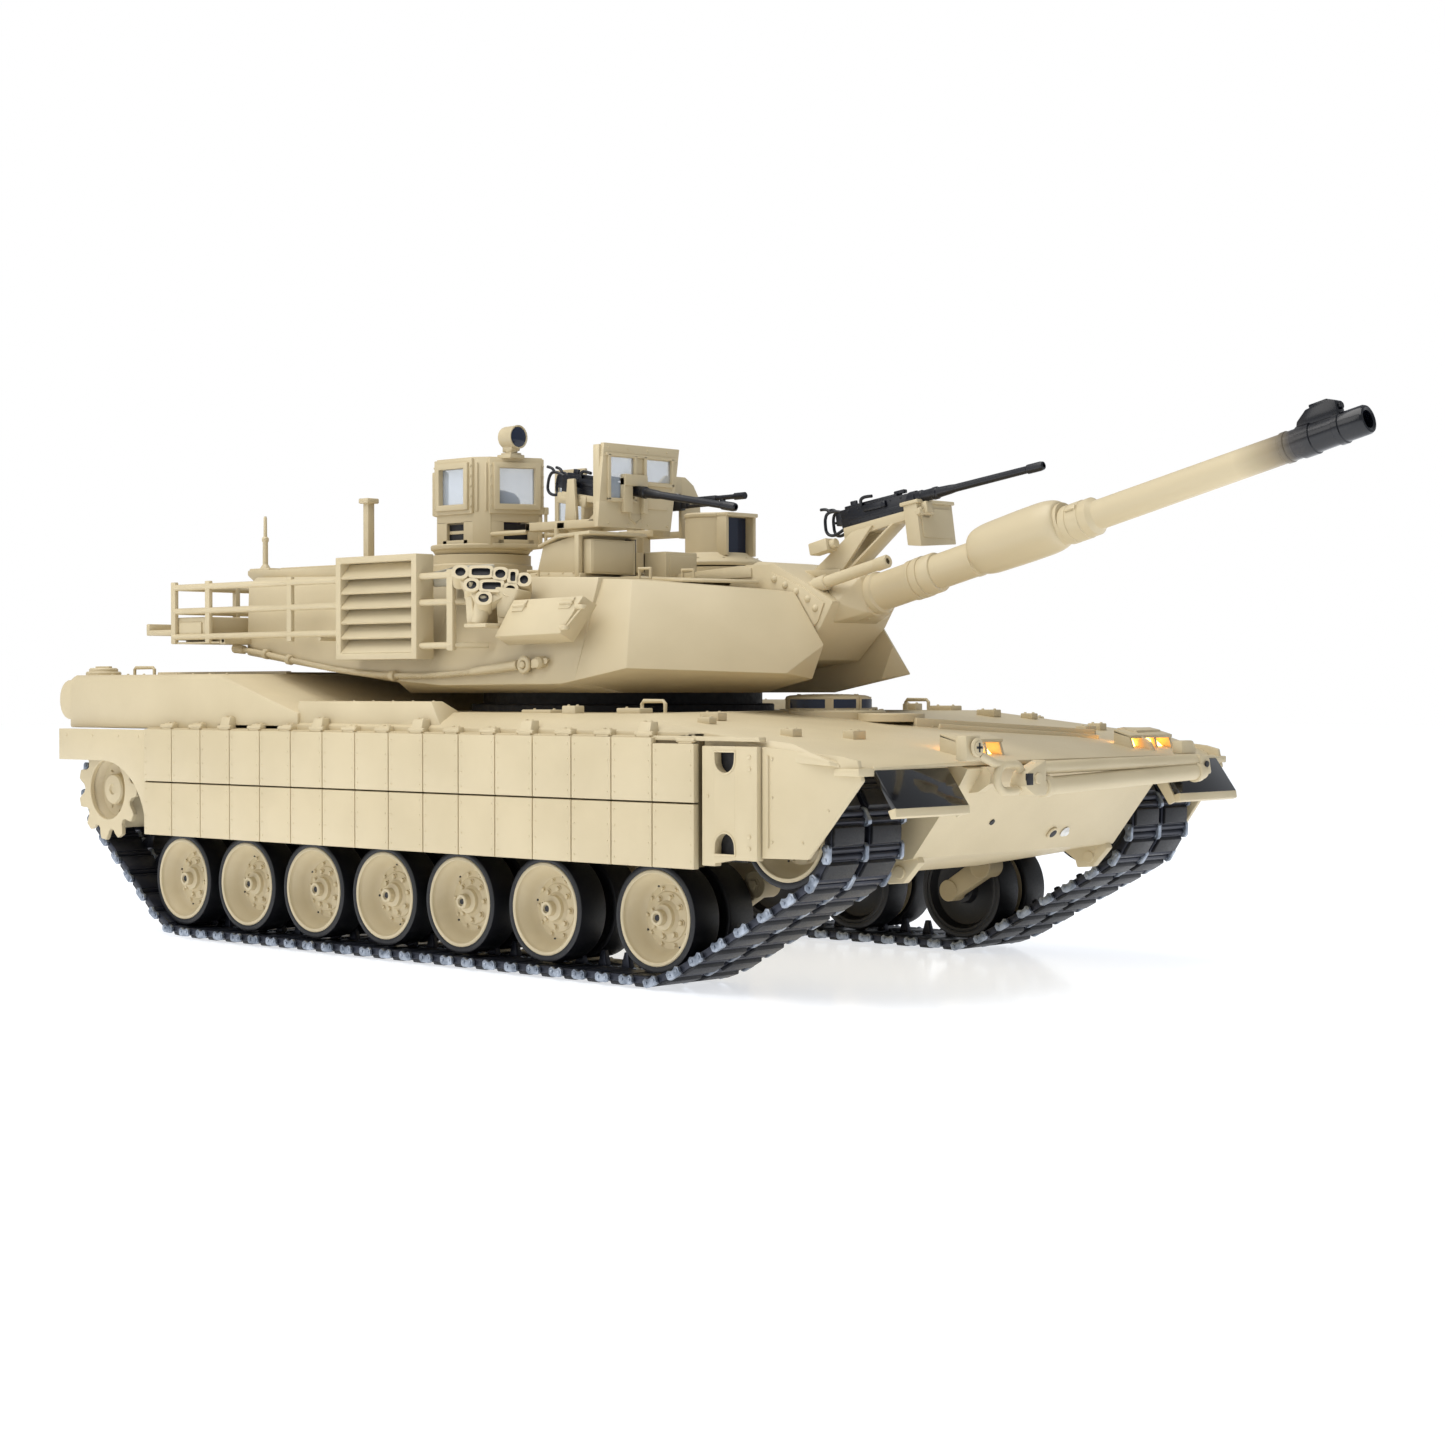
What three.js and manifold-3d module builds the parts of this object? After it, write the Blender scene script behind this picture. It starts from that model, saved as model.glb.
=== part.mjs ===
// Remote-control model of a modern main battle tank, about one sixteenth of full size.
// Units are millimetres. +X is forward, +Y is the tank's left, +Z is up, the ground is z = 0.
// Until the last lines x = 0 is halfway between the first and last road wheels.
import * as THREE from 'three';
import { ConvexGeometry } from 'three/addons/geometries/ConvexGeometry.js';
import { mergeVertices } from 'three/addons/utils/BufferGeometryUtils.js';
import Module from 'manifold-3d';

const wasm = await Module();
wasm.setup();

// ---------- driving dimensions ----------
// running gear
const WHEEL_GAPS = [57.2, 47.6, 44.9, 44.9, 44.9, 44.9];   // axle to axle, front wheel first
const FIRST_WHEEL_X = 142.2;
const AXLE_Z = 24.9;
const TYRE_R = 19.8;
const WHEEL_IN_Y = 73.4;                                   // inner face of a wheel
const WHEEL_WIDTH = 31;
const IDLER = { x: 204.6, z: 58 };
const SPROCKET = { x: -189, z: 62.5 };
const TRACK_IN_Y = 69.05;
const TRACK_OUT_Y = 108.8;
const TRACK_IN_R = 20.15;                                  // inner face, measured round each axle
const TRACK_OUT_R = 24.9;                                  // tread face
const TRACK_PITCH_R = 22.3;                                // where the link pins run
const LINK_PITCH = 12.1;
const ARM = { back: 18, drop: 11, inY: 62.3, outY: 71.5 }; // pivot is ahead of and above the axle
const SPROCKET_TEETH = 11;
// hull
const TUB_Y = 61;
const TUB_WALL = 3;
const BELLY_Z = 36;
const HULL_Y = 114;
const SKIRT_IN_Y = 114.4;
const BOARD_Y = 116.4;
const TILE_Y = 119.5;
const TILE_COLUMNS = 16;
const TILE_PITCH = 20.34;
const TILE_START_X = -149.6;
const TILE_ROWS = [[44.5, 66.8], [67.4, 89.6]];
const DECK_Z = 97.5;
const REAR_DECK_Z = 113;
// turret and gun
const TURRET_X = 22;
const RING_R = 58;
const TURRET_FLOOR_Z = 105;
const TRUNNION = { x: 110, z: 130.5 };
const GUN_REST_DEG = 14;
const CHEEK_GAP_Y = 20.6;                                  // half the slot between the cheeks
const CUPOLA = { x: -28, y: -34, r: 21.2 };
const LOADER = { x: -22, y: 34, r: 17 };
const SIGHT = { x: 43, y: 34 };
const GAP = 0.3;                                           // clearance between pieces that touch

// ---------- paints and materials ----------
function paint(color, roughness, metalness) {
  return new THREE.MeshStandardMaterial({ color, roughness, metalness });
}
const SAND = paint(0xd2c3a0, 0.45, 0);
const SAND_METAL = paint(0xd2c3a0, 0.4, 0.3);
const GLOSS_BLACK = paint(0x08090d, 0.15, 0);
const SATIN_BLACK = paint(0x14161f, 0.4, 0);
const TRACK_GREY = paint(0x3c3d40, 0.45, 0.4);
const STEEL = paint(0x77797c, 0.35, 0.9);
const BATTERY_WRAP = paint(0x1b2a52, 0.3, 0);

// ---------- the scene: one group for each unit ----------
const parts = new THREE.Group();
const hullUnit = new THREE.Group();
const rightGear = new THREE.Group();
const leftGear = new THREE.Group();
const turretUnit = new THREE.Group();
const gunUnit = new THREE.Group();
const roofUnit = new THREE.Group();
parts.add(hullUnit, turretUnit);
hullUnit.add(rightGear, leftGear);
turretUnit.add(gunUnit, roofUnit);
const GEAR = { '-1': rightGear, 1: leftGear };

// ---------- shape helpers ----------
function toManifold(geometry) {
  const g = geometry.clone();
  g.deleteAttribute('normal');
  g.deleteAttribute('uv');
  const m = mergeVertices(g, 1e-4);
  return new wasm.Manifold(new wasm.Mesh({
    numProp: 3,
    vertProperties: new Float32Array(m.attributes.position.array),
    triVerts: new Uint32Array(m.index.array),
  }));
}

function fromManifold(solid) {
  const mesh = solid.getMesh();
  const g = new THREE.BufferGeometry();
  g.setAttribute('position', new THREE.BufferAttribute(new Float32Array(mesh.vertProperties), 3));
  g.setIndex(new THREE.BufferAttribute(new Uint32Array(mesh.triVerts), 1));
  return g;
}

function box(x0, x1, y0, y1, z0, z1) {
  const g = new THREE.BoxGeometry(x1 - x0, y1 - y0, z1 - z0);
  g.translate((x0 + x1) / 2, (y0 + y1) / 2, (z0 + z1) / 2);
  return toManifold(g);
}

function hull(points) {
  return toManifold(new ConvexGeometry(points.map((p) => new THREE.Vector3(...p))));
}

function extrude(points, length) {
  const shape = new THREE.Shape(points.map((p) => new THREE.Vector2(...p)));
  return new THREE.ExtrudeGeometry(shape, { depth: length, bevelEnabled: false });
}

// outline in (x, z), swept from y0 to y1
function plateY(points, y0, y1) {
  const g = extrude(points, y1 - y0);
  g.rotateX(Math.PI / 2);
  g.translate(0, y1, 0);
  return toManifold(g);
}

// outline in (x, y), swept from z0 to z1
function plateZ(points, z0, z1) {
  const g = extrude(points, z1 - z0);
  g.translate(0, 0, z0);
  return toManifold(g);
}

// round rod between two points
function rod(a, b, r, sides = 8, r2 = r) {
  const from = new THREE.Vector3(...a);
  const dir = new THREE.Vector3(...b).sub(from);
  const g = new THREE.CylinderGeometry(r2, r, dir.length(), sides);
  g.translate(0, dir.length() / 2, 0);
  const up = new THREE.Vector3(0, 1, 0);
  g.applyQuaternion(new THREE.Quaternion().setFromUnitVectors(up, dir.normalize()));
  g.translate(...a);
  return toManifold(g);
}

// profile of [radius, along] pairs turned round the +Y axis, then placed
function turnY(profile, x, y, z, sides, mirror = false) {
  const g = new THREE.LatheGeometry(profile.map((p) => new THREE.Vector2(...p)), sides);
  if (mirror) {
    g.rotateX(Math.PI);
  }
  g.translate(x, y, z);
  return toManifold(g);
}

function turnZ(profile, x, y, z, sides) {
  const g = new THREE.LatheGeometry(profile.map((p) => new THREE.Vector2(...p)), sides);
  g.rotateX(Math.PI / 2);
  g.translate(x, y, z);
  return toManifold(g);
}

function join(pieces) {
  return pieces.reduce((a, b) => a.add(b));
}

function bothSides(make) {
  return join([make(-1), make(1)]);
}

// box given by its distance from the centre line, on one side
function sideBox(side, x0, x1, d0, d1, z0, z1) {
  return side < 0 ? box(x0, x1, -d1, -d0, z0, z1) : box(x0, x1, d0, d1, z0, z1);
}

function sidePlate(side, points, d0, d1) {
  return side < 0 ? plateY(points, -d1, -d0) : plateY(points, d0, d1);
}

function piece(name, solid, material, unit) {
  const mesh = new THREE.Mesh(fromManifold(solid), material);
  mesh.name = name;
  unit.add(mesh);
}

// point on the gun axis: u along the bore from the trunnion, w square to it and up
const GUN_RAD = (GUN_REST_DEG * Math.PI) / 180;
function onGun(u, w) {
  return [
    TRUNNION.x + u * Math.cos(GUN_RAD) - w * Math.sin(GUN_RAD),
    TRUNNION.z + u * Math.sin(GUN_RAD) + w * Math.cos(GUN_RAD),
  ];
}

const SIDE_NAME = { '-1': 'right', 1: 'left' };

// ---------- wheels, arms and tracks ----------
const wheelX = [FIRST_WHEEL_X];
for (const gap of WHEEL_GAPS) {
  wheelX.push(wheelX[wheelX.length - 1] - gap);
}

const BORE_R = 3.2;
const PIN_R = 2.8;
const WHEEL_SIDES = 14;
const WHEEL_PROFILE = [
  [0, 21], [BORE_R, 21], [BORE_R, 0.8], [TYRE_R, 0], [TYRE_R, 13.2], [10.5, 13.2], [10.5, 17.8],
  [TYRE_R, 17.8], [TYRE_R, WHEEL_WIDTH], [17.4, WHEEL_WIDTH], [8, 24.8], [4.2, 28.6], [0, 28.6],
];

function wheel(name, side, x, z) {
  const solid = turnY(WHEEL_PROFILE, x, side * WHEEL_IN_Y, z, WHEEL_SIDES, side < 0);
  piece(name, solid, SAND, GEAR[side]);
}

function swingArm(name, side, x) {
  const px = x + ARM.back;
  const pz = AXLE_Z + ARM.drop;
  const y0 = side * ARM.inY;
  const y1 = side * ARM.outY;
  const boss = rod([px, y0, pz], [px, y1, pz], 5, 8);
  const beam = plateY([
    [x - 3.4, AXLE_Z - 1.8], [x + 1.6, AXLE_Z - 3.6], [px + 1.8, pz - 3.9], [px - 1.8, pz + 3.9],
    [x - 1.8, AXLE_Z + 3.6],
  ], Math.min(side * 65, y1), Math.max(side * 65, y1));
  const pin = rod([x, side * 66, AXLE_Z], [x, side * (WHEEL_IN_Y + 20.5), AXLE_Z], PIN_R, 6);
  const hub = rod([x, side * 65, AXLE_Z], [x, y1, AXLE_Z], 4.4, 8);
  piece(name, join([boss, beam, hub, pin]), STEEL, GEAR[side]);
}

for (const side of [-1, 1]) {
  wheelX.forEach((x, i) => {
    wheel(`wheel_${SIDE_NAME[side]}_${i + 1}`, side, x, AXLE_Z);
    swingArm(`arm_${SIDE_NAME[side]}_${i + 1}`, side, x);
  });
  wheel(`idler_${SIDE_NAME[side]}`, side, IDLER.x, IDLER.z);
}

// the closed belt runs round four equal circles
const beltCentres = [
  [wheelX[6], AXLE_Z], [wheelX[0], AXLE_Z], [IDLER.x, IDLER.z], [SPROCKET.x, SPROCKET.z],
];
const beltRuns = beltCentres.map((c, i) => {
  const n = beltCentres[(i + 1) % 4];
  return { length: Math.hypot(n[0] - c[0], n[1] - c[1]), angle: Math.atan2(n[1] - c[1], n[0] - c[0]) };
});
const beltArcs = beltRuns.map((run, i) => {
  let turn = beltRuns[(i + 1) % 4].angle - run.angle;
  while (turn < 0) {
    turn += 2 * Math.PI;
  }
  return turn;
});
const beltLength = beltRuns.reduce((s, r) => s + r.length, 0) + 2 * Math.PI * TRACK_PITCH_R;
const LINKS = Math.round(beltLength / LINK_PITCH);

// place on the belt: s along the pitch line, r out from the axles
function onBelt(s, r) {
  let rest = ((s % beltLength) + beltLength) % beltLength;
  for (let i = 0; i < 4; i += 1) {
    const { length, angle } = beltRuns[i];
    const c = beltCentres[i];
    if (rest <= length) {
      return [
        c[0] + rest * Math.cos(angle) + r * Math.sin(angle),
        c[1] + rest * Math.sin(angle) - r * Math.cos(angle),
      ];
    }
    rest -= length;
    const arc = beltArcs[i] * TRACK_PITCH_R;
    if (rest <= arc) {
      const a = angle + rest / TRACK_PITCH_R;
      const n = beltCentres[(i + 1) % 4];
      return [n[0] + r * Math.sin(a), n[1] - r * Math.cos(a)];
    }
    rest -= arc;
  }
  return onBelt(0, r);
}

// every point where the belt bends, for smooth inside faces
function beltOutline(r, step) {
  const out = [];
  let s = 0;
  for (let i = 0; i < 4; i += 1) {
    s += beltRuns[i].length;
    const arc = beltArcs[i] * TRACK_PITCH_R;
    const n = Math.max(2, Math.ceil(beltArcs[i] / step));
    for (let k = 0; k <= n; k += 1) {
      out.push(onBelt(s + (arc * k) / n - (k === n ? 1e-6 : 0), r));
    }
    s += arc;
  }
  return out;
}

function track(side) {
  const tread = [];
  const pitch = beltLength / LINKS;
  for (let k = 0; k < LINKS; k += 1) {
    tread.push(onBelt((k + 0.1) * pitch, TRACK_OUT_R));
    tread.push(onBelt((k + 0.9) * pitch, TRACK_OUT_R));
    tread.push(onBelt((k + 1.0) * pitch, TRACK_OUT_R - 1.6));
  }
  const inside = beltOutline(TRACK_IN_R + 0.05, 0.17);
  const hornTips = beltOutline(14.6, 0.35);
  const band = sidePlate(side, tread, TRACK_IN_Y, TRACK_OUT_Y)
    .subtract(sidePlate(side, inside, TRACK_IN_Y - 1, TRACK_OUT_Y + 1));
  const ridge = sidePlate(side, beltOutline(TRACK_IN_R + 1, 0.35), 87.3, 90.5)
    .subtract(sidePlate(side, hornTips, 86, 92));
  piece(`track_${SIDE_NAME[side]}`, band.add(ridge), TRACK_GREY, GEAR[side]);
}

function toothedDisc(side, d0, d1) {
  const root = 18.6;
  const tip = 22.6;
  const outline = [];
  for (let k = 0; k < SPROCKET_TEETH; k += 1) {
    const a = (k * 2 * Math.PI) / SPROCKET_TEETH;
    const t = Math.PI / SPROCKET_TEETH;
    for (const [f, r] of [[-0.62, root], [-0.42, tip], [0.42, tip], [0.62, root]]) {
      outline.push([SPROCKET.x + r * Math.cos(a + f * t), SPROCKET.z + r * Math.sin(a + f * t)]);
    }
  }
  return sidePlate(side, outline, d0, d1);
}

function sprocket(side) {
  const profile = [
    [0, 1.2], [17, 1.2], [17, 14], [11, 17], [11, 24], [17.6, 27], [17.6, 44.5], [14.5, 44.5], [14.5, 41],
    [6, 38], [4.6, 41.5], [0, 41.5],
  ];
  const drum = turnY(profile, SPROCKET.x, side * 66, SPROCKET.z, 16, side < 0);
  const innerRing = toothedDisc(side, 66.6, 68.7);
  const outerRing = toothedDisc(side, 109.1, 111.3).subtract(
    rod([SPROCKET.x, side * 108, SPROCKET.z], [SPROCKET.x, side * 113, SPROCKET.z], 16.5, 16),
  );
  piece(`sprocket_${SIDE_NAME[side]}`, join([drum, innerRing, outerRing]), SAND, GEAR[side]);
}

for (const side of [-1, 1]) {
  track(side);
  sprocket(side);
}

// ---------- hull tub with its axles and the bow plate ----------
const TUB_TOP_Z = 86;
const tubOutline = [
  [-206, TUB_TOP_Z], [-206, 60], [-190, 44], [-165, BELLY_Z], [160, BELLY_Z], [189, 41], [224.7, 47.5],
  [245.5, 74], [248.6, 79], [246, 80], [200, 84.2], [180, TUB_TOP_Z],
];
const tubInside = [
  [-203, TUB_TOP_Z + 2], [-203, 62], [-188, 47], [-165, BELLY_Z + TUB_WALL], [158, BELLY_Z + TUB_WALL],
  [222, 52], [236, 74], [236, TUB_TOP_Z + 2],
];
function tub() {
  const shell = plateY(tubOutline, -TUB_Y, TUB_Y)
    .subtract(plateY(tubInside, TUB_WALL - TUB_Y, TUB_Y - TUB_WALL));
  const idlerPins = bothSides((s) => join([
    rod([IDLER.x, s * 60, IDLER.z], [IDLER.x, s * (WHEEL_IN_Y + 20), IDLER.z], PIN_R, 8),
    rod([IDLER.x, s * 60, IDLER.z], [IDLER.x, s * 72.9, IDLER.z], 6, 10),
    rod([SPROCKET.x, s * 60, SPROCKET.z], [SPROCKET.x, s * 66.2, SPROCKET.z], 9, 12),
  ]));
  const rollers = [];
  for (const s of [-1, 1]) {
    for (const x of [-62, 74]) {
      const z = IDLER.z + ((SPROCKET.z - IDLER.z) * (IDLER.x - x)) / (IDLER.x - SPROCKET.x);
      rollers.push(rod([x, s * 60, z + 14.3], [x, s * 84.6, z + 14.3], 2.6, 8));
      rollers.push(rod([x, s * 75, z + 14.3], [x, s * 84.6, z + 14.3], 5.4, 8));
    }
  }
  const lugs = bothSides((s) => sidePlate(s, [
    [206, 44.5], [212, 40.7], [217, 40.7], [222, 47.5],
  ], 55, 58.6));
  const towEyes = bothSides((s) => sidePlate(s, [
    [238, 70], [247, 71], [252, 74], [252.5, 77.5], [250, 79.7], [246, 79.7],
  ], 49, 53));
  return join([shell, idlerPins, ...rollers, lugs, towEyes]);
}
piece('lower_hull', tub(), SAND, hullUnit);

// ---------- upper hull: sponsons, decks and glacis ----------
function upperHull() {
  const y = HULL_Y;
  const rear = hull([
    [-214, -y, 89.6], [-214, y, 89.6], [-214, -y, REAR_DECK_Z - 2], [-214, y, REAR_DECK_Z - 2],
    [-212, 2 - y, REAR_DECK_Z], [-212, y - 2, REAR_DECK_Z], [-104, 2 - y, REAR_DECK_Z],
    [-104, y - 2, REAR_DECK_Z],
    [-103, -y, REAR_DECK_Z - 1], [-103, y, REAR_DECK_Z - 1], [-50, -y, 97], [-50, y, 97], [-50, -y, 89.6],
    [-50, y, 89.6],
  ]);
  const middle = hull([
    [-104, -y, 89.6], [-104, y, 89.6], [-104, -y, 92.4], [-104, y, 92.4], [-104, 12 - y, DECK_Z],
    [-104, y - 12, DECK_Z], [132, 12 - y, DECK_Z], [132, y - 12, DECK_Z], [176, -y, 91.6], [176, y, 91.6],
    [176, -y, 86.8], [176, y, 86.8], [132, 4 - y, 94.6], [132, y - 4, 94.6],
  ]);
  const glacis = hull([
    [120, -y, 86.8], [120, y, 86.8], [120, 12 - y, DECK_Z], [120, y - 12, DECK_Z], [132, 12 - y, DECK_Z],
    [132, y - 12, DECK_Z], [132, 0, DECK_Z + 1], [176, -y, 91.6], [176, y, 91.6], [214, 2 - y, 88.2],
    [214, y - 2, 88.2], [240, 10 - y, 80.3], [240, y - 10, 80.3], [247.6, -63, 81.6], [247.6, 63, 81.6],
    [240, 10 - y, 79.7], [240, y - 10, 79.7], [247.6, -63, 80.2], [247.6, 63, 80.2], [232, -y, 82.6],
    [232, y, 82.6], [232, -y, 81], [232, y, 81],
  ]);
  const cavity = join([
    hull([
      [-208, -58, 85], [-208, 58, 85], [-208, -58, 109.5], [-208, 58, 109.5], [-104, -58, 109.5],
      [-104, 58, 109.5],
      [-70, -58, 98], [-70, 58, 98], [-70, -58, 85], [-70, 58, 85],
    ]),
    box(-110, 124, -58, 58, 80, DECK_Z - 3),
  ]);
  // the lip keeps clear of the tub's front, which rises in under it
  const tubRoom = plateY([
    [100, 74], [100, TUB_TOP_Z + GAP], [180, TUB_TOP_Z + GAP], [200, 84.5], [246, 80.3], [252, 79.7],
    [252, 74],
  ], -TUB_Y - GAP, TUB_Y + GAP);
  const trackRoom = bothSides((s) => sidePlate(s, [
    [90, 76], [90, 87.2], [236, 82], [252, 76],
  ], TUB_Y + 1, TRACK_OUT_Y + 1.5));
  const ring = rod([TURRET_X, 0, 70], [TURRET_X, 0, 130], RING_R + 1.5, 32);
  const ringCollar = rod([TURRET_X, 0, DECK_Z - 2], [TURRET_X, 0, 101.5], RING_R + 5, 32);
  const boxes = bothSides((s) => join([
    hull([
      [-52, s * 106, 90], [-52, s * 113, 90], [-52, s * 106, 101.8], [-52, s * 112, 101.8], [38, s * 106, 90],
      [38, s * 113, 90], [30, s * 106, 101.8], [30, s * 112, 101.8], [-52, s * 96, 96], [30, s * 96, 97],
    ]),
    rod([-208.4, s * 100, 111], [-208.4, s * 100, 116], 7.8, 16),
    hull([
      [-220, s * 92, 96], [-220, s * 104, 96], [-221.5, s * 94, 103], [-221.5, s * 102, 103],
      [-220, s * 92, 110], [-220, s * 104, 110], [-212, s * 90, 94], [-212, s * 108, 94],
      [-212, s * 90, 112], [-212, s * 108, 112],
    ]),
  ]));
  const lamps = bothSides((s) => join([
    hull([
      [222, s * 66, 82], [222, s * 92, 82], [231, s * 66, 82], [231, s * 92, 82], [224, s * 66, 91.5],
      [224, s * 84, 91.5], [230, s * 66, 90.5], [230, s * 84, 90.5],
    ]),
    sidePlate(s, [[228, 82], [242, 81], [238, 87], [231, 90.5]], 64.4, 66),
  ]));
  const splash = bothSides((s) => hull([
    [178, 0, 91], [174, 0, 91], [178, 0, 95.6], [175.5, 0, 95.6], [213, s * 66, 87], [209, s * 66, 87.6],
    [213, s * 66, 90.8], [211, s * 66, 90.8],
  ]));
  const hatchSeat = rod([138, 0, DECK_Z - 3], [138, 0, 99.4], 21, 20);
  const hatchHole = rod([138, 0, DECK_Z - 8], [138, 0, 110], 17.4, 20);
  // the low cheeks sweep over the deck when the turret turns
  const swing = turnZ([
    [0, TURRET_FLOOR_Z - 1.6], [104, TURRET_FLOOR_Z - 1.6], [118, 108.6], [132, 108.6], [132, 130], [0, 130],
  ], TURRET_X, 0, 0, 64);
  return join([rear.subtract(swing), middle, glacis, boxes])
    .subtract(join([cavity, tubRoom, trackRoom]))
    .add(join([ringCollar, lamps, splash, hatchSeat]))
    .subtract(ring)
    .subtract(hatchHole);
}
piece('upper_hull', upperHull(), SAND, hullUnit);

// ---------- side skirts ----------
function skirt(side) {
  const y0 = SKIRT_IN_Y;
  const tileEnd = TILE_START_X + TILE_COLUMNS * TILE_PITCH;
  const rearCurve = [];
  for (let k = 0; k <= 6; k += 1) {
    const a = (k * Math.PI) / 12;
    rearCurve.push([-182 + 32.4 * Math.sin(a), 44.5 + 31 * Math.cos(a)]);
  }
  const board = sidePlate(side, [
    [-216, 89.4], [-216, 75.5], ...rearCurve, [tileEnd, 44.5], [tileEnd, 86.4], [TILE_START_X, 89.4],
  ], y0, BOARD_Y);
  const rearPlate = sidePlate(side, [
    [-216, 89.2], [-216, 75.5], ...rearCurve, [TILE_START_X - 0.4, 89.2],
  ], BOARD_Y - 1, TILE_Y - 1);
  const tiles = [];
  for (let column = 0; column < TILE_COLUMNS; column += 1) {
    const x0 = TILE_START_X + column * TILE_PITCH + 0.3;
    for (const [z0, z1] of TILE_ROWS) {
      const top = column === TILE_COLUMNS - 1 && z1 > 80 ? z1 - 2 : z1;
      tiles.push(sideBox(side, x0, x0 + TILE_PITCH - 0.6, BOARD_Y - 0.5, TILE_Y, z0, top));
    }
  }
  const holed = sidePlate(side, [
    [178.2, 87], [178.2, 45.9], [182, 45.2], [203.6, 49.2], [203.6, 87],
  ], y0, BOARD_Y + 1);
  const holes = join([[188.8, 81.6], [188.8, 53.6]].map(([x, z]) => sidePlate(side, [
    [x - 4, z + 3], [x - 4.2, z], [x - 3, z - 3], [x, z - 4], [x + 3, z - 3], [x + 4.2, z], [x + 4, z + 3],
  ], y0 - 1, BOARD_Y + 3)));
  const front = sidePlate(side, [
    [204, 87], [204, 49.4], [224.7, 49.6], [249, 76.1], [247, 82.9], [240, 84.2],
  ], y0, BOARD_Y + 0.6);
  const bridge = sideBox(side, tileEnd - 4, 210, y0, BOARD_Y - 0.6, 56, 80);
  const brackets = [];
  for (let column = 1; column <= TILE_COLUMNS; column += 5) {
    const x = TILE_START_X + column * TILE_PITCH - 6;
    brackets.push(sideBox(side, x, x + 9, y0, BOARD_Y + 0.6, 84, column > 14 ? 94 : 95.4));
  }
  piece(`skirt_${SIDE_NAME[side]}`, join([
    board, rearPlate, ...tiles, holed.subtract(holes), front, bridge.subtract(holes), ...brackets,
  ]), SAND, hullUnit);
}
skirt(-1);
skirt(1);

// ---------- mudguards, tow bar, driver's hatch, inside pieces ----------
for (const s of [-1, 1]) {
  const flap = sidePlate(s, [
    [241.2, 79.2], [251, 65.2], [252.6, 66.4], [243, 79.2],
  ], 64.6, 104);
  const edge = sidePlate(s, [[249.4, 65.9], [250.4, 63.6], [252.4, 64.6], [251.8, 66.6]], 64.6, 104);
  const web = sidePlate(s, [[236, 79], [247.4, 62.6], [250.4, 64.4], [242.4, 79.2]], 64.6, 66.2);
  piece(`mudguard_${SIDE_NAME[s]}`, join([flap, edge, web]), GLOSS_BLACK, hullUnit);
}

function towBar() {
  const x = 256.4;
  return join([
    rod([x, -31, 79.2], [x, 70, 79.7], 2.3, 10),
    rod([x + 1, -34, 72.2], [x + 1, 72, 75.4], 3.3, 12),
    box(x - 2.5, x + 3, 69, 76, 73, 82),
    hull([
      [x - 3, -38, 69.5], [x + 4, -38, 69.5], [x - 3, -44, 73], [x + 4, -44, 73], [x - 3, -31, 69.5],
      [x + 4, -31, 69.5], [x - 3, -42, 78], [x + 4, -42, 78], [x - 3, -30, 82], [x + 3, -30, 82],
      [x + 4, -30, 70],
    ]),
    box(x - 1.6, x + 1.4, -56, -42, 74.6, 78.4),
  ]);
}
piece('tow_bar', towBar(), SAND, hullUnit);

function driverHatch() {
  const lid = turnZ([[0, 0], [17, 0], [17, 2.4], [14.5, 4.2], [0, 4.6]], 138, 0, 95.6, 20);
  const periscopes = [-34, 0, 34].map((deg) => {
    const a = (deg * Math.PI) / 180;
    const c = [138 + 12.2 * Math.cos(a), 12.2 * Math.sin(a)];
    const t = [-Math.sin(a) * 3.1, Math.cos(a) * 3.1];
    const r = [Math.cos(a) * 2.2, Math.sin(a) * 2.2];
    const pts = [];
    for (const z of [98.5, 102.6]) {
      for (const i of [-1, 1]) {
        for (const j of [-1, 1]) {
          const drop = j > 0 && z > 100 ? 1 : 0;
          pts.push([c[0] + i * t[0] + j * r[0], c[1] + i * t[1] + j * r[1], z - drop]);
        }
      }
    }
    return hull(pts);
  });
  const arm = box(121.2, 131, -2, 2, 99.5, 101.2).add(box(118, 122, -3, 3, 100.2, 102.2));
  return join([lid, arm, ...periscopes]);
}
piece('driver_hatch', driverHatch(), SAND, hullUnit);

for (const s of [-1, 1]) {
  const body = sideBox(s, -186, -140, 6, 52, 50, 78);
  const motor = rod([-140, s * 26, 62], [-98, s * 26, 62], 13, 12);
  piece(`gearbox_${SIDE_NAME[s]}`, body.add(motor), STEEL, hullUnit);
}
piece('battery_pack', hull([
  [10, -23, 40], [10, 23, 40], [150, -23, 40], [150, 23, 40], [10, -19, 84], [10, 19, 84], [150, -19, 84],
  [150, 19, 84], [10, -23, 78], [10, 23, 78], [150, -23, 78], [150, 23, 78],
]), BATTERY_WRAP, hullUnit);

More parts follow.
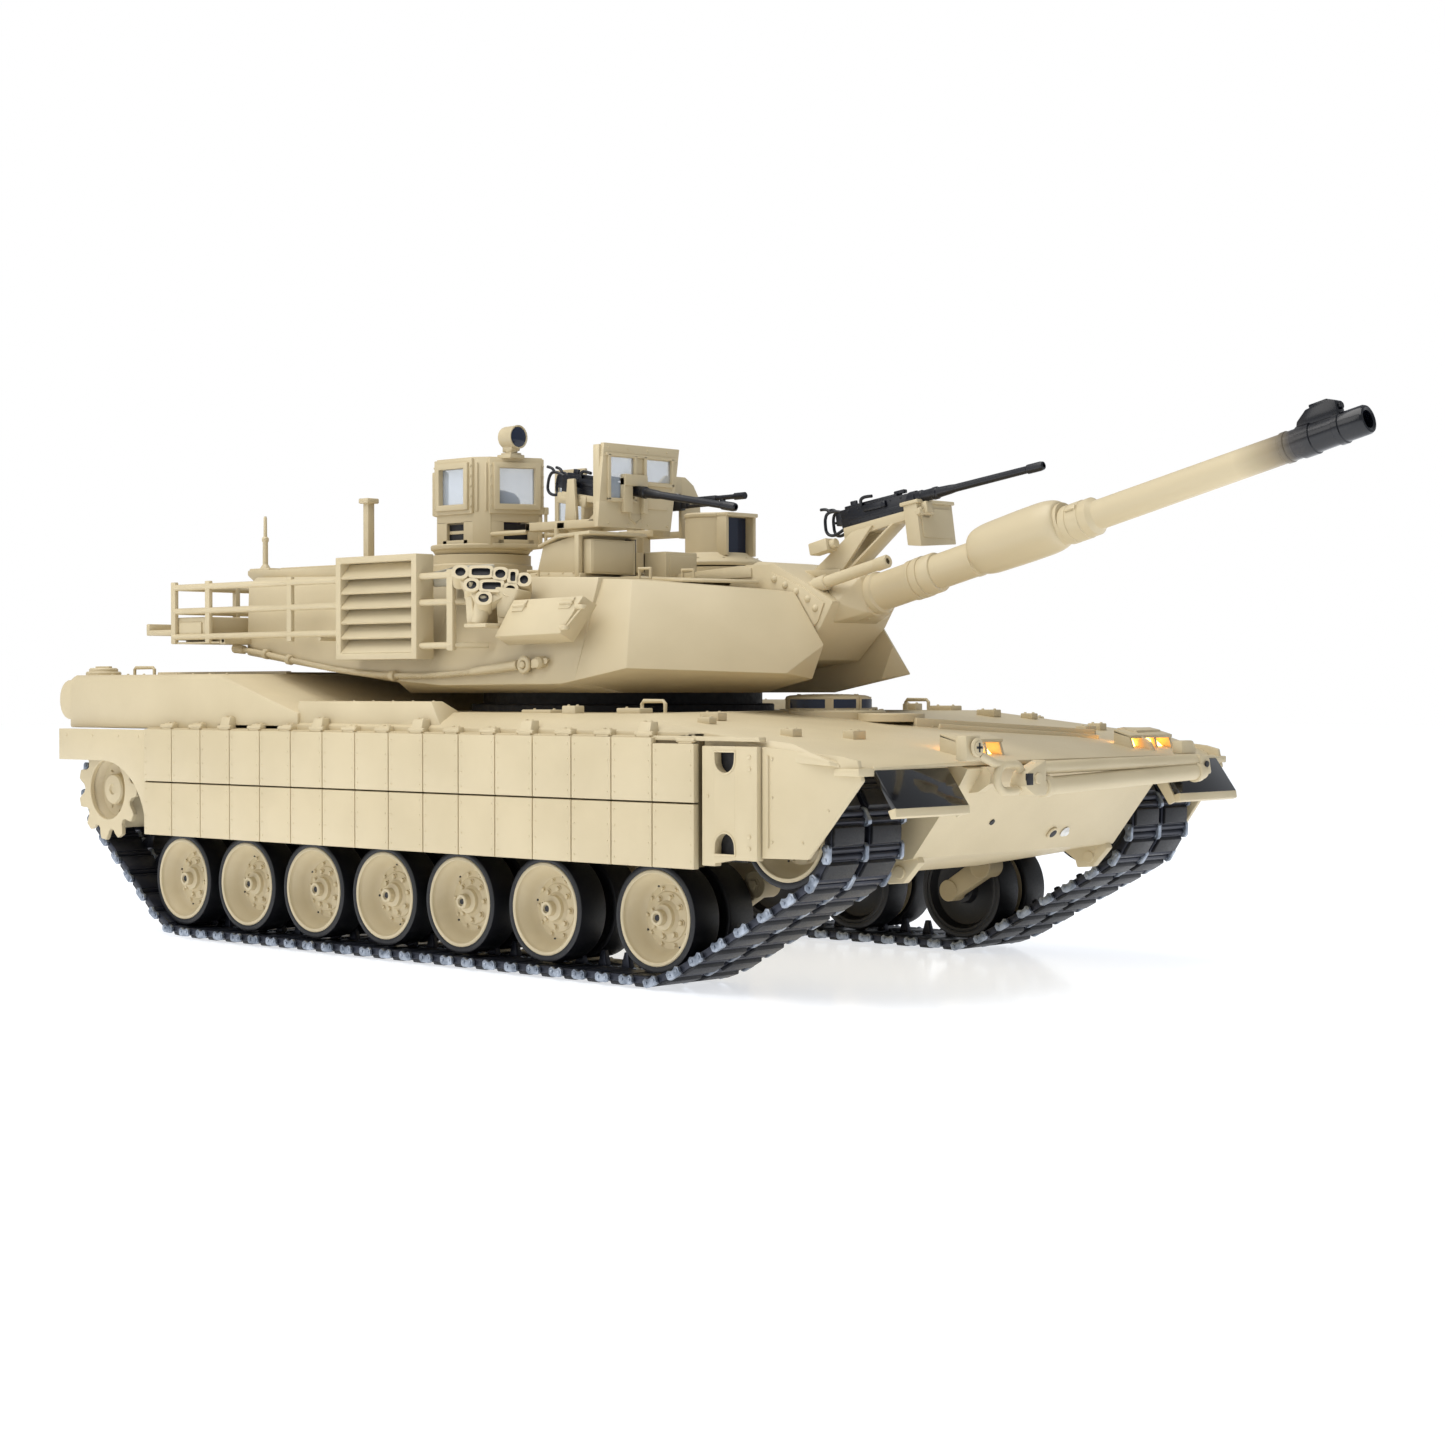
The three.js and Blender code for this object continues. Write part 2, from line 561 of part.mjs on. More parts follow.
// ---------- turret ----------
// the tow cable is clipped along the right side of the turret for its whole length
const CABLE_R = 1.2;
const CABLE_ROUTE = [
  [-134, -82.6, 124.4], [-127, -82.8, 123.6], [-110, -84, 121.6], [-92, -85.4, 119], [-74, -86.6, 116.6],
  [-56, -87.6, 114.4], [-38, -88.4, 112.8], [-20, -88.8, 112], [-4, -88.8, 111.8], [12, -88.6, 112.2],
  [26, -87.6, 113.2], [38, -86.2, 114.6], [50, -85.2, 115.8],
];
function towCable() {
  const links = [];
  for (let i = 0; i < CABLE_ROUTE.length - 1; i += 1) {
    links.push(rod(CABLE_ROUTE[i], CABLE_ROUTE[i + 1], CABLE_R, 8));
  }
  const [ex, ey, ez] = CABLE_ROUTE[CABLE_ROUTE.length - 1];
  const eye = rod([ex + 1, ey - 1.2, ez], [ex + 1, ey + 3, ez], 3.4, 12);
  const boss = rod([ex + 8, ey - 0.6, ez + 0.6], [ex + 8, ey + 4, ez + 0.6], 3.2, 12);
  const clips = [3, 7].map((i) => rod(
    [CABLE_ROUTE[i][0] - 1, CABLE_ROUTE[i][1], CABLE_ROUTE[i][2]],
    [CABLE_ROUTE[i][0] + 1, CABLE_ROUTE[i][1], CABLE_ROUTE[i][2]], CABLE_R + 0.8, 10,
  ));
  const stays = [0, 3, 7].map((i) => {
    const [x, y, z] = CABLE_ROUTE[i];
    return box(x - 1, x + 1, y, y + 8, z - 1, z + 1);
  });
  return join([...links, eye, boss, ...clips, ...stays]);
}

function turretShell() {
  const cheek = (s) => hull([
    [144.1, s * CHEEK_GAP_Y, 110.2], [149.8, s * CHEEK_GAP_Y, 123.1], [145.4, s * 37, 112.2],
    [103.7, s * 80, 114.2], [94.6, s * 68, 147.9], [135.2, s * CHEEK_GAP_Y, 143.4], [70.8, s * 82.5, 108.4],
    [63, s * 70, 149.6], [60, s * CHEEK_GAP_Y, 151], [120, s * CHEEK_GAP_Y, TURRET_FLOOR_Z],
    [60, s * CHEEK_GAP_Y, TURRET_FLOOR_Z], [70, s * 66, TURRET_FLOOR_Z],
  ]);
  const body = hull([
    [80, -71, 149.2], [80, 71, 149.2], [78, -82, 110], [78, 82, 110], [70.8, -82.5, 108.4],
    [70.8, 82.5, 108.4], [8, -88, 108], [8, 88, 108], [-20, -73, 152.6], [-20, 73, 152.6],
    [84, -20, 150.6], [84, 20, 150.6], [84, -62, TURRET_FLOOR_Z], [84, 62, TURRET_FLOOR_Z],
    [-44, -60, TURRET_FLOOR_Z], [-44, 60, TURRET_FLOOR_Z], [-20, -87.6, 110], [-20, 87.6, 110],
  ]);
  const bustle = hull([
    [0, -87.8, 108.4], [0, 87.8, 108.4], [0, -73, 152.6], [0, 73, 152.6], [-128, -76, 155.2],
    [-128, 76, 155.2], [-128, -80, 151], [-128, 80, 151], [-128, -81, 121.4], [-128, 81, 121.4],
    [-70, -86, 114.8], [-70, 86, 114.8], [-40, -60, 108], [-40, 60, 108],
  ]);
  const roof = hull([
    [-127.6, -73, 150], [-127.6, 73, 150], [-138, -73, 156.4], [-138, 73, 156.4], [-138, -73, 158.6],
    [-138, 73, 158.6], [-58, -73, 150], [-58, 73, 150], [-58, -73, 158.2], [-58, 73, 158.2],
  ]);
  const slot = box(82, 170, -CHEEK_GAP_Y, CHEEK_GAP_Y, 90, 170);
  const spigot = rod([TURRET_X, 0, 90], [TURRET_X, 0, TURRET_FLOOR_Z + 2], RING_R, 32);
  const room = join([
    rod([TURRET_X, 0, 80], [TURRET_X, 0, 140], RING_R - 4, 32),
    box(40, 90, -CHEEK_GAP_Y, CHEEK_GAP_Y, 80, 146),
  ]);
  const cupolaSeat = turnZ([[0, 0], [23, 0], [21, 12.4], [0, 12.4]], CUPOLA.x, CUPOLA.y, 150, 24);
  const cupolaHole = rod([CUPOLA.x, CUPOLA.y, 134], [CUPOLA.x, CUPOLA.y, 170], 16, 24);
  const loaderSeat = rod([LOADER.x, LOADER.y, 150], [LOADER.x, LOADER.y, 156], LOADER.r + 2, 24);
  const loaderHole = rod([LOADER.x, LOADER.y, 130], [LOADER.x, LOADER.y, 170], 13, 24);
  const launchers = bothSides((s) => join([
    hull([
      [33, s * 72, 134], [46, s * 72, 134], [28, s * 97, 153], [52, s * 93, 151.8],
      [28, s * 88, 153], [52, s * 84, 151.8], [38, s * 96.5, 140], [43, s * 96.5, 140],
      [31, s * 97.5, 147], [50, s * 93.5, 147],
    ]),
    rod([41, s * 94, 131], [40, s * 95, 141], 3.2, 10),
    box(36, 46, Math.min(s * 76, s * 98), Math.max(s * 76, s * 98), 130, 133),
  ]));
  const toolBox = bothSides((s) => hull([
    [51, s * 88.5, 140.8], [86, s * 85.5, 141.2], [80, s * 91.5, 128], [46, s * 93, 127.4],
    [52, s * 70, 142], [86, s * 70, 142], [80, s * 74, 126], [47, s * 74, 126],
  ]));
  const masts = join([
    turnZ([
      [0, 0], [2.6, 0], [2.4, 2], [1.1, 4], [1.4, 14], [0.9, 15], [0.8, 22.4], [0, 22.4],
    ], -133, -67, 158, 8),
    box(-72.4, -68.6, -62, -58, 157, 187),
    box(-73.6, -67.4, -63.2, -56.8, 185, 187.4),
  ]);
  const mastFoot = box(-138, -124, -72, -60, 156.5, 159.4);
  const blocks = join([
    box(60, 72, -26, -8, 149, 161),
    turnZ([[0, 0], [14, 0], [14, 3.4], [0, 4.6]], SIGHT.x, SIGHT.y, 149, 20),
  ]);
  return join([
    body, bustle, roof, launchers, toolBox, masts, mastFoot, cupolaSeat, loaderSeat, blocks, towCable(),
  ])
    .subtract(slot)
    .add(bothSides(cheek))
    .add(spigot)
    .subtract(room)
    .subtract(cupolaHole)
    .subtract(loaderHole);
}
piece('turret_shell', turretShell(), SAND, turretUnit);

// stowage rack round the bustle, with the louvred unit on the right
const RACK_Y = 95;
const RACK_END_X = -162;
const RAIL_LEVELS = [129.4, 140.6, 151];
function bustleRack() {
  const rails = [];
  for (const s of [-1, 1]) {
    const front = s < 0 ? -44 : 20;
    for (const z of RAIL_LEVELS) {
      rails.push(sideBox(s, RACK_END_X, front, RACK_Y - 1.2, RACK_Y + 1.2, z - 1.2, z + 1.2));
    }
    for (const x of [RACK_END_X, -136, -79, s < 0 ? -45 : 20]) {
      rails.push(sideBox(s, x - 1.5, x + 1.5, RACK_Y - 1.4, RACK_Y + 1.4, 126, 154));
    }
    for (const x of [-126, -60]) {
      rails.push(sideBox(s, x - 1.2, x + 1.2, 89, RACK_Y, 126.4, 128.6));
    }
    rails.push(sideBox(s, -128, -124.6, 82.2, RACK_Y, 126, 128.4));
  }
  for (const z of RAIL_LEVELS) {
    rails.push(box(RACK_END_X - 1.2, RACK_END_X + 1.2, -RACK_Y, RACK_Y, z - 1.2, z + 1.2));
  }
  for (const y of [-32, 32]) {
    rails.push(box(RACK_END_X - 1.5, RACK_END_X + 1.5, y - 1.4, y + 1.4, 126, 154));
  }
  const frontFrame = join([
    box(4, 24, -RACK_Y - 1.2, -RACK_Y + 1.2, 149.8, 152.2),
    box(4, 24, -RACK_Y - 1.2, -RACK_Y + 1.2, 128.4, 130.8),
    box(21, 24, -RACK_Y - 1.2, -RACK_Y + 1.2, 122, 153),
  ]);
  const floor = box(RACK_END_X, -128.4, -RACK_Y, RACK_Y, 126.4, 128.4);
  const shelf = box(-184, RACK_END_X + 1, -94, -70, 130.4, 132.8);
  const unit = box(-160.8, -138, -RACK_Y, -72, 128, 136);
  const louvreFrame = box(-46, 4.4, -97.4, -88.4, 118.4, 160)
    .subtract(box(-43, 1.4, -99, -94.5, 121, 157.4));
  const slats = [];
  for (let k = 0; k < 6; k += 1) {
    const z = 121 + k * 6.07;
    slats.push(hull([
      [-43.5, -94, z], [1.8, -94, z], [-43.5, -97, z], [1.8, -97, z], [-43.5, -94, z + 5.6],
      [1.8, -94, z + 5.6],
    ]));
  }
  const leftBox = box(-52, 6, 88.6, 97.4, 120, 157);
  return join([floor, ...rails, frontFrame, shelf, unit, louvreFrame, ...slats, leftBox]);
}
piece('bustle_rack', bustleRack(), SAND, turretUnit);

function gunnerSight() {
  const shell = hull([
    [31, -58, 152], [58, -58, 152], [58, -30, 152], [31, -30, 152], [33, -57, 163], [33, -31, 163],
    [58, -58, 168], [58, -30, 168],
  ]);
  const roofPlate = hull([
    [50, -60, 167.4], [62, -60, 166.6], [62, -28, 166.6], [50, -28, 167.4], [50, -60, 169], [62, -60, 168],
    [62, -28, 168], [50, -28, 169],
  ]);
  const door = box(58, 61.4, -57, -33, 152.2, 165);
  return join([shell, roofPlate, door]);
}
piece('gunner_sight', gunnerSight(), SAND, turretUnit);

// ---------- gun ----------
const MANTLET_Y = CHEEK_GAP_Y - 0.7;
const BARREL_ROOT_U = 22;                                  // back end of the barrel, at rest
const RECOIL = 12;
const BORE_IN_MANTLET_R = 6.9;

// profile of [radius, distance from the trunnion], turned round the bore
function turnedOnGun(profile) {
  const g = new THREE.LatheGeometry(profile.map((p) => new THREE.Vector2(...p)), 16);
  g.rotateZ(-Math.PI / 2);
  g.rotateY(-GUN_RAD);
  g.translate(TRUNNION.x, 0, TRUNNION.z);
  return toManifold(g);
}

function mantlet() {
  const core = plateY([
    [94, 119], [112, 114.5], [134, 117.5], [147, 130], [153, 139.5], [139, 147], [123, 154.6], [108, 154.6],
    [94, 142],
  ], -MANTLET_Y, MANTLET_Y);
  const [lowX, lowZ] = onGun(50, -7.5);
  const [highX, highZ] = onGun(50, 7);
  const nose = hull([
    [146, -14, 130], [146, 14, 130], [152, -16, 139.4], [152, 16, 139.4], [143, -12, 146.6],
    [143, 12, 146.6], [lowX, -7.5, lowZ], [lowX, 7.5, lowZ], [highX, -7.5, highZ], [highX, 7.5, highZ],
  ]);
  const [cx, cz] = onGun(27, 7.4);
  const [ex, ez] = onGun(70.6, 6.6);
  const coax = rod([cx, -15.6, cz], [ex, -15.6, ez], 2.5, 10);
  const sleeve = turnedOnGun([[0, 44], [7.2, 44], [7.4, 69], [7.9, 70], [7.9, 81], [0, 81]]);
  const bore = turnedOnGun([[0, BARREL_ROOT_U - RECOIL - 2], [BORE_IN_MANTLET_R, BARREL_ROOT_U - RECOIL - 2],
    [BORE_IN_MANTLET_R, 90], [0, 90]]);
  return join([core, nose, coax, sleeve]).subtract(bore);
}
piece('mantlet', mantlet(), SAND, gunUnit);

const EXTRACTOR_RISE = 1.7;
function barrel() {
  const tube = turnedOnGun([
    [0, BARREL_ROOT_U], [6.6, BARREL_ROOT_U], [6.6, 100], [6.9, 141.4],
    [6.7, 153], [5.3, 153.6], [4.9, 263.6], [2.9, 263.6], [2.9, 244], [0, 244],
  ]);
  const [s0, w0] = onGun(240, 4);
  const [s1, w1] = onGun(254, 4);
  const [s2, w2] = onGun(254, 10.6);
  const [s3, w3] = onGun(243, 9.4);
  const sensor = plateY([[s0, w0], [s1, w1], [s2, w2], [s3, w3]], -2.4, 2.4);
  // the fume extractor bulges more above the tube than below it
  const extractor = turnedOnGun([
    [0, 99.6], [6.9, 99.6], [7.4, 102], [9, 107], [9.7, 114], [9.7, 128], [9, 134], [7.6, 140], [7, 141.4],
    [0, 141.4],
  ]).translate([-EXTRACTOR_RISE * Math.sin(GUN_RAD), 0, EXTRACTOR_RISE * Math.cos(GUN_RAD)]);
  return join([tube, extractor, sensor]);
}
piece('barrel', barrel(), SAND_METAL, gunUnit);

const HEAVY_GUN_LENGTH = 103;

// a heavy machine gun lying along +X from its spade grips at x = 0, bore at z = 0
function machineGun() {
  const receiver = box(8, 42, -2.6, 2.6, -5.2, 3);
  const backPlate = box(2, 9, -2, 2, -3, 2);
  const gripBars = join([[-6.6, -4.8], [3.4, 5]].map(([z0, z1]) => box(1, 3, -3.4, 3.4, z0, z1)));
  const grips = bothSides((s) => sideBox(s, 0, 2.4, 1.6, 3.6, -6.6, 5));
  const jacket = rod([41, 0, 0], [62, 0, 0], 2.5, 8, 2.1);
  const muzzleTube = rod([60, 0, 0], [HEAVY_GUN_LENGTH, 0, 0], 1.35, 8);
  const feedTray = box(24, 30, -3.8, -2, -1, 1.4);
  return join([receiver, backPlate, gripBars, grips, jacket, muzzleTube, feedTray]);
}

function placeAlong(solid, x, y, z, upDeg) {
  return solid.rotate([0, -upDeg, 0]).translate([x, y, z]);
}

const TOP_GUN = { x: 134.6, z: 171.6, deg: 8.5 };
function mantletGun() {
  const lay = (solid) => placeAlong(solid, TOP_GUN.x, 0, TOP_GUN.z, TOP_GUN.deg);
  const cradle = lay(box(12, 46, -4.2, 4.2, -9.4, -4.6));
  const ammo = lay(hull([
    [40, -4, -17.5], [46.5, -4, -19], [40, 18, -16.5], [46.5, 18, -16.5], [40, -4, -1.6], [46.5, -4, -1.6],
    [40, 18, -1.2], [46.5, 18, -1.2],
  ]));
  const foot = hull([
    [132, -5, 152], [132, 5, 152], [138, -5, 148.8], [138, 5, 148.8], [148, -4, 165.6], [148, 4, 165.6],
    [164, -4, 169.6], [164, 4, 169.6],
  ]);
  return join([lay(machineGun()), cradle, ammo, foot]);
}
piece('mantlet_gun', mantletGun(), SATIN_BLACK, gunUnit);

// ---------- commander's station ----------
const LAMP = { x: CUPOLA.x + 23, y: CUPOLA.y - 4, z: 210.4 };

// corners of the shield round the hatch, from the front left round the right side to the rear
const SHIELD_PLAN = [[27.6, 9], [17.9, -11.7], [12.1, -15.4], [-10.9, -15.4], [-19, -4]];
const SHIELD_TOP_Z = 202.4;
const LOW_WALL_TOP_Z = 178;
function shieldWall(from, to, z1, window) {
  const [ax, ay] = [CUPOLA.x + from[0], CUPOLA.y + from[1]];
  const [bx, by] = [CUPOLA.x + to[0], CUPOLA.y + to[1]];
  const long = Math.hypot(bx - ax, by - ay);
  const nx = (by - ay) / long;
  const ny = (ax - bx) / long;
  const slab = (t0, t1, d0, d1, z0, zTop) => {
    const points = [];
    for (const t of [t0, t1]) {
      for (const d of [d0, d1]) {
        for (const z of [z0, zTop]) {
          points.push([ax + (bx - ax) * t + nx * d, ay + (by - ay) * t + ny * d, z]);
        }
      }
    }
    return hull(points);
  };
  const wall = slab(0, 1, 0, 1.8, 165.8, z1);
  return window ? wall.subtract(slab(0.16, 0.84, -5, 7, 183, 197.5)) : wall;
}

function cupolaShield() {
  const flange = turnZ([
    [17, 0.4], [CUPOLA.r - 1.5, 0.4], [CUPOLA.r, 2.4], [CUPOLA.r, 4.4], [17, 4.4], [17, 0.4],
  ], CUPOLA.x, CUPOLA.y, 162.4, 20);
  const walls = [];
  for (let k = 0; k < SHIELD_PLAN.length - 1; k += 1) {
    walls.push(shieldWall(SHIELD_PLAN[k], SHIELD_PLAN[k + 1], SHIELD_TOP_Z, k !== 1 && k !== 3));
  }
  const lowPlan = [[-19, -4], [-19, 6], [-10, 17.4], [8, 17.4], [27.6, 9]];
  for (let k = 0; k < lowPlan.length - 1; k += 1) {
    walls.push(shieldWall(lowPlan[k], lowPlan[k + 1], LOW_WALL_TOP_Z, false));
  }
  const floorPlate = plateZ([
    [19, -11], [28, 9], [17, 13], [15, 0],
  ].map(([x, y]) => [CUPOLA.x + x, CUPOLA.y + y]), 164.8, 166.8);
  const lampFoot = box(LAMP.x - 3.4, LAMP.x + 3.4, LAMP.y - 3, LAMP.y + 3, 200, LAMP.z - 6.5);
  const gunShelf = join([-1, 1].map((k) => box(
    CUPOLA.x + 17, CUPOLA.x + 39.3, CUPOLA.y + k * 10.6 - 0.9, CUPOLA.y + k * 10.6 + 0.9, 169.4, 171.4,
  )));
  return join([flange, ...walls, floorPlate, lampFoot, gunShelf]);
}
piece('cupola_shield', cupolaShield(), SAND, roofUnit);

// the commander's gun looks down its line from the grips; its trunnion sits in two cheeks
const GUN_GRIPS = { x: CUPOLA.x + 43.6, z: 192.8 };
const GUN_TRUNNION = { x: CUPOLA.x + 60, z: 189.2 };
const COMMANDER_GUN_DEG = -9.5;
const SHIELD = { x: CUPOLA.x + 89, z0: 170, z1: 203, thick: 2 };
function gunShield() {
  const y = CUPOLA.y;
  const corners = [];
  for (const x of [SHIELD.x, SHIELD.x + SHIELD.thick]) {
    corners.push([x, y - 21, SHIELD.z0], [x, y + 20, SHIELD.z0]);
    corners.push([x, y - 17.4, SHIELD.z1], [x, y + 25.2, SHIELD.z1]);
  }
  const cut = (y0, y1, z0, z1) => box(SHIELD.x - 5, SHIELD.x + 7, y0, y1, z0, z1);
  const openings = join([
    cut(y - 15, y - 0.4, 188.6, 197.6),
    cut(y + 5, y + 21, 189, 198.6),
    cut(y - 3.4, y + 3.4, 175.6, 190),
  ]);
  const arms = bothSides((s) => box(
    CUPOLA.x + 39.4, SHIELD.x + 1, s < 0 ? -11.5 : 9.7, s < 0 ? -9.7 : 11.5, 170.6, 174,
  )).translate([0, y, 0]);
  const rearBar = box(CUPOLA.x + 39.4, CUPOLA.x + 42, y - 11.5, y + 11.5, 170.6, 174);
  const bridge = box(GUN_TRUNNION.x - 2.4, GUN_TRUNNION.x + 2.4, y - 11.5, y + 11.5, 170.6, 173.6);
  const cheeks = join([-6, 4.4].map((dy) => box(
    GUN_TRUNNION.x - 2, GUN_TRUNNION.x + 2, y + dy, y + dy + 1.6, 173, 191.2,
  )));
  return join([hull(corners).subtract(openings), arms, rearBar, bridge, cheeks]);
}
piece('commander_gun_shield', gunShield(), SAND, roofUnit);

function commanderGun() {
  const cradle = box(7, 20, -3.6, 3.6, -9, -4.8);
  const gun = placeAlong(
    machineGun().add(cradle), GUN_GRIPS.x, CUPOLA.y, GUN_GRIPS.z, COMMANDER_GUN_DEG,
  );
  const pinEnds = [-4.2, 4.2].map((dy) => [GUN_TRUNNION.x, CUPOLA.y + dy, GUN_TRUNNION.z]);
  const pin = rod(pinEnds[0], pinEnds[1], 1.6, 8);
  return gun.add(pin);
}
piece('commander_gun', commanderGun(), SATIN_BLACK, roofUnit);

function lid(name, centre, r, z) {
  const dome = turnZ([[0, 0], [r, 0], [r, 1.6], [r * 0.7, 3.6], [0, 4.4]], centre.x, centre.y, z, 20);
  const hinge = box(
    centre.x - r - 0.5, centre.x - r + 3, centre.y - 3.5, centre.y + 3.5, z + 0.3, z + 1.9,
  );
  piece(name, dome.add(hinge), SAND, roofUnit);
}
lid('commander_hatch', CUPOLA, 12.9, 163.6);
lid('loader_hatch', LOADER, 12.2, 156.4);

function loaderRing() {
  const ring = turnZ([
    [13.6, 0], [LOADER.r, 0], [LOADER.r, 3], [13.6, 3], [13.6, 0],
  ], LOADER.x, LOADER.y, 156.4, 24);
  const post = box(LOADER.x + 15.6, LOADER.x + 20, LOADER.y - 3.6, LOADER.y + 3.6, 157, 180)
    .subtract(box(LOADER.x + 10, LOADER.x + 24, LOADER.y - 2, LOADER.y + 2, 166, 184));
  const shieldFace = hull([
    [LOADER.x + 41, LOADER.y - 14, 171], [LOADER.x + 43, LOADER.y - 14, 171],
    [LOADER.x + 41, LOADER.y + 14, 171], [LOADER.x + 43, LOADER.y + 14, 171],
    [LOADER.x + 38, LOADER.y - 8, 197], [LOADER.x + 40, LOADER.y - 8, 197],
    [LOADER.x + 38, LOADER.y + 14, 197], [LOADER.x + 40, LOADER.y + 14, 197],
    [LOADER.x + 40, LOADER.y - 14, 186], [LOADER.x + 42, LOADER.y - 14, 186],
  ]).subtract(box(LOADER.x + 30, LOADER.x + 50, LOADER.y - 3.4, LOADER.y + 3.4, 172.4, 190));
  const stay = join([-1, 1].map((k) => box(
    LOADER.x + 15.6, LOADER.x + 42, LOADER.y + k * 8 - 0.8, LOADER.y + k * 8 + 0.8, 171.6, 174.4,
  )));
  const yoke = box(LOADER.x + 15.8, LOADER.x + 18, LOADER.y - 8.8, LOADER.y + 8.8, 163, 174.4)
    .subtract(box(LOADER.x + 10, LOADER.x + 24, LOADER.y - 2, LOADER.y + 2, 166, 184));
  return join([ring, post, yoke, stay, shieldFace]);
}
piece('loader_ring', loaderRing(), SAND, roofUnit);

const LOADER_GUN_Z = 185.6;
function loaderGun() {
  return join([
    box(-8, 24, -1.7, 1.7, -3.4, 2.4),
    box(-18, -7, -1.2, 1.2, -3.6, 0.6),
    box(-6, -3.4, -1.1, 1.1, -8, -3),
    rod([23, 0, 0.4], [58, 0, 0.4], 1.15, 8),
    rod([55, 0, 0.4], [60, 0, 0.4], 1.6, 8),
    rod([26, 0, -2], [48, 0, -2], 0.8, 6),
    box(23, 27, -1.2, 1.2, -2.8, 1),
    box(46, 48, -0.9, 0.9, -2.6, 0.6),
  ]).rotate([0, 1, 0]).translate([LOADER.x + 22, LOADER.y, LOADER_GUN_Z]);
}
piece('loader_gun', loaderGun(), SATIN_BLACK, roofUnit);

function panoramicSight() {
  const head = turnZ([
    [0, 0], [16.6, 0], [16.6, 3.4], [12.4, 6.6], [11.6, 7], [11.6, 21], [12.6, 21.6], [12.6, 24],
    [10.6, 26], [0, 26],
  ], SIGHT.x, SIGHT.y, 154, 18);
  const window = hull([
    [SIGHT.x + 4, SIGHT.y - 8, 162.6], [SIGHT.x + 4, SIGHT.y + 8, 162.6],
    [SIGHT.x + 12.4, SIGHT.y - 8, 162.6], [SIGHT.x + 12.4, SIGHT.y + 8, 162.6],
    [SIGHT.x + 4, SIGHT.y - 8, 174.4], [SIGHT.x + 4, SIGHT.y + 8, 174.4],
    [SIGHT.x + 12.4, SIGHT.y - 8, 174.4], [SIGHT.x + 12.4, SIGHT.y + 8, 174.4],
  ]);
  return head.add(window);
}
piece('panoramic_sight', panoramicSight(), SAND, roofUnit);

function spotlight() {
  const { x, y, z } = LAMP;
  return join([
    rod([x, y, z - 6.2], [x, y, z - 3], 2.4, 10),
    rod([x - 4, y, z], [x + 4.4, y, z], 4.6, 14, 4.8),
    rod([x - 4.8, y, z], [x - 3.8, y, z], 3.4, 10),
  ]);
}
piece('spotlight', spotlight(), SATIN_BLACK, roofUnit);

// ---------- set the origin at the middle of the ground rectangle ----------
const bounds = new THREE.Box3().setFromObject(parts);
const centre = bounds.getCenter(new THREE.Vector3());
parts.position.set(-centre.x, -centre.y, -bounds.min.z);

export default parts;
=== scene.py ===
"""Looks for a remote-control model tank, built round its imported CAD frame.

Sizes in this file are millimetres in the tank's own axes. +X is forward, +Y the tank's left and +Z up. The
ground is at z = 0, and x = 0 is halfway between the first and last road wheels. make() turns them into metres
of the frame.
"""

import math

import bmesh
import bpy
import numpy as np
from mathutils import Matrix, Vector


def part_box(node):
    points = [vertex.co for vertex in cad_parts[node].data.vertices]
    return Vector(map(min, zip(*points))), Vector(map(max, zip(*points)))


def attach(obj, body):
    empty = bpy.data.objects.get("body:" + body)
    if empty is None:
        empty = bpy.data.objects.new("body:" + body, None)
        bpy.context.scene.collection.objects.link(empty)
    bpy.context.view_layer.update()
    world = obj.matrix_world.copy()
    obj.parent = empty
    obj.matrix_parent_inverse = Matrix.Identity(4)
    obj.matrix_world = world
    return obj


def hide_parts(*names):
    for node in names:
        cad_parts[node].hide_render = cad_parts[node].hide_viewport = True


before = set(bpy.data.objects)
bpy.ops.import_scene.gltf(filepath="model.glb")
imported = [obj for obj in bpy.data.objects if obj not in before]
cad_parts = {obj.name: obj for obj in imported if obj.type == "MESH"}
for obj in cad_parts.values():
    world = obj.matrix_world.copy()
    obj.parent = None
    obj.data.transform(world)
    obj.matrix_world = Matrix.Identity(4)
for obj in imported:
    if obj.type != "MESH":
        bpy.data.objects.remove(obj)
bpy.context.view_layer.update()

MM = 0.001
FIRST_WHEEL_X = 142.2
wheel_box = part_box("wheel_right_1")
SHIFT_X = (wheel_box[0].x + wheel_box[1].x) / 2 - FIRST_WHEEL_X * MM
SIDES = ((-1, "right"), (1, "left"))


# ---------------------------------------------------------------- shapes
class Shape:
    """Points in millimetres with faces, each face holding a material number."""

    def __init__(self, co, faces, mat=0):
        self.co = np.array(co, float).reshape(-1, 3)
        self.faces = [tuple(f) for f in faces]
        self.mats = [mat] * len(self.faces)

    def moved(self, matrix):
        m = np.array(matrix, float)
        new = Shape((self.co @ m[:3, :3].T) + m[:3, 3], self.faces)
        new.mats = list(self.mats)
        if np.linalg.det(m[:3, :3]) < 0:
            new.faces = [f[::-1] for f in new.faces]
        return new

    def at(self, x=0, y=0, z=0):
        return self.moved(Matrix.Translation((x, y, z)))

    def turned(self, axis, degrees, about=(0, 0, 0)):
        c = Vector(about)
        return self.moved(Matrix.Translation(c) @ Matrix.Rotation(math.radians(degrees), 4, axis)
                          @ Matrix.Translation(-c))

    def mirrored(self):
        return self.moved(Matrix.Diagonal((1, -1, 1, 1)))

    def side(self, s):
        """The shape is drawn on the left (+Y); s = -1 gives its mirror on the right."""
        return self if s > 0 else self.mirrored()


def join(*shapes):
    flat = []
    for s in shapes:
        flat.extend([join(*s)] if isinstance(s, (list, tuple)) else [s])
    co, faces, mats, n = [], [], [], 0
    for s in flat:
        co.append(s.co)
        faces.extend(tuple(i + n for i in f) for f in s.faces)
        mats.extend(s.mats)
        n += len(s.co)
    new = Shape(np.vstack(co), faces)
    new.mats = mats
    return new


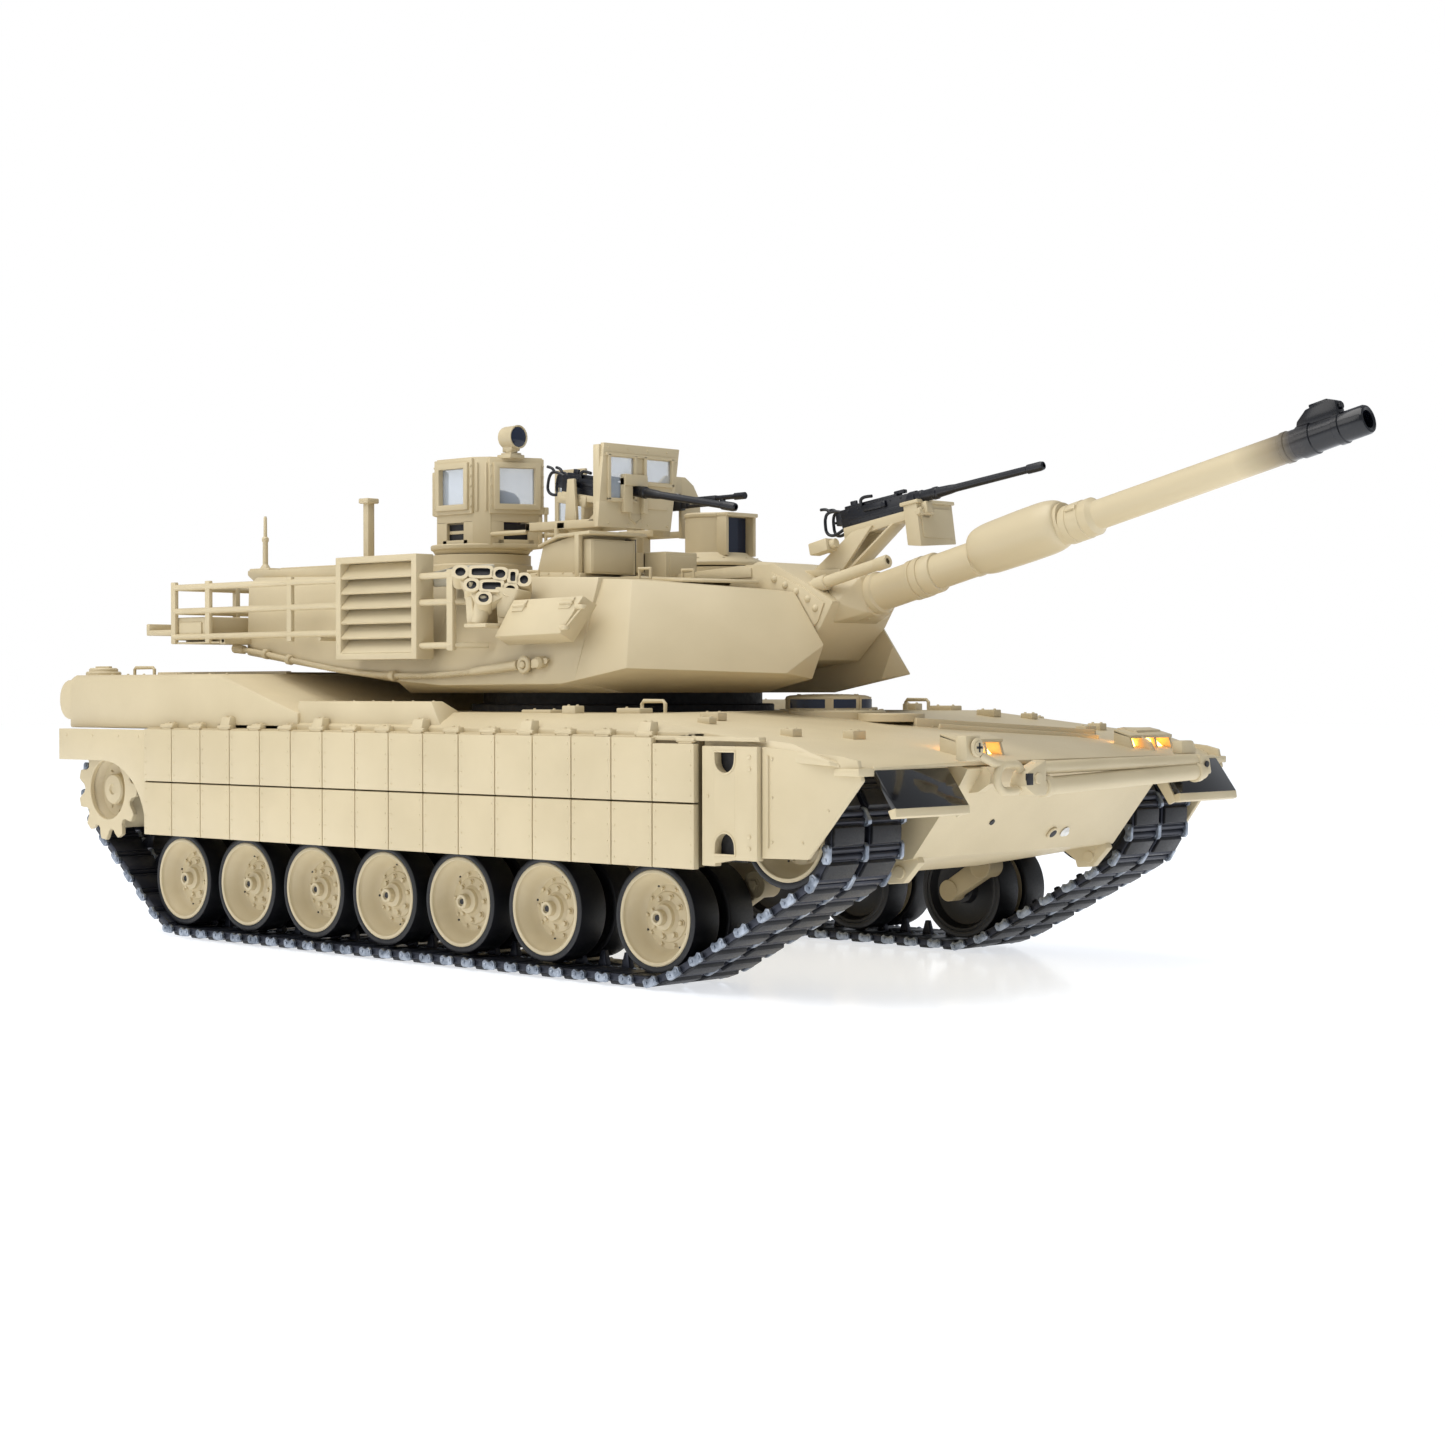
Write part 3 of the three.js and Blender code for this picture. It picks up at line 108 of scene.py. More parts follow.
def from_bmesh(bm, mat=0):
    bm.verts.index_update()
    shape = Shape([v.co[:] for v in bm.verts], [[v.index for v in f.verts] for f in bm.faces], mat)
    bm.free()
    return shape


def to_bmesh(co, faces):
    bm = bmesh.new()
    verts = [bm.verts.new(p) for p in co]
    for f in faces:
        bm.faces.new([verts[i] for i in f])
    bmesh.ops.recalc_face_normals(bm, faces=bm.faces)
    return bm


def rounded(bm, bevel, segments=2, sharp=30):
    if bevel:
        edges = [e for e in bm.edges if e.is_manifold and e.calc_face_angle(0) > math.radians(sharp)]
        bmesh.ops.bevel(bm, geom=edges, offset=bevel, segments=segments, profile=0.5,
                        affect="EDGES", clamp_overlap=True)
    return bm


def hull(points, mat=0, bevel=0.0, segments=2):
    """Convex body round the points, with flat faces joined and edges rounded."""
    bm = bmesh.new()
    for p in points:
        bm.verts.new(p)
    out = bmesh.ops.convex_hull(bm, input=bm.verts)
    gone = [v for v in out["geom_interior"] + out["geom_unused"] if isinstance(v, bmesh.types.BMVert)]
    bmesh.ops.delete(bm, geom=gone, context="VERTS")
    bmesh.ops.dissolve_limit(bm, angle_limit=math.radians(1), verts=bm.verts, edges=bm.edges)
    bmesh.ops.recalc_face_normals(bm, faces=bm.faces)
    return from_bmesh(rounded(bm, bevel, segments), mat)


def block(x0, x1, y0, y1, z0, z1, mat=0, bevel=0.3, segments=2):
    points = [(x, y, z) for x in (x0, x1) for y in (y0, y1) for z in (z0, z1)]
    return hull(points, mat, bevel, segments)


def prism(outline, a, b, along="y", mat=0, bevel=0.0, segments=2):
    """Flat outline swept from a to b along an axis: (x, z) points along y, (x, y) along z, (y, z) along x."""
    place = {"y": lambda p, t: (p[0], t, p[1]), "z": lambda p, t: (p[0], p[1], t),
             "x": lambda p, t: (t, p[0], p[1])}[along]
    n = len(outline)
    co = [place(p, a) for p in outline] + [place(p, b) for p in outline]
    faces = [list(range(n)), list(range(n, 2 * n))[::-1]]
    faces += [[i, n + i, n + (i + 1) % n, (i + 1) % n] for i in range(n)]
    return from_bmesh(rounded(to_bmesh(co, faces), bevel, segments), mat)


def lathe(profile, sides=48, mat=0, mats=None):
    """(radius, height) pairs turned round Z. A profile that isn't closed starts and ends on the axis."""
    co, faces, face_mats, rings = [], [], [], []
    for r, h in profile:
        if r < 1e-6:
            rings.append([len(co)])
            co.append((0, 0, h))
        else:
            rings.append(list(range(len(co), len(co) + sides)))
            co.extend((r * math.cos(2 * math.pi * k / sides), r * math.sin(2 * math.pi * k / sides), h)
                      for k in range(sides))
    for i in range(len(rings) - 1):
        a, b = rings[i], rings[i + 1]
        for k in range(sides):
            j = (k + 1) % sides
            if len(a) == 1 and len(b) == 1:
                continue
            if len(a) == 1:
                faces.append((a[0], b[k], b[j]))
            elif len(b) == 1:
                faces.append((a[k], b[0], a[j]))
            else:
                faces.append((a[k], b[k], b[j], a[j]))
            face_mats.append(mats[i] if mats else mat)
    shape = Shape(co, faces)
    shape.mats = face_mats
    area = sum((p[0] * q[1] - q[0] * p[1]) for p, q in zip(profile, profile[1:] + profile[:1]))
    if area > 0:
        shape.faces = [f[::-1] for f in shape.faces]
    return shape


def ring(inner, outer, h0, h1, sides=48, mat=0, bevel=0.25):
    b = min(bevel, (outer - inner) / 3, (h1 - h0) / 3)
    return lathe([(inner, h0 + b), (inner + b, h0), (outer - b, h0), (outer, h0 + b), (outer, h1 - b),
                  (outer - b, h1), (inner + b, h1), (inner, h1 - b), (inner, h0 + b)], sides, mat)


def disc(r, h0, h1, sides=32, mat=0, bevel=0.25):
    b = min(bevel, r / 3, (h1 - h0) / 3)
    return lathe([(0, h0), (r - b, h0), (r, h0 + b), (r, h1 - b), (r - b, h1), (0, h1)], sides, mat)


def to_y(shape):
    """A shape turned round Z, laid so that its height runs along +Y."""
    return shape.moved(Matrix(((1, 0, 0, 0), (0, 0, 1, 0), (0, -1, 0, 0), (0, 0, 0, 1))))


def to_x(shape):
    return shape.moved(Matrix(((0, 0, 1, 0), (0, 1, 0, 0), (-1, 0, 0, 0), (0, 0, 0, 1))))


def along(a, b):
    """Matrix that takes the Z axis, starting at 0, to the line from a to b."""
    a, b = Vector(a), Vector(b)
    return Matrix.Translation(a) @ (b - a).to_track_quat("Z", "Y").to_matrix().to_4x4()


def rod(a, b, r, sides=16, mat=0, r2=None, bevel=0.2):
    length = (Vector(b) - Vector(a)).length
    r2 = r if r2 is None else r2
    e = min(bevel, r / 3, r2 / 3, length / 3)
    profile = [(0, 0), (r - e, 0), (r, e), (r2, length - e), (r2 - e, length), (0, length)]
    return lathe(profile, sides, mat).moved(along(a, b))


def pipe(points, r, sides=10, mat=0, closed=False):
    """Round bar through the points, with flat ends."""
    pts = [Vector(p) for p in points]
    n = len(pts)
    co, faces = [], []
    normal = None
    for i, p in enumerate(pts):
        before = pts[i - 1] if (i > 0 or closed) else p
        after = pts[(i + 1) % n] if (i < n - 1 or closed) else p
        t = (after - before).normalized()
        if normal is None:
            normal = t.orthogonal().normalized()
        normal = (normal - t * normal.dot(t)).normalized()
        side = t.cross(normal)
        stretch = 1.0
        if before != p and after != p:
            half = (p - before).normalized().dot(t)
            stretch = 1 / max(0.5, half)
        for k in range(sides):
            a = 2 * math.pi * k / sides
            co.append(p + (normal * math.cos(a) + side * math.sin(a)) * r * stretch ** 0.5)
    for i in range(n if closed else n - 1):
        j = (i + 1) % n
        for k in range(sides):
            m = (k + 1) % sides
            faces.append((i * sides + k, i * sides + m, j * sides + m, j * sides + k))
    if not closed:
        faces.append(tuple(range(sides))[::-1])
        faces.append(tuple(range((n - 1) * sides, n * sides)))
    return Shape(co, faces, mat)


def arc(centre, r, from_deg, to_deg, n, plane="xy"):
    out = []
    for k in range(n + 1):
        a = math.radians(from_deg + (to_deg - from_deg) * k / n)
        u, v = r * math.cos(a), r * math.sin(a)
        x, y, z = centre
        out.append({"xy": (x + u, y + v, z), "xz": (x + u, y, z + v), "yz": (x, y + u, z + v)}[plane])
    return out


def hex_bolt(r=1.0, h=0.8, mat=0):
    """Hexagon head on a washer, standing on z = 0 and rising along Z."""
    head = lathe([(0, 0), (r, 0), (r, h * 0.75), (r * 0.8, h), (0, h)], 6, mat)
    return join(disc(r * 1.35, 0, h * 0.25, 14, mat, 0.05), head)


def bolt_circle(bolt, count, r, z, centre=(0, 0), start=0.0):
    """Copies of a bolt at equal angles on a circle. The first is start steps round from +X."""
    out = []
    for k in range(count):
        a = 2 * math.pi * (k + start) / count
        out.append(bolt.at(centre[0] + r * math.cos(a), centre[1] + r * math.sin(a), z))
    return out


def dome_bolt(r=0.7, h=0.5, mat=0, sides=10):
    return lathe([(0, 0), (r, 0), (r * 0.9, h * 0.6), (r * 0.5, h * 0.93), (0, h)], sides, mat)


def rect_frame(place, outer, inner, d0, d1, mat=0, bevel=0.25):
    """Rectangular ring between two rectangles (u0, u1, v0, v1); place(u, d, v) gives the point in space."""
    co = []
    for u0, u1, v0, v1 in (outer, inner):
        for d in (d0, d1):
            co += [place(u, d, v) for u, v in ((u0, v0), (u1, v0), (u1, v1), (u0, v1))]
    faces = []
    for i in range(4):
        j = (i + 1) % 4
        faces += [(i, j, 4 + j, 4 + i), (8 + i, 12 + i, 12 + j, 8 + j), (i, 8 + i, 8 + j, j),
                  (4 + i, 4 + j, 12 + j, 12 + i)]
    return from_bmesh(rounded(to_bmesh(co, faces), bevel, 2), mat)


# ---------------------------------------------------------------- making objects
def make(name, shapes, body, materials, replaces=(), smooth=32, bevel=0.0):
    shape = join(shapes) if isinstance(shapes, (list, tuple)) else shapes
    mesh = bpy.data.meshes.new(name)
    co = shape.co * MM
    co[:, 0] += SHIFT_X
    mesh.from_pydata(co.tolist(), [], shape.faces)
    mesh.polygons.foreach_set("material_index", shape.mats)
    for m in materials:
        mesh.materials.append(m)
    mesh.validate()
    mesh.shade_smooth()
    mesh.set_sharp_from_angle(angle=math.radians(smooth))
    obj = bpy.data.objects.new(name, mesh)
    bpy.context.scene.collection.objects.link(obj)
    if bevel:
        add_bevel(obj, bevel)
    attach(obj, body)
    if replaces:
        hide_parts(*replaces)
    return obj


def add_bevel(obj, width, segments=2, angle=30):
    mod = obj.modifiers.new("edges", "BEVEL")
    mod.width = width * MM
    mod.segments = segments
    mod.limit_method = "ANGLE"
    mod.angle_limit = math.radians(angle)
    mod.use_clamp_overlap = True
    mod.harden_normals = False
    weighted = obj.modifiers.new("normals", "WEIGHTED_NORMAL")
    weighted.keep_sharp = True


# ---------------------------------------------------------------- materials
def nodes_of(name):
    mat = bpy.data.materials.new(name)
    mat.use_nodes = True
    return mat, mat.node_tree, mat.node_tree.nodes["Principled BSDF"]


def noise(tree, scale, detail=3.0, source=None):
    n = tree.nodes.new("ShaderNodeTexNoise")
    n.inputs["Scale"].default_value = scale
    n.inputs["Detail"].default_value = detail
    tree.links.new(source, n.inputs["Vector"])
    return n


def ramp(tree, source, stops):
    n = tree.nodes.new("ShaderNodeValToRGB")
    while len(n.color_ramp.elements) < len(stops):
        n.color_ramp.elements.new(0.5)
    for e, (pos, colour) in zip(n.color_ramp.elements, stops):
        e.position = pos
        e.color = (*colour, 1) if len(colour) == 3 else colour
    tree.links.new(source, n.inputs["Fac"])
    return n


def grey(v):
    return (v, v, v)


def surface(name, dark, light, rough=(0.4, 0.5), grain=900, bump=0.03, metallic=0.0, coat=0.0, patch=28,
            specular=0.5):
    """Painted, moulded or rubber surface: slow colour drift, a fine grain in roughness and bump."""
    mat, tree, bsdf = nodes_of(name)
    where = tree.nodes.new("ShaderNodeTexCoord").outputs["Object"]
    slow = noise(tree, patch, 4.0, where)
    fine = noise(tree, grain, 2.0, where)
    colour = ramp(tree, slow.outputs["Fac"], [(0.35, dark), (0.65, light)])
    tree.links.new(colour.outputs["Color"], bsdf.inputs["Base Color"])
    gloss = ramp(tree, fine.outputs["Fac"], [(0.3, grey(rough[0])), (0.7, grey(rough[1]))])
    tree.links.new(gloss.outputs["Color"], bsdf.inputs["Roughness"])
    b = tree.nodes.new("ShaderNodeBump")
    b.inputs["Strength"].default_value = bump
    b.inputs["Distance"].default_value = 0.0002
    tree.links.new(fine.outputs["Fac"], b.inputs["Height"])
    tree.links.new(b.outputs["Normal"], bsdf.inputs["Normal"])
    bsdf.inputs["Metallic"].default_value = metallic
    bsdf.inputs["Coat Weight"].default_value = coat
    bsdf.inputs["Specular IOR Level"].default_value = specular
    return mat


def srgb(r, g, b):
    def lin(v):
        v /= 255
        return v / 12.92 if v <= 0.04045 else ((v + 0.055) / 1.055) ** 2.4
    return (lin(r), lin(g), lin(b))


SAND = surface("sand_paint", srgb(196, 181, 147), srgb(204, 189, 155), (0.40, 0.52), 1400, 0.05)
# Darker copy of the sand paint: painted shade, for the swing arms under the hull and the sheet behind the
# rack's louvres.
SAND_SHADE = surface("sand_paint_painted_shade", srgb(150, 135, 103), srgb(160, 145, 112), (0.5, 0.6), 1400, 0.05)
BLACK = surface("satin_black", srgb(6, 8, 16), srgb(11, 14, 25), (0.30, 0.42), 1200, 0.06)
GLOSS = surface("gloss_black", srgb(7, 7, 10), srgb(10, 10, 14), (0.10, 0.16), 500, 0.01, coat=0.4)
RUBBER = surface("tyre_rubber", srgb(8, 9, 13), srgb(13, 14, 19), (0.42, 0.55), 1500, 0.08)
PAD = surface("track_pad", srgb(12, 13, 18), srgb(19, 20, 27), (0.42, 0.56), 1600, 0.12)
GUNMETAL = surface("link_metal", srgb(40, 42, 50), srgb(58, 61, 72), (0.30, 0.45), 900, 0.10, metallic=0.55)
SILVER = surface("connector_metal", srgb(112, 120, 132), srgb(168, 176, 188), (0.30, 0.46), 700, 0.16,
                 metallic=0.8,
                 patch=260)
STEEL = surface("plain_steel", srgb(120, 121, 122), srgb(150, 151, 152), (0.28, 0.4), 800, 0.05,
                metallic=0.95)
# Near-black painted shade for holes, slots, recesses and the parts under the turret.
HOLE_SHADE = surface("hole_painted_shade", srgb(24, 24, 28), srgb(34, 34, 38), (0.5, 0.7), 600, 0.05)
WHITE = surface("white_plastic", srgb(220, 220, 218), srgb(228, 228, 226), (0.3, 0.4), 900, 0.03)
# Darkened sand: painted shade in the gaps between the skirt tiles.
SEAM_SHADE = surface("tile_seam_painted_shade", srgb(96, 84, 60), srgb(110, 97, 70), (0.55, 0.7), 900, 0.03)
COVER = surface("pale_cover", srgb(176, 170, 152), srgb(188, 182, 164), (0.45, 0.6), 700, 0.06)
BATTERY = surface("battery_wrap", srgb(24, 40, 84), srgb(30, 48, 98), (0.25, 0.35), 500, 0.03)


def glass(name, tint, rough=0.04, alpha=0.35):
    mat, tree, bsdf = nodes_of(name)
    where = tree.nodes.new("ShaderNodeTexCoord").outputs["Object"]
    smear = noise(tree, 60, 3.0, where)
    colour = ramp(tree, smear.outputs["Fac"], [(0.3, tint), (0.7, tuple(c * 1.06 for c in tint))])
    tree.links.new(colour.outputs["Color"], bsdf.inputs["Base Color"])
    bsdf.inputs["Roughness"].default_value = rough
    bsdf.inputs["Alpha"].default_value = alpha
    bsdf.inputs["IOR"].default_value = 1.45
    return mat


GLASS = glass("window_glass", srgb(196, 208, 222), 0.05, 0.42)
LENS = glass("lens_glass", srgb(34, 42, 62), 0.06, 1.0)
MAROON = glass("dark_dome", srgb(52, 44, 66), 0.12, 1.0)


def lamp(name, colour, strength):
    mat, tree, bsdf = nodes_of(name)
    where = tree.nodes.new("ShaderNodeTexCoord").outputs["Object"]
    spots = noise(tree, 500, 2.0, where)
    tint = ramp(tree, spots.outputs["Fac"], [(0.35, colour), (0.6, (1.0, 0.62, 0.16))])
    tree.links.new(tint.outputs["Color"], bsdf.inputs["Emission Color"])
    bsdf.inputs["Emission Strength"].default_value = strength
    bsdf.inputs["Base Color"].default_value = (*colour, 1)
    return mat


AMBER = lamp("amber_lamp", (1.0, 0.36, 0.03), 9.0)


def barrel_paint():
    """Sand paint on the tube that fades to black towards the muzzle, by distance along the bore."""
    mat, tree, bsdf = nodes_of("barrel_paint")
    where = tree.nodes.new("ShaderNodeTexCoord").outputs["Object"]
    slope = math.radians(14)
    far = tree.nodes.new("ShaderNodeVectorMath")
    far.operation = "DOT_PRODUCT"
    far.inputs[1].default_value = (math.cos(slope), 0, math.sin(slope))
    tree.links.new(where, far.inputs[0])
    start = (110 * MM + SHIFT_X) * math.cos(slope) + 130.5 * MM * math.sin(slope)
    span = tree.nodes.new("ShaderNodeMapRange")
    span.inputs["From Min"].default_value = start + 0.214
    span.inputs["From Max"].default_value = start + 0.244
    tree.links.new(far.outputs["Value"], span.inputs["Value"])
    fade = ramp(tree, span.outputs["Result"], [(0.0, srgb(200, 185, 151)), (0.45, srgb(150, 136, 108)),
                                               (0.75, srgb(48, 45, 44)), (1.0, srgb(7, 9, 16))])
    tree.links.new(fade.outputs["Color"], bsdf.inputs["Base Color"])
    fine = noise(tree, 1200, 2.0, where)
    gloss = ramp(tree, span.outputs["Result"], [(0.3, grey(0.42)), (0.9, grey(0.22))])
    tree.links.new(gloss.outputs["Color"], bsdf.inputs["Roughness"])
    b = tree.nodes.new("ShaderNodeBump")
    b.inputs["Strength"].default_value = 0.04
    b.inputs["Distance"].default_value = 0.0002
    tree.links.new(fine.outputs["Fac"], b.inputs["Height"])
    tree.links.new(b.outputs["Normal"], bsdf.inputs["Normal"])
    return mat


BARREL = barrel_paint()

# ---------------------------------------------------------------- camera, lights, floor
CAMERA_MM = (780.48, -756.54, 106.02)
CAMERA_YAW = math.radians(42.863)
CAMERA_PITCH = math.radians(-0.7229)
CAMERA_ROLL = math.radians(0.054)
LENS_MM = 63.93


def add_camera():
    data = bpy.data.cameras.new("camera")
    data.sensor_width = 36
    data.lens = LENS_MM
    data.clip_start = 0.05
    data.clip_end = 20
    cam = bpy.data.objects.new("camera", data)
    bpy.context.scene.collection.objects.link(cam)
    place = Vector(CAMERA_MM) * MM + Vector((SHIFT_X, 0, 0))
    cam.matrix_world = (Matrix.Translation(place) @ Matrix.Rotation(CAMERA_YAW, 4, "Z")
                        @ Matrix.Rotation(math.pi / 2 + CAMERA_PITCH, 4, "X")
                        @ Matrix.Rotation(-CAMERA_ROLL, 4, "Z"))
    bpy.context.scene.camera = cam


def area_light(name, place, target, size, power, colour=(1, 1, 1)):
    data = bpy.data.lights.new(name, "AREA")
    data.shape = "RECTANGLE"
    data.size, data.size_y = size
    data.energy = power
    data.color = colour
    obj = bpy.data.objects.new(name, data)
    bpy.context.scene.collection.objects.link(obj)
    obj.location = place
    obj.rotation_euler = (Vector(target) - Vector(place)).to_track_quat("-Z", "Y").to_euler()


def add_studio():
    scene = bpy.context.scene
    scene.view_settings.view_transform = "Standard"
    world = bpy.data.worlds.new("world")
    scene.world = world
    world.use_nodes = True
    world.node_tree.nodes["Background"].inputs["Color"].default_value = (1, 1, 1, 1)
    world.node_tree.nodes["Background"].inputs["Strength"].default_value = 1.0
    lift = world.node_tree.nodes.new("ShaderNodeLightPath")
    dim = world.node_tree.nodes.new("ShaderNodeBackground")
    dim.inputs["Color"].default_value = (0.90, 0.94, 1.0, 1)
    dim.inputs["Strength"].default_value = 0.42
    pick = world.node_tree.nodes.new("ShaderNodeMixShader")
    tree = world.node_tree
    tree.links.new(lift.outputs["Is Camera Ray"], pick.inputs["Fac"])
    tree.links.new(dim.outputs["Background"], pick.inputs[1])
    tree.links.new(tree.nodes["Background"].outputs["Background"], pick.inputs[2])
    tree.links.new(pick.outputs["Shader"], tree.nodes["World Output"].inputs["Surface"])
    area_light("overhead", (-0.1, -0.5, 1.5), (0, 0, 0.1), (1.4, 1.4), 21, (1.0, 0.98, 0.95))
    area_light("front_left", (-0.5, -1.7, 0.9), (0, 0, 0.1), (1.2, 1.0), 7, (1.0, 0.98, 0.95))
    floor_mesh = bpy.data.meshes.new("floor")
    r = 6.0
    floor_mesh.from_pydata([(-r, -r, 0), (r, -r, 0), (r, r, 0), (-r, r, 0)], [], [(0, 1, 2, 3)])
    floor = bpy.data.objects.new("floor", floor_mesh)
    scene.collection.objects.link(floor)
    floor.location.z = -0.0004
    mat, tree, bsdf = nodes_of("pale_floor")
    where = tree.nodes.new("ShaderNodeTexCoord").outputs["Object"]
    drift = noise(tree, 3, 2.0, where)
    colour = ramp(tree, drift.outputs["Fac"], [(0.3, (0.92, 0.945, 0.99)), (0.7, (0.94, 0.965, 1.0))])
    tree.links.new(colour.outputs["Color"], bsdf.inputs["Base Color"])
    bsdf.inputs["Roughness"].default_value = 0.12
    bsdf.inputs["Emission Color"].default_value = (0.96, 0.975, 1.0, 1)
    bsdf.inputs["Emission Strength"].default_value = 0.66
    bsdf.inputs["Specular IOR Level"].default_value = 0.5
    floor_mesh.materials.append(mat)


add_camera()
add_studio()

# ---------------------------------------------------------------- running gear
WHEEL_GAPS = (57.2, 47.6, 44.9, 44.9, 44.9, 44.9)
AXLE_Z = 24.9
WHEEL_IN_Y = 73.4
WHEEL_WIDTH = 31.0
RIM_R = 17.4
TYRE_R = 19.8
IDLER = (204.6, 58.0)
SPROCKET = (-189.0, 62.5)
TRACK_IN_Y = 69.05
TRACK_OUT_Y = 108.8
PITCH_R = 22.3
LINK_PITCH = 12.1
SPROCKET_TEETH = 11

wheel_x = [FIRST_WHEEL_X]
for gap in WHEEL_GAPS:
    wheel_x.append(wheel_x[-1] - gap)


def round_wheel():
    """Double wheel on the left side: its outer face looks along +Y, its centre is the origin."""
    o = WHEEL_WIDTH
    tyres = []
    for y0, y1 in ((0.0, 13.0), (18.0, WHEEL_WIDTH)):
        tyres.append(lathe([(RIM_R, y0 + 0.2), (RIM_R + 0.6, y0), (TYRE_R - 0.9, y0),
                            (TYRE_R - 0.2, y0 + 0.3), (TYRE_R, y0 + 1.0), (TYRE_R, y1 - 1.0),
                            (TYRE_R - 0.2, y1 - 0.3), (TYRE_R - 0.9, y1), (RIM_R + 0.6, y1),
                            (RIM_R, y1 - 0.2), (RIM_R, y0 + 0.2)], 72, 1))
    dish = [(0, o - 1.6), (1.4, o - 1.6), (1.7, o - 0.7), (2.6, o - 0.7), (2.9, o - 1.1), (2.9, o - 3.4),
            (3.7, o - 3.8), (4.6, o - 4.0), (4.9, o - 5.4), (6.0, o - 6.4), (8.9, o - 7.0), (9.3, o - 7.4),
            (11.6, o - 7.8), (12.4, o - 7.2), (13.4, o - 5.4), (15.3, o - 1.7), (15.8, o - 1.0),
            (15.9, o - 0.1), (16.2, o + 0.15), (17.0, o + 0.15), (17.35, o - 0.1), (RIM_R, o - 0.5),
            (RIM_R, 18.2), (15.0, 18.0), (11.0, 17.4), (11.0, 13.6), (15.0, 13.0), (RIM_R, 12.8),
            (RIM_R, 0.4), (16.8, 0.0), (15.9, 0.2), (14.4, 3.4), (11.4, 4.6), (6.0, 4.0), (5.2, 1.2),
            (3.4, 0.9), (3.4, 3), (0, 3)]
    body = [lathe(dish, 72, 0, [0 if a[1] + b[1] > 34 else 1 for a, b in zip(dish, dish[1:])])]
    body += bolt_circle(hex_bolt(1.0, 1.3), 8, 7.2, o - 6.8, start=0.5)
    body += bolt_circle(hex_bolt(0.75, 1.0), 10, 10.4, o - 7.7)
    # Material 2 on the small holes and the cap's recess: painted shade.
    body += bolt_circle(disc(0.45, o - 8.2, o - 7.35, 10, 2, 0.02), 4, 12.0, 0, start=0.3)
    body.append(lathe([(0, o - 1.7), (1.2, o - 1.7), (1.2, o - 1.2), (0, o - 1.2)], 6, 2))
    return to_y(join(body, tyres))


ONE_WHEEL = round_wheel()


def add_wheels():
    for s, side in SIDES:
        for i, x in enumerate(wheel_x, 1):
            turned = ONE_WHEEL.turned("Y", 37 * i)
            shape = turned.at(0, WHEEL_IN_Y, 0).side(s).at(x, 0, AXLE_Z)
            name = f"wheel_{side}_{i}"
            make(f"road_{name}", shape, name, [SAND, RUBBER, HOLE_SHADE], [name], 30)
        shape = ONE_WHEEL.at(0, WHEEL_IN_Y, 0).side(s).at(IDLER[0], 0, IDLER[1])
        make(f"idler_wheel_{side}", shape, f"idler_{side}", [SAND, RUBBER, HOLE_SHADE], [f"idler_{side}"],
             30)


belt_centres = [(wheel_x[6], AXLE_Z), (wheel_x[0], AXLE_Z), IDLER, SPROCKET]
belt_runs = []
for i in range(4):
    a, b = belt_centres[i], belt_centres[(i + 1) % 4]
    belt_runs.append((math.hypot(b[0] - a[0], b[1] - a[1]), math.atan2(b[1] - a[1], b[0] - a[0])))
belt_arcs = [(belt_runs[(i + 1) % 4][1] - belt_runs[i][1]) % (2 * math.pi) for i in range(4)]
BELT_LENGTH = sum(r[0] for r in belt_runs) + 2 * math.pi * PITCH_R
LINKS = round(BELT_LENGTH / LINK_PITCH)


def belt_point(s):
    """Place on the pin line and direction of travel there."""
    s %= BELT_LENGTH
    for i in range(4):
        length, angle = belt_runs[i]
        if s <= length:
            c = belt_centres[i]
            return (c[0] + s * math.cos(angle) + PITCH_R * math.sin(angle),
                    c[1] + s * math.sin(angle) - PITCH_R * math.cos(angle), angle)
        s -= length
        bend = belt_arcs[i] * PITCH_R
        if s <= bend:
            a = angle + s / PITCH_R
            c = belt_centres[(i + 1) % 4]
            return c[0] + PITCH_R * math.sin(a), c[1] - PITCH_R * math.cos(a), a
        s -= bend
    return belt_point(0)


def one_link(pitch):
    """A link on the left side: x runs along the belt, z points in to the wheels, the pins lie on z = 0."""
    half = pitch / 2
    y0, y1 = TRACK_IN_Y + 1.6, TRACK_OUT_Y - 1.6
    middle = (TRACK_IN_Y + TRACK_OUT_Y) / 2
    parts = []
    for a, b in ((y0, middle - 1.5), (middle + 1.5, y1)):
        parts.append(block(-half + 2.1, half - 2.1, a, b, -1.2, 1.55, 0, 0.35))
        parts.append(hull([(x, y, z) for y in (a + 1.0, b - 0.4) for x, z in (
            (-half + 2.3, -1.0), (half - 2.3, -1.0), (-half + 3.1, -2.45), (half - 3.1, -2.45))], 1, 0.3))
        for x in (-half + 1.35, half - 1.35):
            parts.append(rod((x, a - 0.6, 0), (x, b + 0.6, 0), 1.35, 12, 0, bevel=0.1))
    for y in (TRACK_IN_Y + 0.7, middle, TRACK_OUT_Y - 0.7):
        wide = 0.7 if y != middle else 0.95
        x = -half
        lug = prism([(x - 3.3, -1.0), (x - 2.2, -1.8), (x + 2.2, -1.8), (x + 3.3, -1.0), (x + 3.3, 1.0),
                     (x + 2.0, 1.85), (x + 0.6, 1.1), (x - 0.6, 1.1), (x - 2.0, 1.85), (x - 3.3, 1.0)],
                    y - wide, y + wide, "y", 2, 0.2)
        parts.append(lug)
        for px in (x - 1.9, x + 1.9):
            for s in (-1, 1):
                tip = y + s * (wide + 0.35)
                parts.append(rod((px, y, 0), (px, tip, 0), 0.75, 10, 2, bevel=0.12))
    horn = hull([(-2.3, middle - 1.5, 1.0), (2.3, middle - 1.5, 1.0), (-2.3, middle + 1.5, 1.0),
                 (2.3, middle + 1.5, 1.0), (-0.9, middle - 1.0, 7.0), (0.9, middle - 1.0, 7.0),
                 (-0.9, middle + 1.0, 7.0), (0.9, middle + 1.0, 7.0)], 0, 0.3)
    parts.append(horn)
    return join(parts)


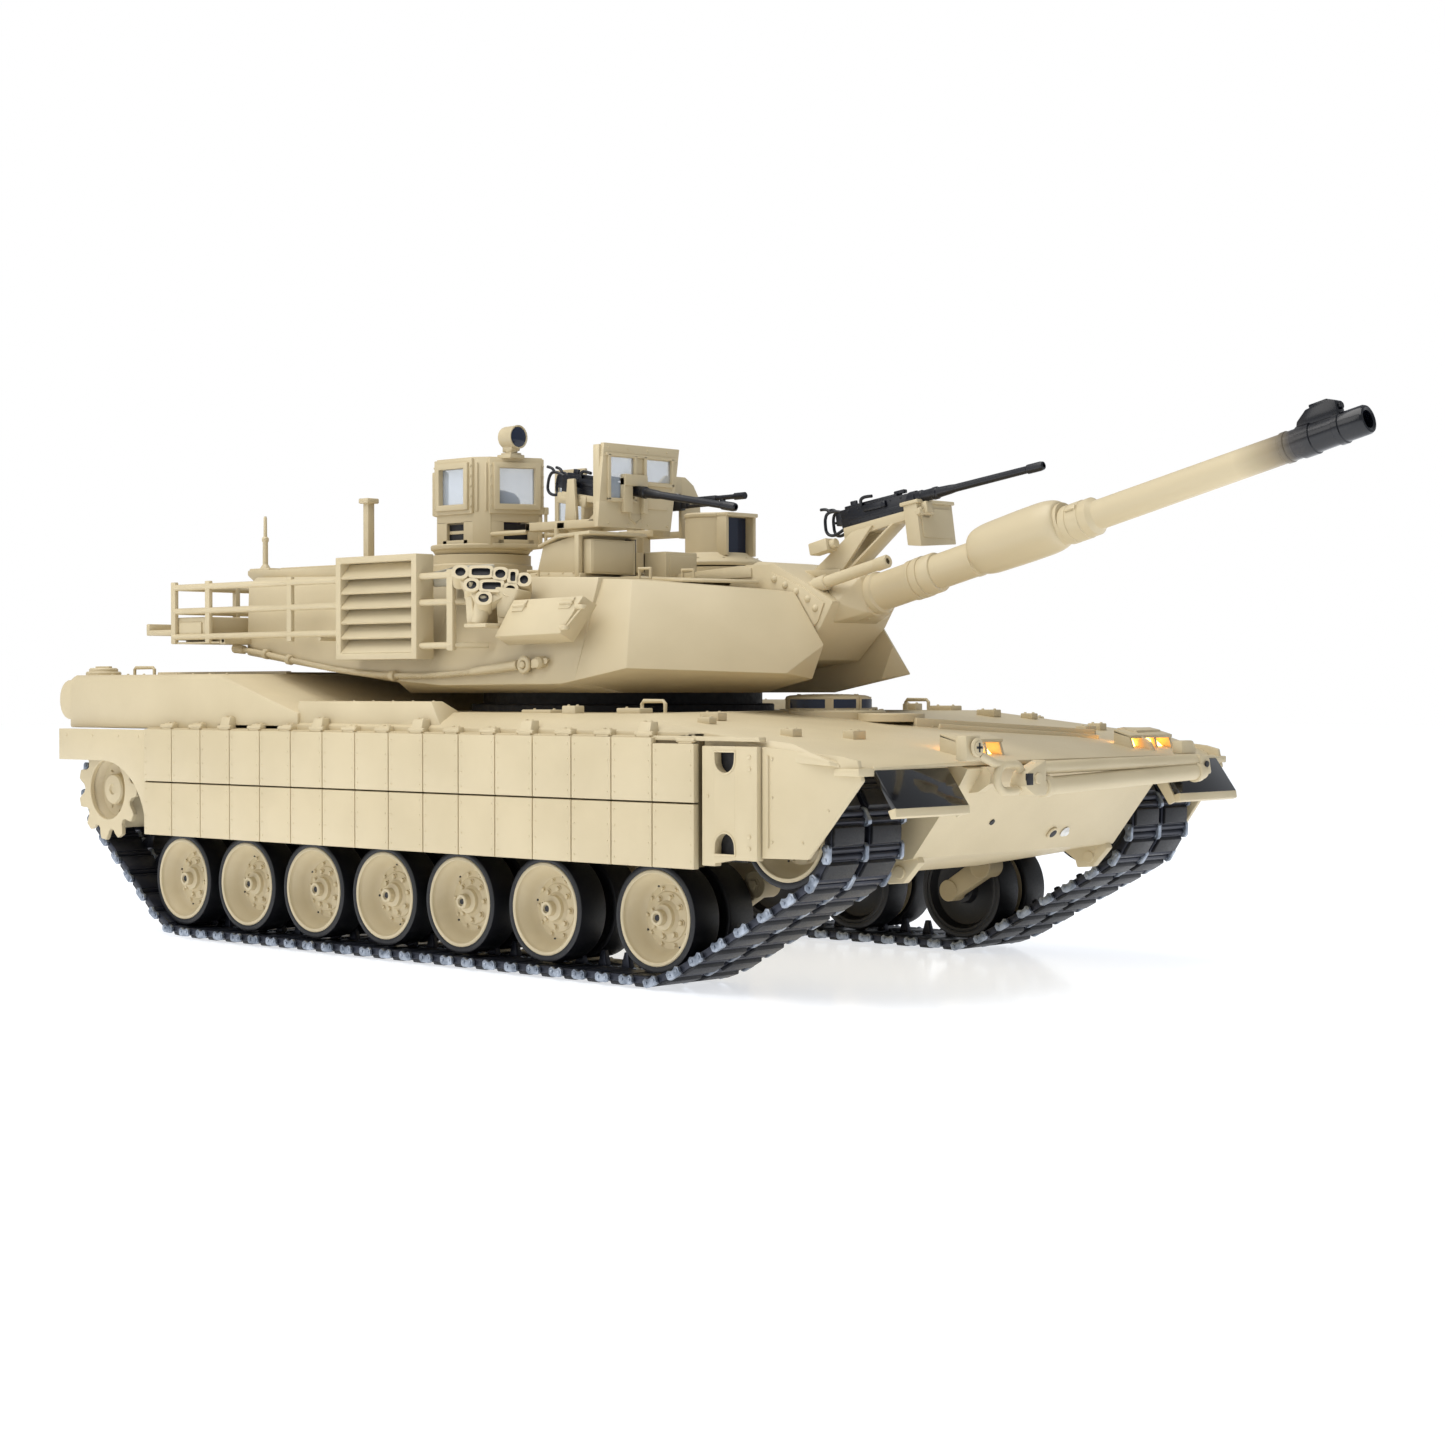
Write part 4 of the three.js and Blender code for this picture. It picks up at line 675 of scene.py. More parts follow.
def add_tracks():
    pitch = BELT_LENGTH / LINKS
    link = one_link(pitch * 0.985)
    for s, side in SIDES:
        links = []
        for k in range(LINKS):
            x0, z0, _ = belt_point((k - 0.5) * pitch)
            x1, z1, _ = belt_point((k + 0.5) * pitch)
            angle = math.atan2(z1 - z0, x1 - x0)
            m = Matrix.Translation(((x0 + x1) / 2, 0, (z0 + z1) / 2)) @ Matrix.Rotation(-angle, 4, "Y")
            links.append(link.moved(m))
        make(f"track_links_{side}", join(links).side(s), "hull", [GUNMETAL, PAD, SILVER],
             [f"track_{side}"], 30)


def toothed_ring(y0, y1, mat):
    root, tip = 18.4, 22.4
    outline = []
    for k in range(SPROCKET_TEETH):
        a = 2 * math.pi * k / SPROCKET_TEETH
        t = math.pi / SPROCKET_TEETH
        for f, r in ((-0.66, root), (-0.48, 20.6), (-0.30, tip), (0.30, tip), (0.48, 20.6), (0.66, root),
                     (1.0, root - 1.0)):
            outline.append((r * math.cos(a + f * t), r * math.sin(a + f * t)))
    n = len(outline)
    inner = [(13.2 * math.cos(math.atan2(v, u)), 13.2 * math.sin(math.atan2(v, u))) for u, v in outline]
    co = [(u, v, y0) for u, v in outline] + [(u, v, y1) for u, v in outline]
    co += [(u, v, y0) for u, v in inner] + [(u, v, y1) for u, v in inner]
    faces = []
    for i in range(n):
        j = (i + 1) % n
        faces += [(i, j, n + j, n + i), (2 * n + i, 3 * n + i, 3 * n + j, 2 * n + j),
                  (i, 2 * n + i, 2 * n + j, j), (n + i, n + j, 3 * n + j, 3 * n + i)]
    return from_bmesh(rounded(to_bmesh(co, faces), 0.25, 1, 50), mat)


def add_sprockets():
    drum = lathe([(0, 1.2), (16.4, 1.2), (17, 1.8), (17, 13.6), (11, 17), (11, 24), (17.2, 27), (17.2, 42.4),
                  (16.8, 43.0), (14.4, 43.0), (13.9, 42.6), (12.0, 39.4), (7.2, 38.2), (6.8, 38.6),
                  (6.8, 41.6), (6.2, 42.4), (2.4, 42.6), (2.0, 41.8), (0, 41.8)], 64, 0)
    bolts = []
    for k in range(10):
        a = 2 * math.pi * k / 10
        bolts.append(hex_bolt(0.75, 0.9).at(15.6 * math.cos(a), 15.6 * math.sin(a), 43.0))
        bolts.append(hex_bolt(0.6, 0.8).at(9.6 * math.cos(a + 0.3), 9.6 * math.sin(a + 0.3), 38.7))
    one = to_y(join(drum, bolts, toothed_ring(0.6, 2.7, 1), toothed_ring(43.1, 45.2, 0)))
    for s, side in SIDES:
        shape = one.at(0, 66, 0).side(s).at(SPROCKET[0], 0, SPROCKET[1])
        make(f"drive_sprocket_{side}", shape, f"sprocket_{side}", [SAND, GUNMETAL],
             [f"sprocket_{side}"], 30)


def add_arms():
    for s, side in SIDES:
        for i, x in enumerate(wheel_x, 1):
            px, pz = x + 18, AXLE_Z + 11
            shape = join(
                rod((px, 62.3, pz), (px, 71.5, pz), 5, 24, 0),
                rod((x, 65, AXLE_Z), (x, 71.5, AXLE_Z), 4.4, 24, 0),
                prism([(x - 3.0, AXLE_Z - 2.2), (x + 1.8, AXLE_Z - 3.6), (px + 1.8, pz - 3.9),
                       (px - 2.2, pz + 3.9), (x - 2.4, AXLE_Z + 3.3)], 65.4, 70.6, "y", 0, 0.6),
                rod((x, 66, AXLE_Z), (x, WHEEL_IN_Y + 2.4, AXLE_Z), 2.8, 16, 1),
                hex_bolt(2.0, 1.2).moved(along((px, 71.5, pz), (px, 80, pz))),
            ).side(s)
            name = f"arm_{side}_{i}"
            # The arms take the darker sand: painted shade under the hull.
            make(f"swing_{name}", shape, name, [SAND_SHADE, STEEL], [name], 30)


add_wheels()
add_tracks()
add_sprockets()
add_arms()

# ---------------------------------------------------------------- hull
HULL_Y = 114
HATCH_SEAT_X = 136
HATCH_LID_X = 134
GLACIS_START_X = 132
GLACIS_SLOPE = 0.115
PANEL_IN_Y = 114.6
PANEL_OUT_Y = 118.0
FRONT_PANEL_X = 204
FRONT_PANEL_TOE_IN = 0.15
FRONT_PANEL_STRETCH = 1.16
TURRET_X = 22
DECK_Z = 97.5
REAR_DECK_Z = 113
TILE_START_X = -149.6
TILE_PITCH = 20.34
TILE_COLUMNS = 16
TILE_ROWS = ((44.5, 66.8), (67.4, 89.6))
TILE_END_X = TILE_START_X + TILE_COLUMNS * TILE_PITCH


def both_y(points):
    return [(x, s * y, z) for x, y, z in points for s in (-1, 1)]


def box_at(centre, size, mat=0, bevel=0.3):
    x, y, z = centre
    a, b, c = (v / 2 for v in size)
    return block(x - a, x + a, y - b, y + b, z - c, z + c, mat, bevel)


def hinge_block(x, z, tall):
    """Bolted hinge on top of the skirt, drawn on the left side."""
    h = 5.4 if tall else 2.6
    return [
        hull([(x - 3.4, 113, z), (x + 3.4, 113, z), (x - 3.4, 118.3, z), (x + 3.4, 118.3, z),
              (x - 2.8, 113, z + h), (x + 2.8, 113, z + h), (x - 2.8, 116.6, z + h), (x + 2.8, 116.6, z + h)],
             0, 0.35),
        rod((x - 4.4, 117.2, z + 1.2), (x + 4.4, 117.2, z + 1.2), 0.9, 12, 0),
        dome_bolt(0.7, 0.5).at(x - 1.5, 115.2, z + h),
        dome_bolt(0.7, 0.5).at(x + 1.5, 115.2, z + h),
    ]


def deck_fittings():
    shapes = []
    for s in (-1, 1):
        for x, dy, sx, sy, h in ((150, 82, 9, 5, 3.0), (160, 96, 6, 4, 2.6), (120, 92, 12, 7, 2.4),
                                 (96, 100, 7, 5, 3.2), (196, 92, 6, 5, 3.0), (206, 70, 5, 7, 3.4),
                                 (72, 92, 16, 9, 1.6)):
            z = DECK_Z if x < GLACIS_START_X else DECK_Z - (x - GLACIS_START_X) * GLACIS_SLOPE
            shapes.append(box_at((x, s * dy, z + h / 2 - 0.4), (sx, sy, h), 0, 0.4))
            shapes.append(dome_bolt(0.6, 0.5).at(x - sx / 3, s * dy, z + h - 0.4))
            shapes.append(dome_bolt(0.6, 0.5).at(x + sx / 3, s * dy, z + h - 0.4))
        shapes.append(pipe([(110, s * 78, 97), (110, s * 78, 101), (111, s * 78, 102), (121, s * 78, 102),
                            (122, s * 78, 101), (122, s * 78, 97)], 0.7, 10, 0))
        shapes.append(pipe([(-190, s * 96, 112.5), (-190, s * 96, 115.4), (-189, s * 96, 116.2),
                            (-176, s * 96, 116.2), (-175, s * 96, 115.4), (-175, s * 96, 112.5)], 0.7, 10, 0))
        for x in range(-200, -100, 12):
            shapes.append(dome_bolt(0.6, 0.5).at(x, s * 109, REAR_DECK_Z))
        for x in range(-44, 30, 12):
            shapes.append(dome_bolt(0.5, 0.4).at(x, s * 109, 101.8))
    return shapes


def add_upper_hull():
    y = HULL_Y
    shapes = [
        hull(both_y([(-214, y, 89.6), (-214, y, REAR_DECK_Z - 2), (-212, y - 2, REAR_DECK_Z),
                     (-104, y - 2, REAR_DECK_Z), (-103, y, REAR_DECK_Z - 1), (-50, y, 97), (-50, y, 89.6)]),
             0, 0.9),
        hull(both_y([(-104, y, 89.6), (-104, y, 92.4), (-104, y - 12, DECK_Z), (132, y - 12, DECK_Z),
                     (176, y, 91.6), (176, y, 86.8), (132, y - 4, 94.6)]), 0, 0.6),
        hull(both_y([(120, y, 86.8), (120, y - 12, DECK_Z), (132, y - 12, DECK_Z), (176, y, 91.6),
                     (214, y - 2, 88.2), (240, y - 10, 80.3), (247.6, 63, 81.6), (240, y - 10, 79.7),
                     (247.6, 63, 80.2), (232, y, 82.6), (232, y, 81)]) + [(132, 0, DECK_Z + 1)], 0, 0.5),
        # Turret ring in material 1: painted shade under the turret.
        ring(58, 63, DECK_Z - 2, 100.5, 72, 1, 0.5).at(TURRET_X, 0, 0),
        disc(21, DECK_Z - 3, 98.2, 48, 0, 0.5).at(HATCH_SEAT_X, 0, 0),
        disc(12.8, 94, 97.2, 48, 0, 0.3).at(164, 2, 0),
    ]
    shapes += bolt_circle(hex_bolt(0.6, 0.6), 16, 19.6, 98.1, (HATCH_SEAT_X, 0))
    for s in (-1, 1):
        shapes.append(hull([(-52, s * 106, 90), (-52, s * 113, 90), (-52, s * 106, 101.8),
                            (-52, s * 112, 101.8), (38, s * 106, 90), (38, s * 113, 90), (30, s * 106, 101.8),
                            (30, s * 112, 101.8), (-52, s * 96, 96), (30, s * 96, 97)], 0, 0.6))
        shapes.append(disc(7.8, 111, 114.6, 40, 0, 0.5).at(-208.4, s * 100, 0))
        shapes.append(disc(6.4, 114, 116.2, 40, 0, 0.6).at(-208.4, s * 100, 0))
        shapes.append(block(-213.6, -203, s * 100 - 1, s * 100 + 1, 115.6, 117, 0, 0.3))
        swell = [(-213, 92.6)]
        for k in range(13):
            a = math.pi * k / 12
            swell.append((-214 - 10.5 * math.sin(a) ** 0.7, 102 - 9 * math.cos(a)))
        swell.append((-213, 111.4))
        shapes.append(prism(swell, s * 88, s * 112.6, "y", 0, 1.4, 3))
        if s < 0:
            continue
        lamp_box = hull([(222, s * 66, 82), (222, s * 92, 82), (224, s * 66, 91.5), (224, s * 84, 91.5),
                         (226, s * 66, 91.8), (226, s * 84, 91), (226, s * 90, 82)], 0, 0.4)
        shapes.append(lamp_box)
        shapes.append(hull([(222, s * 92, 82), (222, s * 90.4, 82), (238, s * 94, 81), (238, s * 92.6, 81),
                            (224, s * 84, 91.5), (224, s * 82.8, 91.5), (229, s * 85, 90), (229, s * 84, 90)],
                           0, 0.3))
        shapes.append(prism([(222, 82), (242, 80.4), (239, 86), (231, 90.8), (224, 91.5)], s * 64.6, s * 66.2,
                            "y", 0, 0.3))
        shapes.append(hull([(226, s * 66, 90.4), (226, s * 84, 90.4), (226, s * 66, 91.6),
                            (226, s * 84, 91.6), (232, s * 66, 89.6), (231, s * 84, 89.4),
                            (232, s * 66, 90.6), (231, s * 84, 90.6)],
                           0, 0.25))
        shapes.append(hull([(178, 0, 91), (175.6, 0, 91), (178, 0, 95.6), (176.8, 0, 95.6), (213, s * 66, 87),
                            (210.6, s * 66, 87.6), (213, s * 66, 90.8), (211.8, s * 66, 90.8)], 0, 0.3))
        shapes.append(hull([(186, s * 4, 90.4), (184.6, s * 4, 90.4), (186, s * 4, 93.4),
                            (185.2, s * 4, 93.4), (219, s * 60, 86.4), (217.6, s * 60, 86.6),
                            (219, s * 60, 88.8), (218.2, s * 60, 88.8)],
                           0, 0.25))
        for k in range(9):
            f = k / 8
            bx, by, bz = 181 + 30 * f, s * (6 + 58 * f), 91.6 - 3.6 * f
            shapes.append(dome_bolt(0.6, 0.5).at(bx, by, bz + 0.5))
    shapes.extend(deck_fittings())
    for k in range(14):
        x = -200 + 6.6 * k
        shapes.append(block(x, x + 2.6, -72, 72, REAR_DECK_Z - 0.4, REAR_DECK_Z + 1.0, 0, 0.4))
    for y0 in (-75, 72):
        shapes.append(block(-203, -108, y0, y0 + 3, REAR_DECK_Z - 0.6, REAR_DECK_Z + 1.4, 0, 0.4))
    for k in range(9):
        z = 92.2 + 2 * k
        shapes.append(hull([(-214, -84, z), (-214, 84, z), (-215.6, -84, z - 0.8), (-215.6, 84, z - 0.8),
                            (-214, -84, z + 1.2), (-214, 84, z + 1.2)], 0, 0.15))
    make("hull_top", shapes, "hull", [SAND, HOLE_SHADE], ["upper_hull"], 30)


def add_skirts():
    arc_edge = []
    for k in range(13):
        a = math.pi / 2 * k / 12
        arc_edge.append((-182 + 32.4 * math.sin(a), 44.5 + 31 * math.cos(a)))
    rear = [(-216, 89.2), (-216, 75.5)] + arc_edge + [(TILE_START_X - 0.3, 89.2)]
    front_panel = []
    for y in (114.0, 116.0):
        for x, z in ((204, 87), (204, 49.4), (224.7, 49.6), (249, 76.1), (247, 82.9), (240, 84.2)):
            front_panel.append((FRONT_PANEL_X + (x - FRONT_PANEL_X) / FRONT_PANEL_STRETCH,
                                y - FRONT_PANEL_TOE_IN * (x - FRONT_PANEL_X) / FRONT_PANEL_STRETCH, z))
    shapes = [
        prism(rear, 114.6, 118.3, "y", 0, 0.45),
        # Backing behind the tiles in material 1: painted shade in the gaps between them.
        block(TILE_START_X, TILE_END_X, 114.2, 116.9, 45.2, 89.0, 1, 0),
        hull(front_panel, 0, 0.4),
        block(TILE_START_X, FRONT_PANEL_X, 113.6, 117.4, 88.6, 90.2, 0, 0.4),
        block(178.2, 184.3, PANEL_IN_Y, PANEL_OUT_Y, 46, 87, 0, 0.35),
        block(193.3, 203.6, PANEL_IN_Y, PANEL_OUT_Y, 48.4, 87, 0, 0.35),
        block(184, 193.6, PANEL_IN_Y, PANEL_OUT_Y, 58.2, 77.0, 0, 0),
        block(184, 193.6, PANEL_IN_Y, PANEL_OUT_Y, 85.0, 87, 0, 0),
        prism([(184, 47), (193.6, 48.6), (193.6, 50.0), (184, 50.0)], PANEL_IN_Y, PANEL_OUT_Y, "y", 0, 0),
        # Dark sheet behind the panel's openings: painted shade.
        block(182, 196, 112.4, 114.2, 47.5, 87, 2, 0),
    ]
    for cx, cz, flip in ((188.8, 81.6, 1), (188.8, 53.6, -1)):
        n = 12
        edge = [(cx - 4.9, cz + flip * 3.6)]
        edge += [(cx - 4.7 * math.cos(math.pi * k / n), cz + flip * (0.6 - 4.6 * math.sin(math.pi * k / n)))
                 for k in range(n + 1)]
        edge += [(cx + 4.9, cz + flip * 3.6)]
        far = cz - flip * 4.9
        for (x0, z0), (x1, z1) in zip(edge, edge[1:]):
            shapes.append(prism([(x0, z0), (x1, z1), (x1, far), (x0, far)], 114.6, 117.98, "y", 0, 0))
        rim = [(x, PANEL_OUT_Y, z) for x, z in edge]
        shapes.append(pipe(rim, 0.35, 8, 0))
        shapes.append(pipe([rim[0], rim[-1]], 0.35, 8, 0))
    for z in (83.5, 79.5, 56.5, 52.5):
        shapes.append(to_y(dome_bolt(0.8, 0.6)).at(200.2, 118, z))
    shapes.append(to_y(dome_bolt(0.6, 0.5)).at(181, 118, 70))
    for column in range(TILE_COLUMNS):
        x0 = TILE_START_X + column * TILE_PITCH + 0.25
        x1 = x0 + TILE_PITCH - 0.5
        for z0, z1 in TILE_ROWS:
            top = z1 - 2 if column == TILE_COLUMNS - 1 and z1 > 80 else z1
            shapes.append(block(x0, x1, 116.6, 119.35, z0, top, 0, 0.35))
            for x in (x0 + 1.5, x1 - 1.5):
                for f in (0.12, 0.37, 0.63, 0.88):
                    shapes.append(to_y(dome_bolt(0.38, 0.3, 0, 8)).at(x, 119.3, z0 + (top - z0) * f))
    tall = {2, 5, 8, 11, 14}
    for column in range(TILE_COLUMNS):
        x = TILE_START_X + (column + 0.72) * TILE_PITCH
        z = 89.6 if column < TILE_COLUMNS - 1 else 87.6
        shapes.extend(hinge_block(x, z, column in tall))
    shapes.append(pipe([(206.4, 115.8, 53), (206.4, 115.8, 84)], 0.5, 8, 0))
    for x, z in ((208, 55), (208, 70), (208, 83), (222, 82), (234, 81), (220, 55), (230, 66)):
        shapes.append(to_y(dome_bolt(0.55, 0.4)).at(x, 116 - FRONT_PANEL_TOE_IN * (x - FRONT_PANEL_X), z))
    for x in (-210, -190, -170, -155):
        shapes.append(to_y(dome_bolt(0.6, 0.45)).at(x, 118.2, 86.4))
    drawn = join(shapes)
    for s, side in SIDES:
        make(f"side_tiles_{side}", drawn.side(s), "hull", [SAND, SEAM_SHADE, HOLE_SHADE], [f"skirt_{side}"],
             30)


def add_mudguards():
    flap = prism([(241.2, 79.4), (250.6, 66.2), (252.4, 67.2), (243.4, 79.6)], 65, 104, "y", 0, 0.35)
    lip = prism([(248.9, 66.4), (250.2, 63.6), (252.6, 64.4), (252.2, 67.4)], 64.6, 104.4, "y", 1, 0.35)
    web = prism([(236, 79), (247.4, 62.8), (250.6, 64.2), (242.4, 79.4)], 64.4, 65.8, "y", 1, 0.3)
    hinge = rod((242.2, 65, 79.8), (242.2, 104, 79.8), 1.0, 14, 1)
    under = block(232, 243, 66, 112, 77.6, 80.2, 1, 0.4)
    for s, side in SIDES:
        make(f"flap_{side}", join(flap, lip, web, hinge, under).side(s), "hull", [GLOSS, SAND],
             [f"mudguard_{side}"], 30)


def add_bow():
    shapes = []
    for s in (-1, 1):
        lug = prism([(209, 47), (224, 50), (226, 46), (219, 38.6), (212, 38)], s * 55.4, s * 59.2, "y", 0,
                    0.5)
        shapes.append(lug)
        shapes.append(rod((217.6, s * 54.6, 42.4), (217.6, s * 60, 42.4), 2.3, 20, 0))
        shapes.append(prism([(216, 50), (236, 66), (232, 70), (213, 53)], s * 50, s * 51.6, "y", 0, 0.3))
        shapes.append(prism([(205.4, 66), (239.6, 71), (241.6, 78), (205.4, 80)], s * 60.6, s * 64.2, "y", 0,
                            0.4))
    face = Vector((26.5, 0, -20.8)).normalized()
    up = Vector((20.8, 0, 26.5)).normalized()
    start = Vector((226, 0, 49.2))

    def on_bow(y, v, out=0.0):
        p = start + up * v + face * out
        return (p.x, y, p.z)

    shapes.append(rod(on_bow(14, 6, 0), on_bow(14, 6, 1.0), 2.5, 28, 0, bevel=0.3))
    shapes.append(rod(on_bow(14, 6, 0.9), on_bow(14, 6, 1.1), 1.7, 24, 1, bevel=0.05))
    shapes.append(rod(on_bow(22, 6, 0), on_bow(22, 6, 1.6), 2.2, 28, 2, r2=1.5, bevel=0.5))
    shapes.append(rod(on_bow(-28, 13, 0), on_bow(-28, 13, 0.5), 1.2, 16, 1, bevel=0.1))
    for y in range(-50, 51, 20):
        shapes.append(rod(on_bow(y, 30, 0), on_bow(y, 30, 0.6), 0.7, 12, 0))
    make("bow_fittings", shapes, "hull", [SAND, HOLE_SHADE, WHITE], (), 30)


def add_tow_bar():
    x = 256.2
    shapes = [
        rod((x, -34, 79.0), (x, 69, 79.6), 2.3, 28, 0, bevel=0.4),
        rod((x + 0.6, -34, 72.4), (x + 0.6, 73, 75.6), 3.2, 32, 0, bevel=0.6),
        rod((x + 0.6, 66.5, 75.2), (x + 0.6, 70, 75.5), 3.9, 32, 0, bevel=0.5),
        rod((x + 0.6, -30, 72.6), (x + 0.6, -26, 72.7), 3.9, 32, 0, bevel=0.5),
        hull([(x - 2.6, 68, 73), (x + 3.2, 68, 73), (x - 2.6, 75.6, 74.6), (x + 3.2, 75.6, 74.6),
              (x - 2.6, 68, 82), (x + 2.6, 68, 82), (x - 2.6, 75, 80.6), (x + 2.6, 75, 80.6)], 0, 0.8),
        rod((x + 3, 71.6, 78.2), (x + 3.8, 71.6, 78.2), 1.2, 16, 1),
        hull([(x - 3, -38, 69.5), (x + 4, -38, 69.5), (x - 3, -44, 73), (x + 4, -44, 73), (x - 3, -31, 69.5),
              (x + 4, -31, 69.5), (x - 3, -42, 78), (x + 4, -42, 78), (x - 3, -30, 82), (x + 3, -30, 82)], 0,
             0.8),
        rod((x - 3.6, -36.5, 75.6), (x + 4.6, -36.5, 75.6), 1.9, 20, 0, bevel=0.3),
        block(x + 3.4, x + 4.3, -43, -39.6, 73.4, 77.4, 1, 0.1),
        pipe(arc((x, -50, 76), 4.6, 90, 270, 12, "yz") + arc((x, -45, 76), 4.6, -90, 90, 12, "yz"), 1.5, 12,
             0, True),
        hull([(x - 6, -60, 82), (x - 6, -70, 82), (x - 1, -60, 82), (x - 1, -70, 82), (x - 6, -60, 90.6),
              (x - 6, -70, 90.6), (x - 2, -61, 90.8), (x - 2, -69, 90.8)], 0, 0.8),
        rod((x - 1.2, -65, 86.6), (x + 0.2, -65, 86.6), 3.2, 28, 0, bevel=0.5),
        rod((x + 0.1, -65, 86.6), (x + 0.5, -65, 86.6), 2.2, 24, 0, bevel=0.1),
        block(x + 0.4, x + 0.62, -66.6, -63.4, 86.2, 87.0, 1, 0),
        block(x + 0.4, x + 0.62, -65.4, -64.6, 85.0, 88.2, 1, 0),
        pipe([(x - 2, -62, 84), (x - 0.6, -55, 81), (x, -50, 80.4)], 1.5, 12, 0),
        hull([(x - 6, 62, 82), (x - 6, 72, 82), (x - 1, 62, 82), (x - 1, 72, 82), (x - 6, 62, 87),
              (x - 6, 72, 87), (x - 2, 63, 87), (x - 2, 71, 87)], 0, 0.8),
    ]
    make("tow_bar_assembly", shapes, "hull", [SAND, HOLE_SHADE], ["tow_bar"], 32)


def add_lamps():
    glow = [
        hull([(227, 60, 82.6), (227, 84, 82.6), (227, 60, 90), (227, 78, 90), (233, 60, 82), (235, 84, 82),
              (230, 60, 89.6), (230, 78, 89.4)], 0, 0.4),
        hull([(233, -52, 80.8), (233, -30, 80.8), (233, -52, 89), (233, -36, 88), (239, -52, 80.6),
              (239, -30, 80.4), (236, -52, 88.4), (236, -36, 87.4)], 0, 0.4),
    ]
    make("amber_lights", glow, "hull", [AMBER], (), 30)
    cages = []
    for y0, y1, x in ((-54, -28, 240), (58, 86, 236)):
        cages.append(hull([(x - 9, y0, 80), (x - 9, y1, 80), (x, y0, 80), (x, y1, 80), (x - 8, y0, 81.4),
                           (x - 8, y1, 81.4), (x, y0, 81.2), (x, y1, 81.2)], 0, 0.3))
        end_plate = [(x - 9, 81), (x + 0.6, 80.6), (x - 2, 88.6), (x - 9, 90.6)]
        middle_bar = [(x - 1.4, 81), (x + 0.6, 80.6), (x - 1.6, 88.6), (x - 3.6, 89)]
        for y, outline in ((y0, end_plate), (y1 - 1.4, end_plate), ((y0 + y1) / 2 + 2, middle_bar)):
            cages.append(prism(outline, y, y + 1.4, "y", 0, 0.25))
        cages.append(hull([(x - 9, y0, 89.6), (x - 9, y1, 89.6), (x - 9, y0, 91), (x - 9, y1, 91),
                           (x - 1, y0, 87.6), (x - 1, y1, 87.6), (x - 1, y0, 88.9),
                           (x - 1, y1, 88.9)], 0, 0.3))
    make("light_guards", cages, "hull", [SAND], (), 30)


def add_driver_hatch():
    dome = lathe([(0, 95.6), (17.6, 95.6), (17.8, 96), (17.8, 98.0), (17.0, 98.4), (16.4, 98.6),
                  (16.4, 103.0), (16.0, 103.6), (14.5, 104), (8, 104.4),
                  (0, 104.5)], 56, 0).at(HATCH_LID_X, 0, 0)
    shapes = [dome, block(116.6, 121, -3, 3, 98, 100.6, 0, 0.4)]
    for middle, spread in ((-80, 27), (-26, 16), (20, 19), (66, 19)):
        for r0, r1, grow, z0, z1, mat in ((15.6, 16.9, 3, 98.3, 103.4, 0), (16.0, 17.1, 0, 99.1, 102.5, 1)):
            edge = []
            for r, sign in ((r1, 1), (r0, -1)):
                for k in range(9):
                    a = math.radians(middle + sign * (spread + grow) * (k / 4 - 1))
                    edge.append((HATCH_LID_X + r * math.cos(a), r * math.sin(a)))
            shapes.append(prism(edge, z0, z1, "z", mat, 0))
    shapes += bolt_circle(dome_bolt(0.6, 0.4), 8, 12, 104.1, (HATCH_LID_X, 0), start=0.5)
    make("driver_lid", shapes, "driver_hatch", [SAND, LENS], ["driver_hatch"], 30)


add_upper_hull()
add_skirts()
add_mudguards()
add_bow()
add_tow_bar()
add_lamps()
add_driver_hatch()

# ---------------------------------------------------------------- turret
CHEEK_GAP_Y = 20.6
FLOOR_Z = 105
CUPOLA = (-28, -34)
LOADER = (-22, 34)
SIGHT = (43, 34)
CABLE_ROUTE = (
    (-134, -82.6, 124.4), (-127, -82.8, 123.6), (-110, -84, 121.6), (-92, -85.4, 119), (-74, -86.6, 116.6),
    (-56, -87.6, 114.4), (-38, -88.4, 112.8), (-20, -88.8, 112), (-4, -88.8, 111.8), (12, -88.6, 112.2),
    (26, -87.6, 113.2), (38, -86.2, 114.6), (50, -85.2, 115.8),
)


def smooth_path(points, steps):
    pts = [Vector(p) for p in points]
    out = []
    for i in range(len(pts) - 1):
        p0, p1 = pts[max(i - 1, 0)], pts[i]
        p2, p3 = pts[i + 1], pts[min(i + 2, len(pts) - 1)]
        for k in range(steps):
            t = k / steps
            out.append(0.5 * ((2 * p1) + (p2 - p0) * t + (2 * p0 - 5 * p1 + 4 * p2 - p3) * t * t
                              + (3 * p1 - p0 - 3 * p2 + p3) * t ** 3))
    out.append(pts[-1])
    return out


def twisted_rope(points, strands, r_rope, turns_per_mm, mat=0):
    """Strands laid round one another along a smooth path."""
    path = smooth_path(points, 14)
    along_len = [0.0]
    for a, b in zip(path, path[1:]):
        along_len.append(along_len[-1] + (b - a).length)
    out = []
    strand_r = r_rope * 0.46
    for k in range(strands):
        line = []
        for i, p in enumerate(path):
            t = (path[min(i + 1, len(path) - 1)] - path[max(i - 1, 0)]).normalized()
            side = t.cross(Vector((0, 0, 1))).normalized()
            up = side.cross(t)
            a = 2 * math.pi * (along_len[i] * turns_per_mm + k / strands)
            line.append(p + (side * math.cos(a) + up * math.sin(a)) * (r_rope - strand_r))
        out.append(pipe(line, strand_r, 7, mat))
    return out


